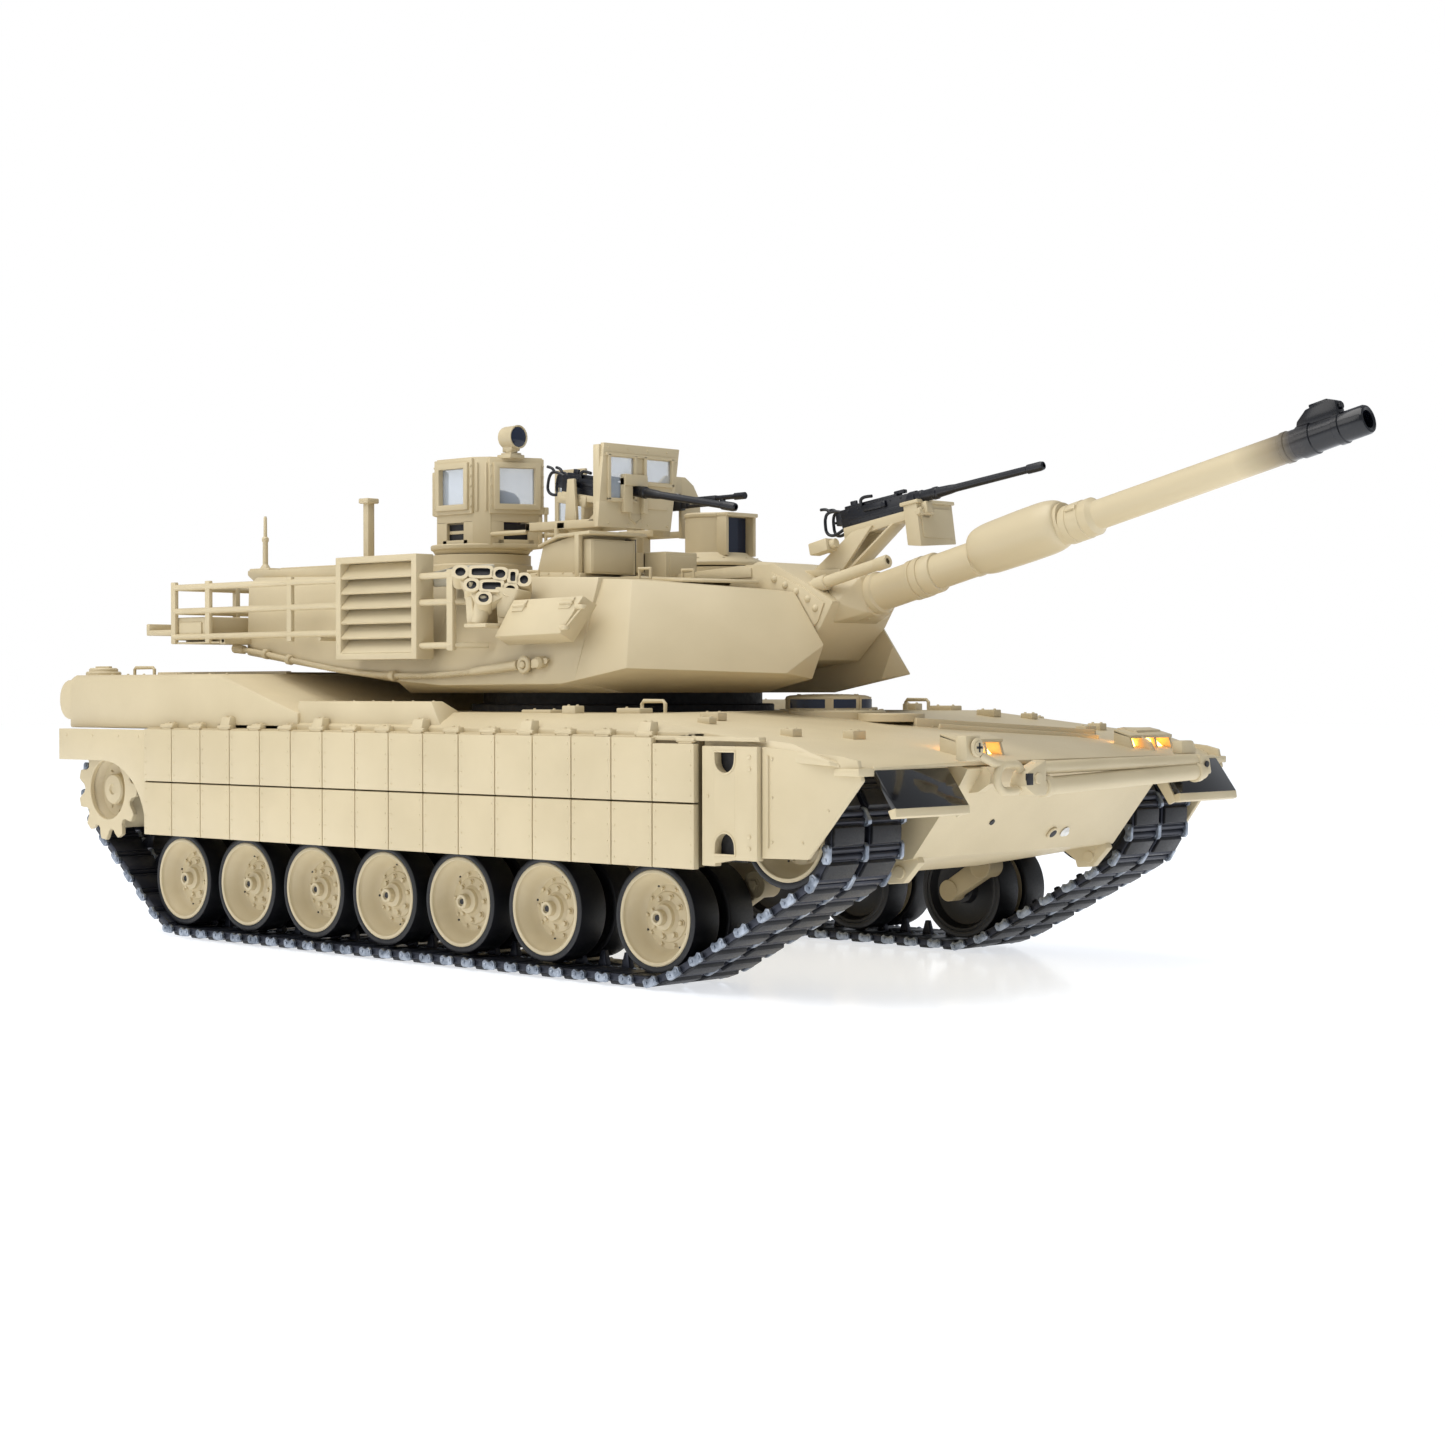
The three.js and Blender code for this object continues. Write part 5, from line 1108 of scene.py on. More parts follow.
def add_turret_body():
    g = CHEEK_GAP_Y
    shapes = [
        hull(both_y([(80, 71, 149.2), (78, 82, 110), (70.8, 82.5, 108.4), (8, 88, 108), (-20, 73, 152.6),
                     (80, 20, 150.6), (80, 62, FLOOR_Z), (-44, 60, FLOOR_Z), (-20, 87.6, 110)]), 0, 0.5),
        hull(both_y([(0, 87.8, 108.4), (0, 73, 152.6), (-128, 76, 155.2), (-128, 80, 151), (-128, 81, 121.4),
                     (-70, 86, 114.8), (-40, 60, 108)]), 0, 0.8),
        hull(both_y([(-127.6, 73, 150), (-138, 73, 156.4), (-138, 73, 158.6), (-58, 73, 150),
                     (-58, 73, 158.2)]),
             0, 0.5),
        # Underside disc in material 1: painted shade under the turret.
        disc(58, 90, FLOOR_Z + 2, 72, 1, 0.4).at(TURRET_X, 0, 0),
        lathe([(0, 150), (23, 150), (22.6, 153.4), (21.4, 154.2), (21.2, 158), (20.6, 158.6), (20.6, 162.4),
               (0, 162.4)], 56, 0).at(*CUPOLA, 0),
        disc(19, 150, 156, 48, 0, 0.5).at(*LOADER, 0),
        block(60, 72, -26, -8, 149, 161, 0, 0.5),
        block(71.6, 72.4, -24, -10, 150.6, 159.4, 0, 0.25),
        lathe([(0, 149), (22.6, 149), (22.8, 149.4), (22.8, 151.2), (22.4, 151.6), (20.4, 151.8),
               (20.2, 152.2), (20.2, 157.2), (0, 157.4)], 72, 0).at(*SIGHT, 0),
    ]
    for s in (-1, 1):
        shapes.append(hull([
            (144.1, s * g, 110.2), (149.8, s * g, 123.1), (145.4, s * 37, 112.2), (103.7, s * 80, 114.2),
            (94.6, s * 68, 147.9), (135.2, s * g, 143.4), (70.8, s * 82.5, 108.4), (63, s * 70, 149.6),
            (60, s * g, 151), (120, s * g, FLOOR_Z), (60, s * g, FLOOR_Z), (70, s * 66, FLOOR_Z)], 0, 0.4))
        shapes.append(hull([(60, s * 22, 149.8), (60, s * 40, 150), (118, s * 22, 147), (98, s * 44, 147.6),
                            (60, s * 22, 151.6), (60, s * 40, 151.4), (118, s * 22, 148.4),
                            (98, s * 44, 148.6)],
                           0, 0.3))
    shapes.append(hull([(70, -20, 149), (70, 20, 149), (112, -20, 149.6), (112, 20, 149.6), (70, -20, 152),
                        (70, 20, 152), (106, -20, 154.4), (106, 20, 154.4), (112, -20, 153.4),
                        (112, 20, 153.4)],
                       0, 0.4))
    for k in range(12):
        a = 2 * math.pi * k / 12
        shapes.append(hex_bolt(0.7, 0.6).at(SIGHT[0] + 21.6 * math.cos(a), SIGHT[1] + 21.6 * math.sin(a),
                                            151.4))
    for x, y in ((-120, -68), (-96, -68), (-72, -68), (-120, 68), (-96, 68), (-72, 68), (-64, -40), (-64, 0),
                 (-64, 40), (-134, -20), (-134, 20)):
        shapes.append(dome_bolt(0.8, 0.5).at(x, y, 158.3))
    for y in (-52, 0, 52):
        shapes.append(block(-124, -66, y - 14, y + 14, 158, 159.6, 0, 0.4))
    for x, y in ((20, -64), (36, -64), (84, -50), (84, 50), (88, -30)):
        shapes.append(pipe([(x - 3, y, 149), (x - 3, y, 153), (x + 3, y, 153), (x + 3, y, 149)], 0.6, 8, 0))
    make("turret_body", shapes, "turret", [SAND, HOLE_SHADE], ["turret_shell"], 30)


def slot_outline(w, h, power, steps=24):
    """Points round an oval; a power under one squares its corners."""
    out = []
    for k in range(steps):
        c, d = math.cos(2 * math.pi * k / steps), math.sin(2 * math.pi * k / steps)
        out.append((w * math.copysign(abs(c) ** power, c), h * math.copysign(abs(d) ** power, d)))
    return out


def launcher():
    """Cluster of discharge tubes behind one face plate, drawn for the right side."""
    face = Vector((0.60, -0.60, 0.53)).normalized()
    right = Vector((0.7071, 0.7071, 0))
    up = face.cross(right)
    frame_of = Matrix.Translation(Vector((41.5, -91.6, 147.6))) @ Matrix((right, up,
                                                                          face)).transposed().to_4x4()
    openings = ((-11.8, 4.8, 2.0, 2.0, 1), (-3.9, 4.8, 3.6, 1.7, 0.4), (3.6, 3.9, 2.0, 2.0, 1),
                (8.5, 2.6, 1.0, 2.2, 0.4), (12.8, 1.2, 1.6, 2.0, 1), (-7.3, -1.3, 1.9, 1.9, 1),
                (0.4, -1.7, 3.6, 1.7, 0.4), (7.6, -3.4, 1.9, 1.9, 1), (-2.5, -7.4, 2.0, 2.0, 1))
    shapes = []
    for u, v, w, h, power in openings:
        outer = slot_outline(w + 1.25, h + 1.25, min(power, 0.75))
        inner = slot_outline(w, h, power)
        n = len(outer)
        co = [(u + a, v + b, -7.0) for a, b in outer] + [(u + a, v + b, 0.35) for a, b in outer]
        co += [(u + a, v + b, 0.35) for a, b in inner] + [(u + a, v + b, -0.9) for a, b in inner]
        faces, mats = [], []
        for i in range(n):
            j = (i + 1) % n
            for level in range(3):
                faces.append((level * n + i, level * n + j, (level + 1) * n + j, (level + 1) * n + i))
                # The deep end of each tube and its bottom take material 1: painted shade inside the tube.
                mats.append(0 if level < 2 else 1)
        faces.append(tuple(range(3 * n, 4 * n)))
        mats.append(1)
        cup = Shape(co, faces)
        cup.mats = mats
        shapes.append(cup)
    webs = (((-14.4, 5.6), (14.6, 2.4), (8.6, -5.2), (-8.8, -3.2)), ((-9.6, -0.6), (9.4, -3.0), (0.2, -9.2),
                                                                    (-5.0, -9.2)))
    for web in webs:
        shapes.append(hull([(u, v, d) for u, v in web for d in (-6.2, -0.95)], 0, 0.6))
    drawn = [join(shapes).moved(frame_of)]
    drawn.append(rod((39.4, -93.4, 142.5), (38.2, -94.8, 131.4), 3.1, 32, 0, bevel=0.4))
    drawn.append(hull([(32.4, -97.4, 148), (36, -97.4, 148), (33.4, -96.8, 131.6), (37.6, -96.8, 131.6),
                       (33, -84, 148), (36, -84, 148), (34, -84, 131.6), (37.6, -84, 131.6)], 0, 0.5))
    drawn.append(hull([(44, -92, 146), (53, -88, 145), (44, -84, 145), (53, -80, 144), (43, -90, 134),
                       (47, -88, 134), (44, -80, 134), (48, -80, 134)], 0, 0.8))
    drawn.append(block(33.4, 46, -98.4, -76, 130.2, 131.8, 0, 0.5))
    return drawn


def add_turret_fittings():
    parts = launcher()
    lid = [Vector((51, -88.5, 140.8)), Vector((86.5, -85.5, 141.6)), Vector((80, -91.5, 127.4)),
           Vector((45.4, -93.4, 126.6))]
    inward = Vector((0, 7.4, -3.4))
    parts.append(hull([tuple(p) for p in lid] + [tuple(p + inward) for p in lid], 0, 0.45))
    down = (lid[3] - lid[0]).normalized()
    across = (lid[1] - lid[0]).normalized()
    out = across.cross(down).normalized()
    if out.y > 0:
        out = -out

    def on_lid(u, v, d):
        return tuple(lid[0] + across * u + down * v + out * d)

    parts.append(hull([on_lid(u, v, d) for u in (0.8, 34.4) for v in (2.6, 3.1) for d in (-0.2, 0.12)], 0, 0))
    for u in (2.4, 26.4):
        parts.append(hull([on_lid(u + a, v, d) for a in (0, 6) for v in (0.6, 5.4) for d in (0, 0.7)], 0,
                          0.3))
        parts.append(rod(on_lid(u - 0.4, 2.9, 0.7), on_lid(u + 6.4, 2.9, 0.7), 0.75, 14, 0))
    latch_a, latch_b = (88.2, -87.6, 137.2), (83.6, -92, 129.4)
    parts.append(rod((84, -87, 137.4), latch_a, 1.0, 14, 0))
    parts.append(rod((80, -91, 129.6), latch_b, 1.0, 14, 0))
    parts.append(disc(1.6, -0.8, 0.8, 20, 0).at(*latch_a))
    parts.append(disc(1.6, -0.8, 0.8, 20, 0).at(*latch_b))
    parts.append(pipe([latch_a, latch_b], 0.5, 8, 0))
    both = join(parts)
    rope = twisted_rope(CABLE_ROUTE[3:12], 4, 1.25, 0.16)
    sleeves = [pipe(smooth_path(CABLE_ROUTE[:4], 8), 1.15, 14, 0),
               rod(CABLE_ROUTE[0], CABLE_ROUTE[1], 2.1, 18, 0, r2=1.8),
               rod(CABLE_ROUTE[10], CABLE_ROUTE[12], 1.5, 18, 0, r2=2.0)]
    for i in (2, 3, 7):
        p, q = Vector(CABLE_ROUTE[i]), Vector(CABLE_ROUTE[i + 1])
        d = (q - p).normalized()
        sleeves.append(rod(p - d * 1.4, p + d * 1.4, 2.1, 20, 0))
        sleeves.append(rod(p + Vector((0, 0.6, 0)), p + Vector((0, 6, 0.4)), 1.2, 12, 0))
    ex, ey, ez = CABLE_ROUTE[-1]
    sleeves.append(pipe(arc((ex + 3.4, ey, ez), 2.5, 0, 345, 20, "xz"), 1.1, 12, 0, True))
    sleeves.append(rod((ex + 3.4, ey + 2.5, ez), (ex + 3.4, ey - 1.6, ez), 1.4, 18, 0, bevel=0.4))
    sleeves.append(lathe([(0, -3), (2.2, -3), (2.4, 0.6), (1.7, 1.8), (0, 2.2)], 24, 0)
                   .moved(along((ex + 11, ey + 0.6, ez + 0.8), (ex + 11, ey - 6, ez))))
    sleeves.append(hull([(ex + 7, ey - 0.2, ez - 2), (ex + 7, ey - 0.2, ez + 2.6),
                         (ex + 15, ey + 1.4, ez + 0.4), (ex + 15, ey + 1.4, ez + 2.8), (ex + 8, ey + 4, ez),
                         (ex + 14, ey + 4, ez + 2)], 0,
                        0.8))
    thin = lathe([(0, 158), (2.7, 158), (2.7, 159), (2.1, 160), (1.2, 161.4), (1.15, 171), (1.5, 171.6),
                  (1.5, 172.8), (0.8, 173.6), (0.75, 181.6), (0.5, 182.4),
                  (0, 182.4)], 20, 0).at(-133, -67, 0)
    square = [block(-72.2, -68.8, -61.8, -58.2, 157, 186, 0, 0.4),
              block(-73.6, -67.4, -63.2, -56.8, 185.2, 187.4, 0, 0.5),
              block(-73.4, -67.6, -63, -57, 156.6, 159.6, 0, 0.4)]
    foot = block(-138, -124, -72, -60, 156.5, 159.4, 0, 0.4)
    make("turret_fittings", [both, both.mirrored(), rope, sleeves, thin, square, foot], "turret",
         [SAND, HOLE_SHADE], (), 32)


def add_rack():
    end_x, ry = -161.0, 95.0
    levels = (129.4, 140.6, 151.0)
    shapes = []
    for s in (-1, 1):
        front = -44 if s < 0 else 20
        for z in levels:
            shapes.append(rod((end_x, s * ry, z), (front, s * ry, z), 1.35, 16, 0))
        for x in (end_x, -136, -79, -45 if s < 0 else 20):
            shapes.append(block(x - 1.6, x + 1.6, s * ry - 1.0, s * ry + 1.0, 126.4, 153.4, 0, 0.35))
        for x in (-126, -60):
            shapes.append(rod((x, s * 84, 127.5), (x, s * ry, 127.5), 1.1, 12, 0))
        shapes.append(block(-128, -124.6, min(s * 81, s * ry), max(s * 81, s * ry), 126, 128.4, 0, 0.3))
    for z in levels:
        shapes.append(rod((end_x, -ry, z), (end_x, ry, z), 1.35, 16, 0))
    for y in (-62, -32, 0, 32, 62):
        shapes.append(block(end_x - 1.4, end_x + 1.4, y - 1.2, y + 1.2, 126.4, 153, 0, 0.35))
    for z in (151.0, 140.6, 123.6):
        shapes.append(rod((3, -ry, z), (23.4, -ry, z), 1.3, 16, 0))
        shapes.append(rod((22.4, -ry, z), (32, -84, z), 1.2, 12, 0))
    shapes.append(block(20.6, 24.2, -ry - 1.1, -ry + 1.1, 121.6, 153.2, 0, 0.35))
    for k in range(9):
        y = -88 + 22 * k
        shapes.append(block(end_x, -128.4, y - 1.2, y + 1.2, 126.6, 128.2, 0, 0.2))
    shapes.append(block(end_x, -128.4, -ry, ry, 126.4, 127.2, 0, 0.2))
    shapes.append(block(-184, end_x + 1, -94, -70, 130.4, 132.8, 0, 0.5))
    shapes.append(block(-184, -181.6, -94, -70, 132, 135.6, 0, 0.4))
    shapes.append(block(-160.8, -138, -94, -72, 128, 138, 0, 0.7))
    shapes.append(block(-158, -142, -94.8, -93.4, 130.4, 135.8, 0, 0.3))
    frame_parts = [
        rect_frame(lambda u, d, v: (u, d, v), (-46, 4.4, 118.4, 160), (-42.8, 1.2, 121, 157.4), -97.6, -88.4,
                   0, 0.4),
        # Sheet behind the louvres in the darker sand: painted shade.
        block(-44, 2, -91, -88, 119, 159, 1, 0),
    ]
    for k in range(6):
        z = 121 + k * 6.07
        frame_parts.append(hull([(-43, -92.6, z + 5.9), (1.4, -92.6, z + 5.9), (-43, -97.4, z + 0.2),
                                 (1.4, -97.4, z + 0.2), (-43, -91.8, z + 5.9), (1.4, -91.8, z + 5.9),
                                 (-43, -96.6, z - 0.5), (1.4, -96.6, z - 0.5)], 0, 0.2))
    shapes.extend(frame_parts)
    shapes.append(block(-52, 6, 88.6, 97.4, 120, 157, 0, 0.7))
    shapes.append(block(-50, 4, 97, 98.0, 122, 155, 0, 0.4))
    for x in (-40, -8):
        shapes.append(block(x - 3, x + 3, 97, 98.6, 150, 156, 0, 0.3))
    cover = hull([(2, -88, 147), (2, -74, 148), (24, -86, 147), (24, -74, 148), (4, -89, 151.6),
                  (22, -87, 151.8), (3, -76, 155.4), (23, -76, 155.2)], 2, 1.2)
    rim = pipe([(3, -89, 151.6), (23, -87, 151.6), (24, -75, 154.8), (3, -75, 155)], 0.8, 10, 2, True)
    shapes.extend([cover, rim])
    make("stowage_rack", shapes, "turret", [SAND, SAND_SHADE, COVER], ["bustle_rack"], 32)


def add_gunner_sight():
    shapes = [
        hull([(28, -60, 151), (58, -60, 150), (58, -28, 150), (28, -28, 151), (29, -59.4, 153),
              (58, -59.4, 152)],
             0, 0.3),
        hull([(31, -58, 151), (56, -58, 151), (56, -30, 151), (31, -30, 151), (34, -57, 163.4),
              (34, -31, 163.4), (56, -58, 167.4), (56, -30, 167.4)], 0, 0.5),
        hull([(44, -59.6, 166.0), (63.4, -60, 166.8), (63.4, -28, 166.8), (44, -28.4, 166.0),
              (44, -59.6, 167.4), (63.4, -60, 168.2), (63.4, -28, 168.2), (44, -28.4, 167.4)], 0, 0.35),
        hull([(32, -58, 162.6), (32, -30, 162.6), (46, -59, 166.6), (46, -29, 166.6), (32, -58, 163.8),
              (32, -30, 163.8), (46, -59, 168), (46, -29, 168)], 0, 0.35),
        block(55, 57.4, -60, -57.6, 150, 167, 0, 0.3),
        block(55, 61.6, -57.0, -33.6, 151.6, 165.2, 0, 0.5),
        block(60, 62.0, -56.4, -34.2, 152.2, 164.6, 0, 0.4),
        block(56, 59.4, -33.2, -30, 150.6, 166, 1, 0.2),
        rod((60.8, -33.2, 151.6), (60.8, -33.2, 165.4), 0.9, 12, 0),
    ]
    for x in (33, 40, 48, 54):
        shapes.append(dome_bolt(0.6, 0.5).at(x, -59.4, 151.9 + 0.1))
    for y in (-54, -46, -38):
        shapes.append(dome_bolt(0.5, 0.4).at(60, y, 168))
    make("gunner_sight_box", shapes, "turret", [SAND, HOLE_SHADE], ["gunner_sight"], 30)


def add_panoramic_sight():
    """Drum with a window opening in front, under a cap with a short brow."""
    x, y = SIGHT
    opening = 42
    shapes = [
        lathe([(0, 157.8), (20.4, 157.8), (20.6, 158.2), (20.6, 159.2), (20.2, 159.8), (14.2, 162.6),
               (13.6, 163.4), (0, 163.4)], 72, 0).at(x, y, 0),
        lathe([(0, 178.2), (13.2, 178.2), (13.4, 178.6), (13.4, 179.5), (13.0, 180), (0, 180)], 72,
              0).at(x, y, 0),
        block(x + 4, x + 15.6, y - 9.4, y + 9.4, 178.3, 179.9, 0, 0.3),
        block(x + 4, x + 14.6, y - 9.2, y - 7.6, 162.0, 179, 0, 0.3),
        block(x + 4, x + 14.6, y + 7.6, y + 9.2, 162.0, 179, 0, 0.3),
        block(x + 9.2, x + 10.1, y - 7.9, y + 7.9, 163.2, 178.4, 1, 0),
    ]
    outline = []
    for k in range(41):
        a = math.radians(opening + (360 - 2 * opening) * k / 40)
        outline.append((x + 12.9 * math.cos(a), y + 12.9 * math.sin(a)))
    shapes.append(prism(outline, 162.8, 178.6, "z", 0, 0.2, 1))
    shapes += bolt_circle(dome_bolt(0.55, 0.4), 10, 17.6, 161.0, (x, y))
    make("panoramic_head", shapes, "panoramic_sight", [SAND, LENS], ["panoramic_sight"], 30)


add_turret_body()
add_turret_fittings()
add_rack()
add_gunner_sight()
add_panoramic_sight()

# ---------------------------------------------------------------- main gun
TRUNNION = (110, 0, 130.5)
GUN_DEG = 14


def aimed(shape):
    """Shape drawn along +X from the trunnion, raised to the gun's rest angle."""
    return shape.turned("Y", -GUN_DEG).at(*TRUNNION)


def on_gun(u, w, y=0):
    a = math.radians(GUN_DEG)
    return (TRUNNION[0] + u * math.cos(a) - w * math.sin(a), y,
            TRUNNION[2] + u * math.sin(a) + w * math.cos(a))


def add_mantlet():
    core = prism([(94, 119), (112, 114.5), (134, 117.5), (147, 130), (153, 139.5), (139, 147), (123, 154.6),
                  (108, 154.6), (94, 142)], -19.2, 19.2, "y", 0, 0.5)
    side = prism([(117, 122), (137, 124.6), (146, 132), (149, 139), (138, 145.4), (122, 151.4), (114, 148)],
                 -19.9, -18, "y", 0, 0.4)
    shapes = [core, side, side.mirrored()]
    for x, z in ((124, 148.6), (129.6, 146.2), (135.2, 143.6), (141, 140.6), (144.8, 137), (133, 127.6),
                 (139, 131)):
        for s in (-1, 1):
            shapes.append(to_y(lathe([(0, 0), (1.4, 0), (1.4, 0.3), (1.0, 0.9), (0.5, 1.2), (0, 1.2)], 16, 0))
                          .at(x, 19.8, z).side(s))
    low, high = on_gun(50, -7.5), on_gun(50, 7)
    shapes.append(hull([(146, -14, 131), (146, 14, 131), (152, -16, 139.4), (152, 16, 139.4),
                        (143, -12, 146.6), (143, 12, 146.6), (low[0], -7.5, low[2]), (low[0], 7.5, low[2]),
                        (high[0], -7.5, high[2]), (high[0], 7.5, high[2])], 0, 0.7))
    sleeve = lathe([(0, 40), (8.0, 40), (8.2, 40.4), (8.2, 48.4), (7.7, 48.8), (7.7, 49.6), (8.1, 50),
                    (8.1, 52.4), (7.7, 52.8), (7.2, 53.2), (7.2, 68.6), (7.7, 69), (7.7, 71.4), (7.3, 71.6),
                    (7.3, 72.2), (7.8, 72.4), (7.8, 75.2), (7.3, 75.4), (7.3, 76), (7.6, 76.2), (7.6, 80.4),
                    (7.3, 81), (6.9, 81.2), (0, 81.2)], 64, 0)
    parts = [to_x(sleeve)]
    for k in range(8):
        a = 2 * math.pi * k / 8
        bolt = hex_bolt(0.55, 0.5).turned("Y", 90).at(8.0, 0, 44)
        parts.append(to_x(bolt.turned("Z", math.degrees(a))))
    parts.append(rod((23, -15.6, 7.4), (66, -15.6, 6.7), 2.3, 28, 0, bevel=0.3))
    parts.append(to_x(lathe([(1.1, 70.2), (1.3, 70.6), (2.2, 70.6), (2.5, 70.2), (2.5, 65.4), (2.3, 65),
                             (0, 65), (0, 66), (1.1, 66)], 28, 0)).at(0, -15.6, 6.6))
    parts.append(rod((65.9, -15.6, 6.6), (66.4, -15.6, 6.6), 1.1, 16, 1, bevel=0))
    parts.append(rod((34, -15.6, 7.2), (40, -15.6, 7.1), 3.0, 28, 0, bevel=0.4))
    parts.append(hull([(28, -17.4, 4), (36, -17.4, 4), (28, -13, 4), (36, -13, 4), (28, -17, 6),
                       (34, -17, 6)], 0, 0.3))
    shapes.append(aimed(join(parts)))
    hood = hull([(108, -18, 153.6), (108, 18, 153.6), (126, -18, 152), (126, 18, 152), (112, -16, 156),
                 (112, 16, 156), (122, -16, 155), (122, 16, 155)], 0, 0.5)
    shapes.append(hood)
    make("gun_mantlet", shapes, "gun_cradle", [SAND, HOLE_SHADE], ["mantlet"], 32)


def add_barrel():
    tube = lathe([(0, 22), (6.5, 22), (6.6, 22.4), (6.6, 98.4), (6.9, 98.6), (6.9, 100), (6.6, 100.2),
                  (6.6, 141), (7.0, 141.4), (7.1, 141.8), (7.1, 144.2), (6.8, 144.4), (6.8, 145),
                  (7.1, 145.2), (7.1, 149.6), (6.8, 149.8), (6.8, 150.4), (6.9, 150.8), (6.9, 153.2),
                  (6.4, 153.8), (5.8, 154.4), (5.35, 155), (5.1, 230), (5.1, 231.6), (5.45, 231.9),
                  (5.45, 233.6), (5.1, 233.9), (5.1, 238), (5.6, 238.3), (5.6, 243.4), (5.15, 243.7),
                  (5.05, 252), (5.5, 252.3), (5.5, 254.4), (5.05, 254.7), (5.0, 262.6), (4.6, 263.4),
                  (3.9, 263.6), (3.1, 263.2), (3.0, 262.6), (2.95, 246), (0, 246)], 72, 0)
    n = 10
    profile = [(0, 100.2), (7.0, 100.2)]
    for k in range(n + 1):
        a = math.pi / 2 * k / n
        profile.append((6.9 + 2.6 * math.sin(a) ** 0.8, 100.4 + 9.6 * (1 - math.cos(a))))
    profile += [(9.75, 122), (9.75, 128)]
    for k in range(1, n + 1):
        a = math.pi / 2 * k / n
        profile.append((7.0 + 2.75 * math.cos(a) ** 0.8, 130 + 9.6 * math.sin(a)))
    profile += [(7.0, 141), (0, 141)]
    extractor = lathe(profile, 72, 0).moved(Matrix.Translation((-1.7, 0, 0)))
    seam = block(-0.9, 0.9, 7.0, 7.9, 145.2, 149.6, 0, 0.2).turned("Z", 145)
    sensor = join(
        hull([(u, y, w) for u, w in ((238, 4), (254.5, 4), (254.5, 9.2), (252, 10.4), (243, 9.6), (239, 6.6))
              for y in (-2.4, 2.4)], 0, 0.4),
        block(244, 251, -1.4, 1.4, 9.6, 11.0, 0, 0.3),
        rod((254, 0, 7.4), (255.4, 0, 7.4), 1.3, 20, 0),
    )
    shape = join(to_x(tube), to_x(extractor), to_x(seam), sensor)
    make("gun_barrel", aimed(shape), "barrel", [BARREL], ["barrel"], 28)


def heavy_gun():
    """Heavy machine gun along +X, its grips at x = 0 and its bore at z = 0. Material 0 is black, 1 tan."""
    shapes = [
        block(8, 42, -2.3, 2.3, -4.8, 2.2, 0, 0.35), block(10, 36, -2.0, 2.0, 2.0, 3.3, 0, 0.4),
        block(5, 9, -1.9, 1.9, -3.4, 1.8, 0, 0.4), block(20, 31, -3.3, -2.1, -0.8, 1.7, 0, 0.3),
        block(22, 30, 2.1, 3.4, -0.8, 1.7, 0, 0.3), block(34, 39, -1.1, 1.1, 3.0, 4.4, 0, 0.3),
        block(12, 15, -0.6, 0.6, 3.0, 5.0, 0, 0.25), block(12, 40, -2.5, -2.2, -2.6, -1.6, 0, 0.1),
        block(9, 18, -1.4, 1.4, -6.8, -4.4, 0, 0.4),
        rod((30, -2.2, 0.2), (30, -3.6, 0.2), 1.1, 14, 0),
    ]
    for x in (12, 17, 26, 33, 38):
        for z in (-3.8, 1.2):
            for s in (-1, 1):
                shapes.append(to_y(dome_bolt(0.4, 0.3, 0, 8)).at(x, 2.3, z).side(s))
    jacket = lathe([(0, 41), (2.7, 41), (2.8, 41.4), (2.8, 44.4), (2.4, 44.8), (2.5, 47), (2.2, 47.4),
                    (2.2, 52), (2.4, 52.3), (2.4, 54), (2.0, 54.5), (1.75, 60), (1.55, 62), (1.5, 62.4),
                    (1.4, 95.4), (1.75, 95.9), (1.75, 101.4), (1.5, 102.6), (0.9, 103), (0.8, 102.4),
                    (0.75, 98), (0, 98)],
                   28, 0)
    shapes.append(to_x(jacket))
    for s in (-1, 1):
        grip = [(8, s * 1.6, 1.6), (4.6, s * 1.9, 2.5), (1.6, s * 2.2, 2.2), (0.4, s * 2.4, 0.4),
                (0.1, s * 2.5, -2.2), (0.3, s * 2.5, -4.6), (1.6, s * 2.3, -6.2), (4.4, s * 2.0, -6.6),
                (8.4, s * 1.6, -5.2)]
        shapes.append(pipe(smooth_path(grip, 4), 0.62, 10, 0))
        shapes.append(pipe(smooth_path([(3, s * 2.1, 2.4), (1.2, s * 2.3, 3.9), (-1.4, s * 2.5, 4.3)], 5),
                           0.6, 10, 0))
    shapes.append(pipe(smooth_path([(19, -2.6, 2.0), (19.4, -3.0, 4.0), (21.4, -3.1, 4.7), (25, -3.1, 4.4)],
                                   5), 0.65,
                       10, 0))
    shapes.append(pipe([(4.4, -2.1, -2), (4.4, 2.1, -2)], 0.5, 8, 0))
    return join(shapes)


HEAVY_GUN = heavy_gun()


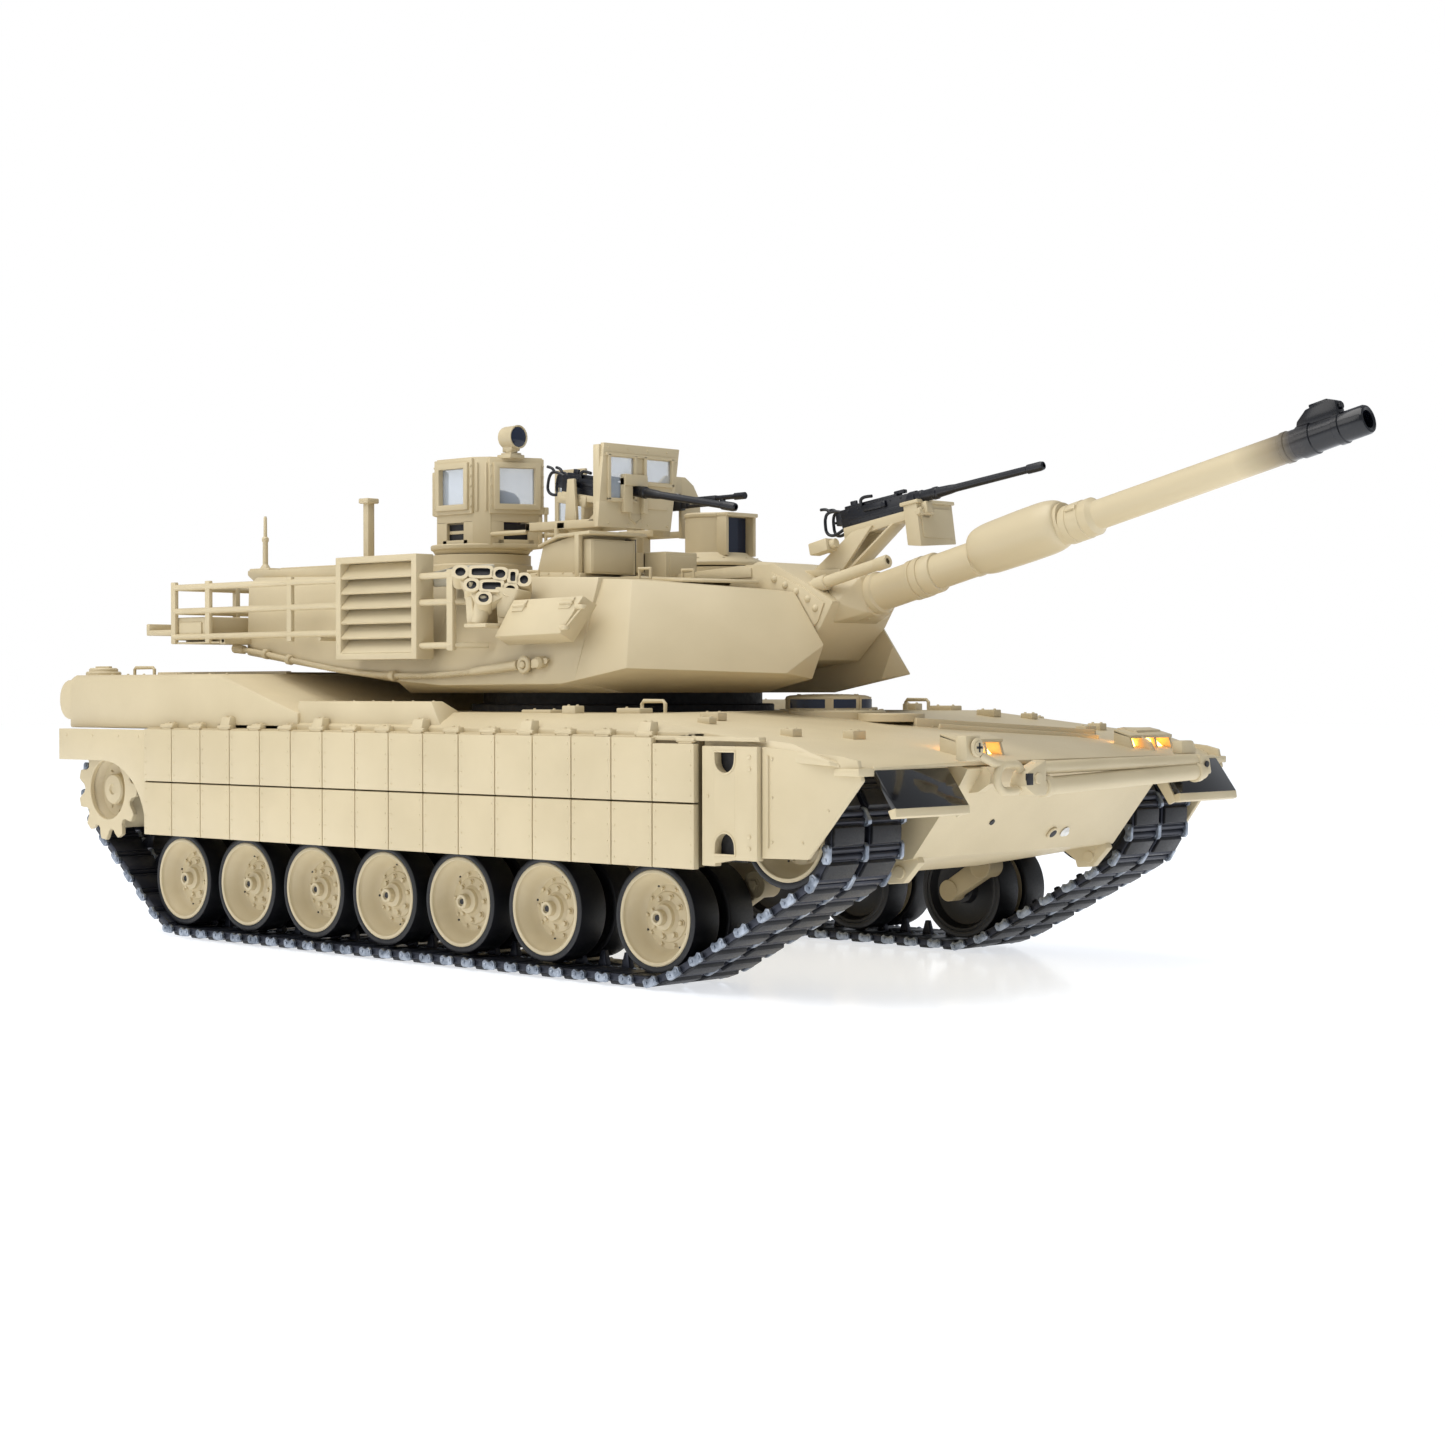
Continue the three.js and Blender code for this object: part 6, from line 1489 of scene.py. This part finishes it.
def add_mantlet_gun():
    gun = HEAVY_GUN
    cradle = [
        hull([(9.6, -3.6, -9.6), (48, -3.6, -7.4), (48, -3.6, -4.2), (9.6, -3.6, -5.0), (9.6, -2.5, -9.6),
              (48, -2.5, -7.4), (48, -2.5, -4.2), (9.6, -2.5, -5.0)], 1, 0.25),
        block(9.6, 47, -2.6, 2.6, -8.4, -5.0, 1, 0.3),
        rod((47, -4.6, -6), (47, 4.6, -6), 1.2, 16, 1),
        block(44, 49.4, -1.8, 1.8, -6.6, -2.2, 1, 0.3),
    ]
    cradle.append(cradle[0].mirrored())
    can = [
        hull([(40, -4, -17.5), (46.5, -4, -19), (40, 17.6, -16.5), (46.5, 17.6, -17.5), (40, -4, -2.4),
              (46.5, -4, -2.6), (40, 17.6, -2), (46.5, 17.6, -2)], 1, 0.35),
        block(38.8, 47.4, -4.6, 18.2, -2.6, -1.2, 1, 0.3),
        block(46.2, 47.0, -2, 15.6, -15.6, -4.4, 1, 0.2),
        block(39.6, 41, 3, 10, -1.6, 0.4, 1, 0.25),
    ]
    lay = join(gun, cradle, can).turned("Y", -8.5).at(134.6, 0, 171.6)
    foot = [
        hull([(130, s * 5 - 0.8, 151), (130, s * 5 + 0.8, 151), (143, s * 5 - 0.8, 148),
              (143, s * 5 + 0.8, 148), (150, s * 4 - 0.8, 166.4), (150, s * 4 + 0.8, 166.4),
              (160, s * 4 - 0.8, 168.4), (160, s * 4 + 0.8, 168.4)], 1, 0.3) for s in (-1, 1)
    ]
    foot.append(hull([(143, -4.4, 149), (143, 4.4, 149), (145, -4.4, 149), (145, 4.4, 149), (168, -4, 168.4),
                      (168, 4, 168.4), (170, -4, 168.8), (170, 4, 168.8)], 1, 0.4))
    foot.append(block(128, 146, -7, 7, 149.6, 152.4, 1, 0.5))
    foot.append(hull([(136, -13, 157.4), (145, -13, 159.4), (136, -7, 157.4), (145, -7, 159.4),
                      (135, -13, 162), (144, -13, 164), (135, -7, 162), (144, -7, 164)], 1, 0.5))
    foot.append(rod((140, -7.4, 160), (140, -3, 160), 1.5, 14, 1))
    foot.append(rod((144.6, -10, 161.6), (147, -10, 162.2), 1.8, 18, 1))
    make("mantlet_machine_gun", join(lay, foot), "gun_cradle", [BLACK, SAND], ["mantlet_gun"],
         32)


add_mantlet()
add_barrel()
add_mantlet_gun()

# ---------------------------------------------------------------- commander's station
LAMP_AT = (CUPOLA[0] + 23, CUPOLA[1] - 4, 210.4)
SHIELD_PLAN = ((27.6, 9), (17.9, -11.7), (12.1, -15.4), (-10.9, -15.4), (-19, -4))


class Wall:
    """Upright plane between two plan points; t runs along it, d outwards, z up."""

    def __init__(self, a, b):
        self.a = Vector((CUPOLA[0] + a[0], CUPOLA[1] + a[1], 0))
        self.b = Vector((CUPOLA[0] + b[0], CUPOLA[1] + b[1], 0))
        self.run = self.b - self.a
        self.length = self.run.length
        self.run.normalize()
        self.out = Vector((-self.run.y, self.run.x, 0))
        centre = Vector((CUPOLA[0], CUPOLA[1], 0))
        if (self.a + self.b - 2 * centre).dot(self.out) < 0:
            self.out = -self.out

    def spot(self, t, d, z):
        p = self.a + self.run * t + self.out * d
        return (p.x, p.y, z)

    def slab(self, t0, t1, d0, d1, z0, z1, mat=0, bevel=0.25):
        points = [self.spot(t, d, z) for t in (t0, t1) for d in (d0, d1) for z in (z0, z1)]
        return hull(points, mat, bevel)


def framed_window(wall, t0, t1, z0, z1, edge=3.0):
    """Raised frame of two steps round a pane, with bolts."""
    out = []
    for d0, d1, grow in ((-0.6, 1.2, 1.0), (1.0, 2.4, -0.6)):
        outer = (t0 - edge - grow, t1 + edge + grow, z0 - edge - grow, z1 + edge + grow)
        out.append(rect_frame(wall.spot, outer, (t0, t1, z0, z1), d0, d1))
    for k in range(5):
        f = k / 4
        for t in (t0 - edge - 0.5, t1 + edge + 0.5):
            c = wall.spot(t, 1.2, z0 - 1 + (z1 - z0 + 2) * f)
            tip = wall.spot(t, 1.7, z0 - 1 + (z1 - z0 + 2) * f)
            out.append(rod(c, tip, 0.45, 10, 0, bevel=0.1))
    return out


def add_cupola():
    cx, cy = CUPOLA
    shapes = [
        lathe([(16.8, 162.7), (19.4, 162.7), (19.8, 163.1), (20.4, 164.2), (21.2, 164.6), (21.4, 165),
               (21.4, 166.2), (21.0, 166.6), (18, 166.8), (16.8, 166.8), (16.8, 162.7)], 72, 0).at(cx, cy, 0),
    ]
    top, low = 202.4, 166
    panes = []
    for k in range(len(SHIELD_PLAN) - 1):
        wall = Wall(SHIELD_PLAN[k], SHIELD_PLAN[k + 1])
        n = wall.length
        if k in (0, 2):
            t0, t1 = n / 2 - 7.7, n / 2 + 7.7
            z0, z1 = 183, 197.8
            shapes += [wall.slab(0, n, -1.8, 0, low + 9.6, z0 - 0.5, 0, 0.15),
                       wall.slab(0, n, -1.8, 0, z1, top, 0, 0.3),
                       wall.slab(0, t0, -1.8, 0, z0 - 1, z1 + 1, 0, 0.1),
                       wall.slab(t1, n, -1.8, 0, z0 - 1, z1 + 1, 0, 0.1)]
            shapes += [wall.slab(0, t0 + 2.4, -1.8, 0, low, low + 10, 0, 0.1),
                       wall.slab(t1 - 2.4, n, -1.8, 0, low, low + 10, 0, 0.1),
                       wall.slab(t0, t1, -1.8, 0, low, low + 2.4, 0, 0.1)]
            # Dark slab set back under the window: painted shade in the slit.
            shapes.append(wall.slab(t0 + 2, t1 - 2, -3.0, -2.0, low + 2, low + 9, 1, 0.1))
            shapes.append(wall.slab(t0 + 2, t1 - 2, -2.6, -1.6, low + 5.0, low + 6.4, 0, 0.15))
            shapes += framed_window(wall, t0, t1, z0, z1)
            panes.append(wall.slab(t0 - 0.2, t1 + 0.2, -0.9, -0.1, z0 - 0.2, z1 + 0.2, 0, 0))
        elif k == 3:
            shapes.append(wall.slab(0, n, -1.8, 0, low, top - 4, 0, 0.3))
            shapes.append(wall.slab(1.6, n - 1.4, 0, 2.4, 179, top - 5, 0, 0.5))
        else:
            shapes.append(wall.slab(-0.6, n + 0.6, -1.8, 0, low, top, 0, 0.4))
            shapes.append(wall.slab(1.0, 2.0, 0, 0.7, 180, 200, 0, 0.2))
            shapes.append(wall.slab(n - 2.0, n - 1.0, 0, 0.7, 180, 200, 0, 0.2))
    low_plan = ((-19, -4), (-19, 6), (-10, 17.4), (8, 17.4), (27.6, 9))
    for a, b in zip(low_plan, low_plan[1:]):
        wall = Wall(a, b)
        shapes.append(wall.slab(-0.4, wall.length + 0.4, -1.8, 0, low, 178, 0, 0.35))
        # Dark slab set back in each lower wall: painted shade in the slit.
        shapes.append(wall.slab(1.2, wall.length - 1.2, -2.6, -1.6, low + 2.4, low + 8, 1, 0.1))
    shapes.append(prism([(cx + 19, cy - 11), (cx + 28, cy + 9), (cx + 17, cy + 13), (cx + 15, cy)], 164.8,
                        166.8, "z",
                        0, 0.3))
    lx, ly, _ = LAMP_AT
    shapes += [block(lx - 4.6, lx + 3.6, ly - 4, ly + 4, 201.6, 203.2, 0, 0.3),
               block(lx - 3.4, lx + 2.8, ly - 3, ly + 3, 202.8, 204.0, 0, 0.3)]
    for k in (-1, 1):
        shapes.append(rod((cx + 17, cy + k * 10.6, 170.4), (cx + 39.2, cy + k * 10.6, 170.4), 1.0, 14, 0))
    wall = Wall(SHIELD_PLAN[0], SHIELD_PLAN[1])
    post = [wall.spot(-1.4, 0.2, 166.6), wall.spot(-1.4, 0.2, 181)]
    shapes.append(rod(post[0], post[1], 0.7, 12, 0))
    shapes.append(rod(wall.spot(-1.4, 0.2, 179), wall.spot(-1.4, 0.2, 182), 1.2, 14, 0))
    make("cupola_armour", shapes, "cupola", [SAND, HOLE_SHADE], ["cupola_shield"], 30)
    make("cupola_glass", panes, "cupola", [GLASS], (), 30)


def add_gun_shield():
    y = CUPOLA[1]
    x0, x1 = CUPOLA[0] + 89, CUPOLA[0] + 91

    def side_y(z, s):
        f = (z - 170) / 33
        return y + (-21 + 3.6 * f if s < 0 else 20 + 5.2 * f)

    def panel(ya0, ya1, yb0, yb1, za, zb, bevel=0.2, xa=x0, xb=x1, mat=0):
        """Corners (ya0, ya1) at height za and (yb0, yb1) at height zb."""
        points = []
        for x in (xa, xb):
            points += [(x, ya0, za), (x, ya1, za), (x, yb0, zb), (x, yb1, zb)]
        return hull(points, mat, bevel)

    w = {"a0": y - 15, "a1": y - 0.4, "b0": y + 5, "b1": y + 20.6}
    z_low, z_high, slot_top = 188.6, 197.8, 190
    shapes = [
        panel(side_y(197.8, -1), side_y(197.8, 1), side_y(203, -1), side_y(203, 1), 197.8, 203),
        panel(side_y(180, -1), w["a0"], side_y(197.8, -1), w["a0"], 180, 197.8, 0.05),
        panel(w["a1"], w["b0"], w["a1"], w["b0"], slot_top, 197.8, 0.05),
        panel(w["b1"], side_y(180, 1), w["b1"], side_y(197.8, 1), 180, 197.8, 0.05),
        panel(side_y(170, -1), y - 3.4, side_y(180, -1), y - 3.4, 170, 180, 0.05),
        panel(y + 3.4, side_y(170, 1), y + 3.4, side_y(180, 1), 170, 180, 0.05),
        panel(w["a0"], y - 3.4, w["a0"], y - 3.4, 180, 181.6, 0.05),
        panel(y + 3.4, w["b1"], y + 3.4, w["b1"], 180, z_low + 0.4, 0.05),
        panel(y - 3.4, w["b0"], y - 3.4, w["b0"], 188.8, 191.2, 0.05),
        panel(y - 3.4, y + 3.4, y - 3.4, y + 3.4, 170, 175.6, 0.1),
        panel(y - 3.5, y + 3.5, y - 3.5, y + 3.5, 175, 183.6, 0, x0 + 0.3, x1 - 0.4),
        block(x0 - 3, x0 + 0.4, side_y(186, -1) + 0.6, side_y(186, -1) + 2.2, 171, 202.4, 0, 0.3),
    ]
    shapes.append(panel(y - 16.6, y + 22.4, y - 16.6, y + 22.4, 198.0, 199.2, 0.2, x1 - 0.4, x1 + 0.9))
    for ya, yb, za, zb in ((w["a0"], w["a1"], 181.6, z_high), (w["b0"], w["b1"], z_low, z_high)):
        for s, edge in ((-1, ya), (1, yb)):
            shapes.append(block(x1 - 0.3, x1 + 0.9, edge - 0.7, edge + 0.7, za - 1, zb + 1, 0, 0.2))
        shapes.append(block(x1 - 0.3, x1 + 0.9, ya - 0.7, yb + 0.7, za - 1.4, za, 0, 0.2))
    shapes += [
        block(x1 - 0.6, x1 + 2.4, y - 8, y + 4.6, 186.6, 191.2, 0, 0.4),
        block(x1 - 0.6, x1 + 2.0, y - 8, y - 3.2, 176, 190, 0, 0.4),
        block(x1 - 0.6, x1 + 2.0, y + 2.8, y + 5.2, 176, 190, 0, 0.4),
        pipe([(x1 + 0.2, y - 3.4, 180), (x1 + 0.2, y - 3.2, 174), (x1 + 0.2, y, 172),
              (x1 + 0.2, y + 3.2, 174), (x1 + 0.2, y + 3.4, 180)], 0.35, 8, 0),
        block(x1 - 0.3, x1 + 0.4, y + 6, y + 18, 178, 184.6, 0, 0.25),
    ]
    for dz in (171.6, 201.2):
        for k in range(4):
            shapes.append(to_x(dome_bolt(0.5, 0.4)).at(x1, y - 15 + 11 * k, dz))
    for s, y0, y1 in ((-1, -11.5, -9.7), (1, 9.7, 11.5)):
        shapes.append(block(CUPOLA[0] + 39.4, x0 + 1, y + y0, y + y1, 170.6, 174, 0, 0.3))
        shapes.append(hull([(x0 - 14, y + y0, 173), (x0 + 0.4, y + y0, 173), (x0 + 0.4, y + y0, 184),
                            (x0 - 14, y + y1, 173), (x0 + 0.4, y + y1, 173), (x0 + 0.4, y + y1, 184)], 0,
                           0.3))
        shapes.append(rod((CUPOLA[0] + 57, y + y0 * 0.9, 166.8), (CUPOLA[0] + 57, y + y0 * 0.9, 171), 1.4, 16,
                          0))
    shapes.append(block(CUPOLA[0] + 39.4, CUPOLA[0] + 42, y - 11.5, y + 11.5, 170.6, 174, 0, 0.3))
    tx = CUPOLA[0] + 60
    shapes.append(block(tx - 2.4, tx + 2.4, y - 11.5, y + 11.5, 170.6, 173.6, 0, 0.4))
    for dy in (-6, 4.4):
        shapes.append(hull([(tx - 3.6, y + dy, 173), (tx + 3.6, y + dy, 173), (tx - 2, y + dy, 191.2),
                            (tx + 2, y + dy, 191.2), (tx - 3.6, y + dy + 1.6, 173),
                            (tx + 3.6, y + dy + 1.6, 173), (tx - 2, y + dy + 1.6, 191.2),
                            (tx + 2, y + dy + 1.6, 191.2)], 0, 0.4))
    make("gun_shield_plate", shapes, "cupola", [SAND], ["commander_gun_shield"], 30)
    panes = [block(x0 + 0.6, x0 + 1.2, y - 15.1, y - 0.3, 181.4, 198, 0, 0),
             block(x0 + 0.6, x0 + 1.2, y + 4.9, y + 20.7, 188.4, 198, 0, 0)]
    make("gun_shield_glass", panes, "cupola", [GLASS], (), 30)


def add_commander_gun():
    gun = join(HEAVY_GUN, block(7, 24, -3.4, 3.4, -9.4, -5.0, 1, 0.5),
               block(9, 22, -3.6, 3.6, -8.6, -6.6, 1, 0.3),
               block(9, 34, -2.9, 2.9, -7.2, -4.6, 1, 0.3))
    gun = gun.turned("Y", 9.5).at(CUPOLA[0] + 43.6, CUPOLA[1], 192.8)
    x, z = CUPOLA[0] + 60, 189.2
    pin = rod((x, CUPOLA[1] - 4.2, z), (x, CUPOLA[1] + 4.2, z), 1.5, 18, 0)
    make("roof_machine_gun", join(gun, pin), "commander_gun", [BLACK, SAND], ["commander_gun"],
         32)


def add_spotlight():
    x, y, z = LAMP_AT
    body = lathe([(0, -4.6), (3.2, -4.6), (3.6, -4.2), (4.4, -3.6), (4.6, -2.8), (4.7, 3.2), (4.85, 3.5),
                  (4.85, 4.4), (4.5, 4.5), (4.2, 4.1), (0, 4.1)], 48, 0)
    glass_face = lathe([(0, 4.0), (4.15, 4.0), (4.1, 4.2), (2.4, 4.6), (0, 4.75)], 48, 1)
    shapes = [to_x(join(body, glass_face)).at(x, y, z),
              block(x - 2.6, x + 2.6, y - 2.4, y + 2.4, z - 5.6, z - 3.6, 0, 0.4),
              disc(2.5, z - 6.3, z - 5.0, 24, 0, 0.3).at(x, y, 0),
              block(x - 4.2, x - 1.8, y - 1.4, y + 1.4, z - 6.0, z - 4.0, 0, 0.3)]
    make("search_lamp", shapes, "spotlight", [SAND, LENS], ["spotlight"], 30)


def hatch_lid(name, centre, r, z, node):
    x, y = centre
    shapes = [
        lathe([(0, z), (r - 0.2, z), (r, z + 0.3), (r, z + 1.4), (r * 0.93, z + 2.1), (r * 0.7, z + 3.6),
               (r * 0.4, z + 4.2), (0, z + 4.4)], 48, 0).at(x, y, 0),
        block(x - r - 0.5, x - r + 3, y - 3.5, y + 3.5, z + 0.3, z + 1.9, 0, 0.3),
        pipe([(x + r * 0.5, y - 2.5, z + 3.6), (x + r * 0.5, y - 2.5, z + 5.6),
              (x + r * 0.5, y + 2.5, z + 5.6), (x + r * 0.5, y + 2.5, z + 3.6)], 0.45, 8, 0),
    ]
    make(name, shapes, node, [SAND, MAROON], [node], 30)


def add_roof():
    dome = lathe([(0, 165), (11.4, 165), (11.4, 184), (10.8, 186.6), (8.8, 188.6), (5, 189.8), (0, 190.2)],
                 40, 1)
    make("cupola_dome", dome.at(CUPOLA[0] + 4, CUPOLA[1] + 3, 0), "cupola", [SAND, MAROON], (),
         30)
    hatch_lid("commander_lid", CUPOLA, 12.9, 163.6, "commander_hatch")
    hatch_lid("loader_lid", LOADER, 12.2, 156.4, "loader_hatch")
    lx, ly = LOADER
    shapes = [ring(13.6, 17, 156.4, 159.4, 56, 0, 0.3).at(lx, ly, 0)]
    for dy in (-3.6, 2.0):
        shapes.append(block(lx + 15.6, lx + 20, ly + dy, ly + dy + 1.6, 157, 180, 0, 0.4))
    shapes.append(block(lx + 15.6, lx + 20, ly - 3.6, ly + 3.6, 157, 165.6, 0, 0.4))
    for k in (-1, 1):
        shapes.append(block(lx + 15.6, lx + 42, ly + k * 8 - 0.8, ly + k * 8 + 0.8, 171.6, 174.4, 0, 0.3))
        shapes.append(block(lx + 15.8, lx + 18, min(ly + k * 2.2, ly + k * 8.8),
                            max(ly + k * 2.2, ly + k * 8.8),
                            163, 174.4, 0, 0.3))
    half_a = [(ly - 3.4, 171), (ly - 14, 171), (ly - 14, 186), (ly - 11, 193), (ly - 6, 197.2),
              (ly - 3.4, 197.2)]
    half_b = [(ly + 3.4, 171), (ly + 14, 171), (ly + 15.6, 180), (ly + 15, 188), (ly + 11, 194),
              (ly + 6, 197.2), (ly + 3.4, 197.2)]
    for half in (half_a, half_b):
        shapes.append(prism(half, lx + 40, lx + 41.8, "x", 0, 0.3))
    shapes.append(block(lx + 40, lx + 41.8, ly - 3.6, ly + 3.6, 190, 197.2, 0, 0.3))
    x0, x1, y0 = lx - 15, lx + 4, ly - 17.5
    shapes.append(rect_frame(lambda u, d, v: (u, d, v), (x0, x1, 170, 202), (x0 + 2.4, x1 - 2.4, 176, 198.6),
                             y0, y0 + 1.6, 0, 0.3))
    shapes.append(block(x0 - 1, x1 + 8, y0 - 1.4, y0 + 3, 168.6, 171, 0, 0.4))
    for x in (x0 + 4, x1 - 4):
        shapes.append(block(x - 1.2, x + 1.2, y0 - 0.4, y0 + 2.2, 158, 169.4, 0, 0.3))
    shapes.append(block(x1 + 5, x1 + 7.4, y0, y0 + 1.6, 170, 196, 0, 0.3))
    pane = block(x0 + 2.2, x1 - 2.2, y0 + 0.6, y0 + 1.1, 175.8, 198.8, 0, 0)
    make("loader_side_glass", pane, "loader_ring", [GLASS], (), 30)
    make("loader_shield_ring", shapes, "loader_ring", [SAND], ["loader_ring"], 30)
    gun = [
        block(-8, 24, -1.6, 1.6, -3.4, 2.2, 0, 0.3), block(-4, 20, -1.3, 1.3, 2.0, 3.0, 0, 0.3),
        hull([(-18, -1.1, -3.4), (-18, 1.1, -3.4), (-7, -1.1, -2.6), (-7, 1.1, -2.6), (-18, -1.1, 0.4),
              (-18, 1.1, 0.4), (-7, -1.1, 0.8), (-7, 1.1, 0.8)], 0, 0.4),
        hull([(-6, -1, -8), (-3.6, -1, -8), (-5.6, -1, -3), (-2.8, -1, -3), (-6, 1, -8), (-3.6, 1, -8),
              (-5.6, 1, -3), (-2.8, 1, -3)], 0, 0.3),
        rod((23, 0, 0.4), (58, 0, 0.4), 1.05, 18, 0), rod((54, 0, 0.4), (60, 0, 0.4), 1.5, 18, 0),
        rod((26, 0, -2), (48, 0, -2), 0.8, 14, 0), block(23, 27, -1.2, 1.2, -2.8, 1, 0, 0.3),
        block(46, 48, -0.9, 0.9, -2.6, 0.6, 0, 0.2), block(30, 44, -1.3, 1.3, -1.0, 1.6, 0, 0.4),
    ]
    make("loader_machine_gun", join(gun).turned("Y", -1).at(lx + 22, ly, 185.6), "loader_gun",
         [BLACK], ["loader_gun"], 32)


add_cupola()
add_gun_shield()
add_commander_gun()
add_spotlight()
add_roof()

for node_name, material in (("lower_hull", SAND), ("gearbox_right", STEEL), ("gearbox_left", STEEL),
                            ("battery_pack", BATTERY)):
    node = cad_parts[node_name]
    node.data.materials.clear()
    node.data.materials.append(material)
    add_bevel(node, 0.4)
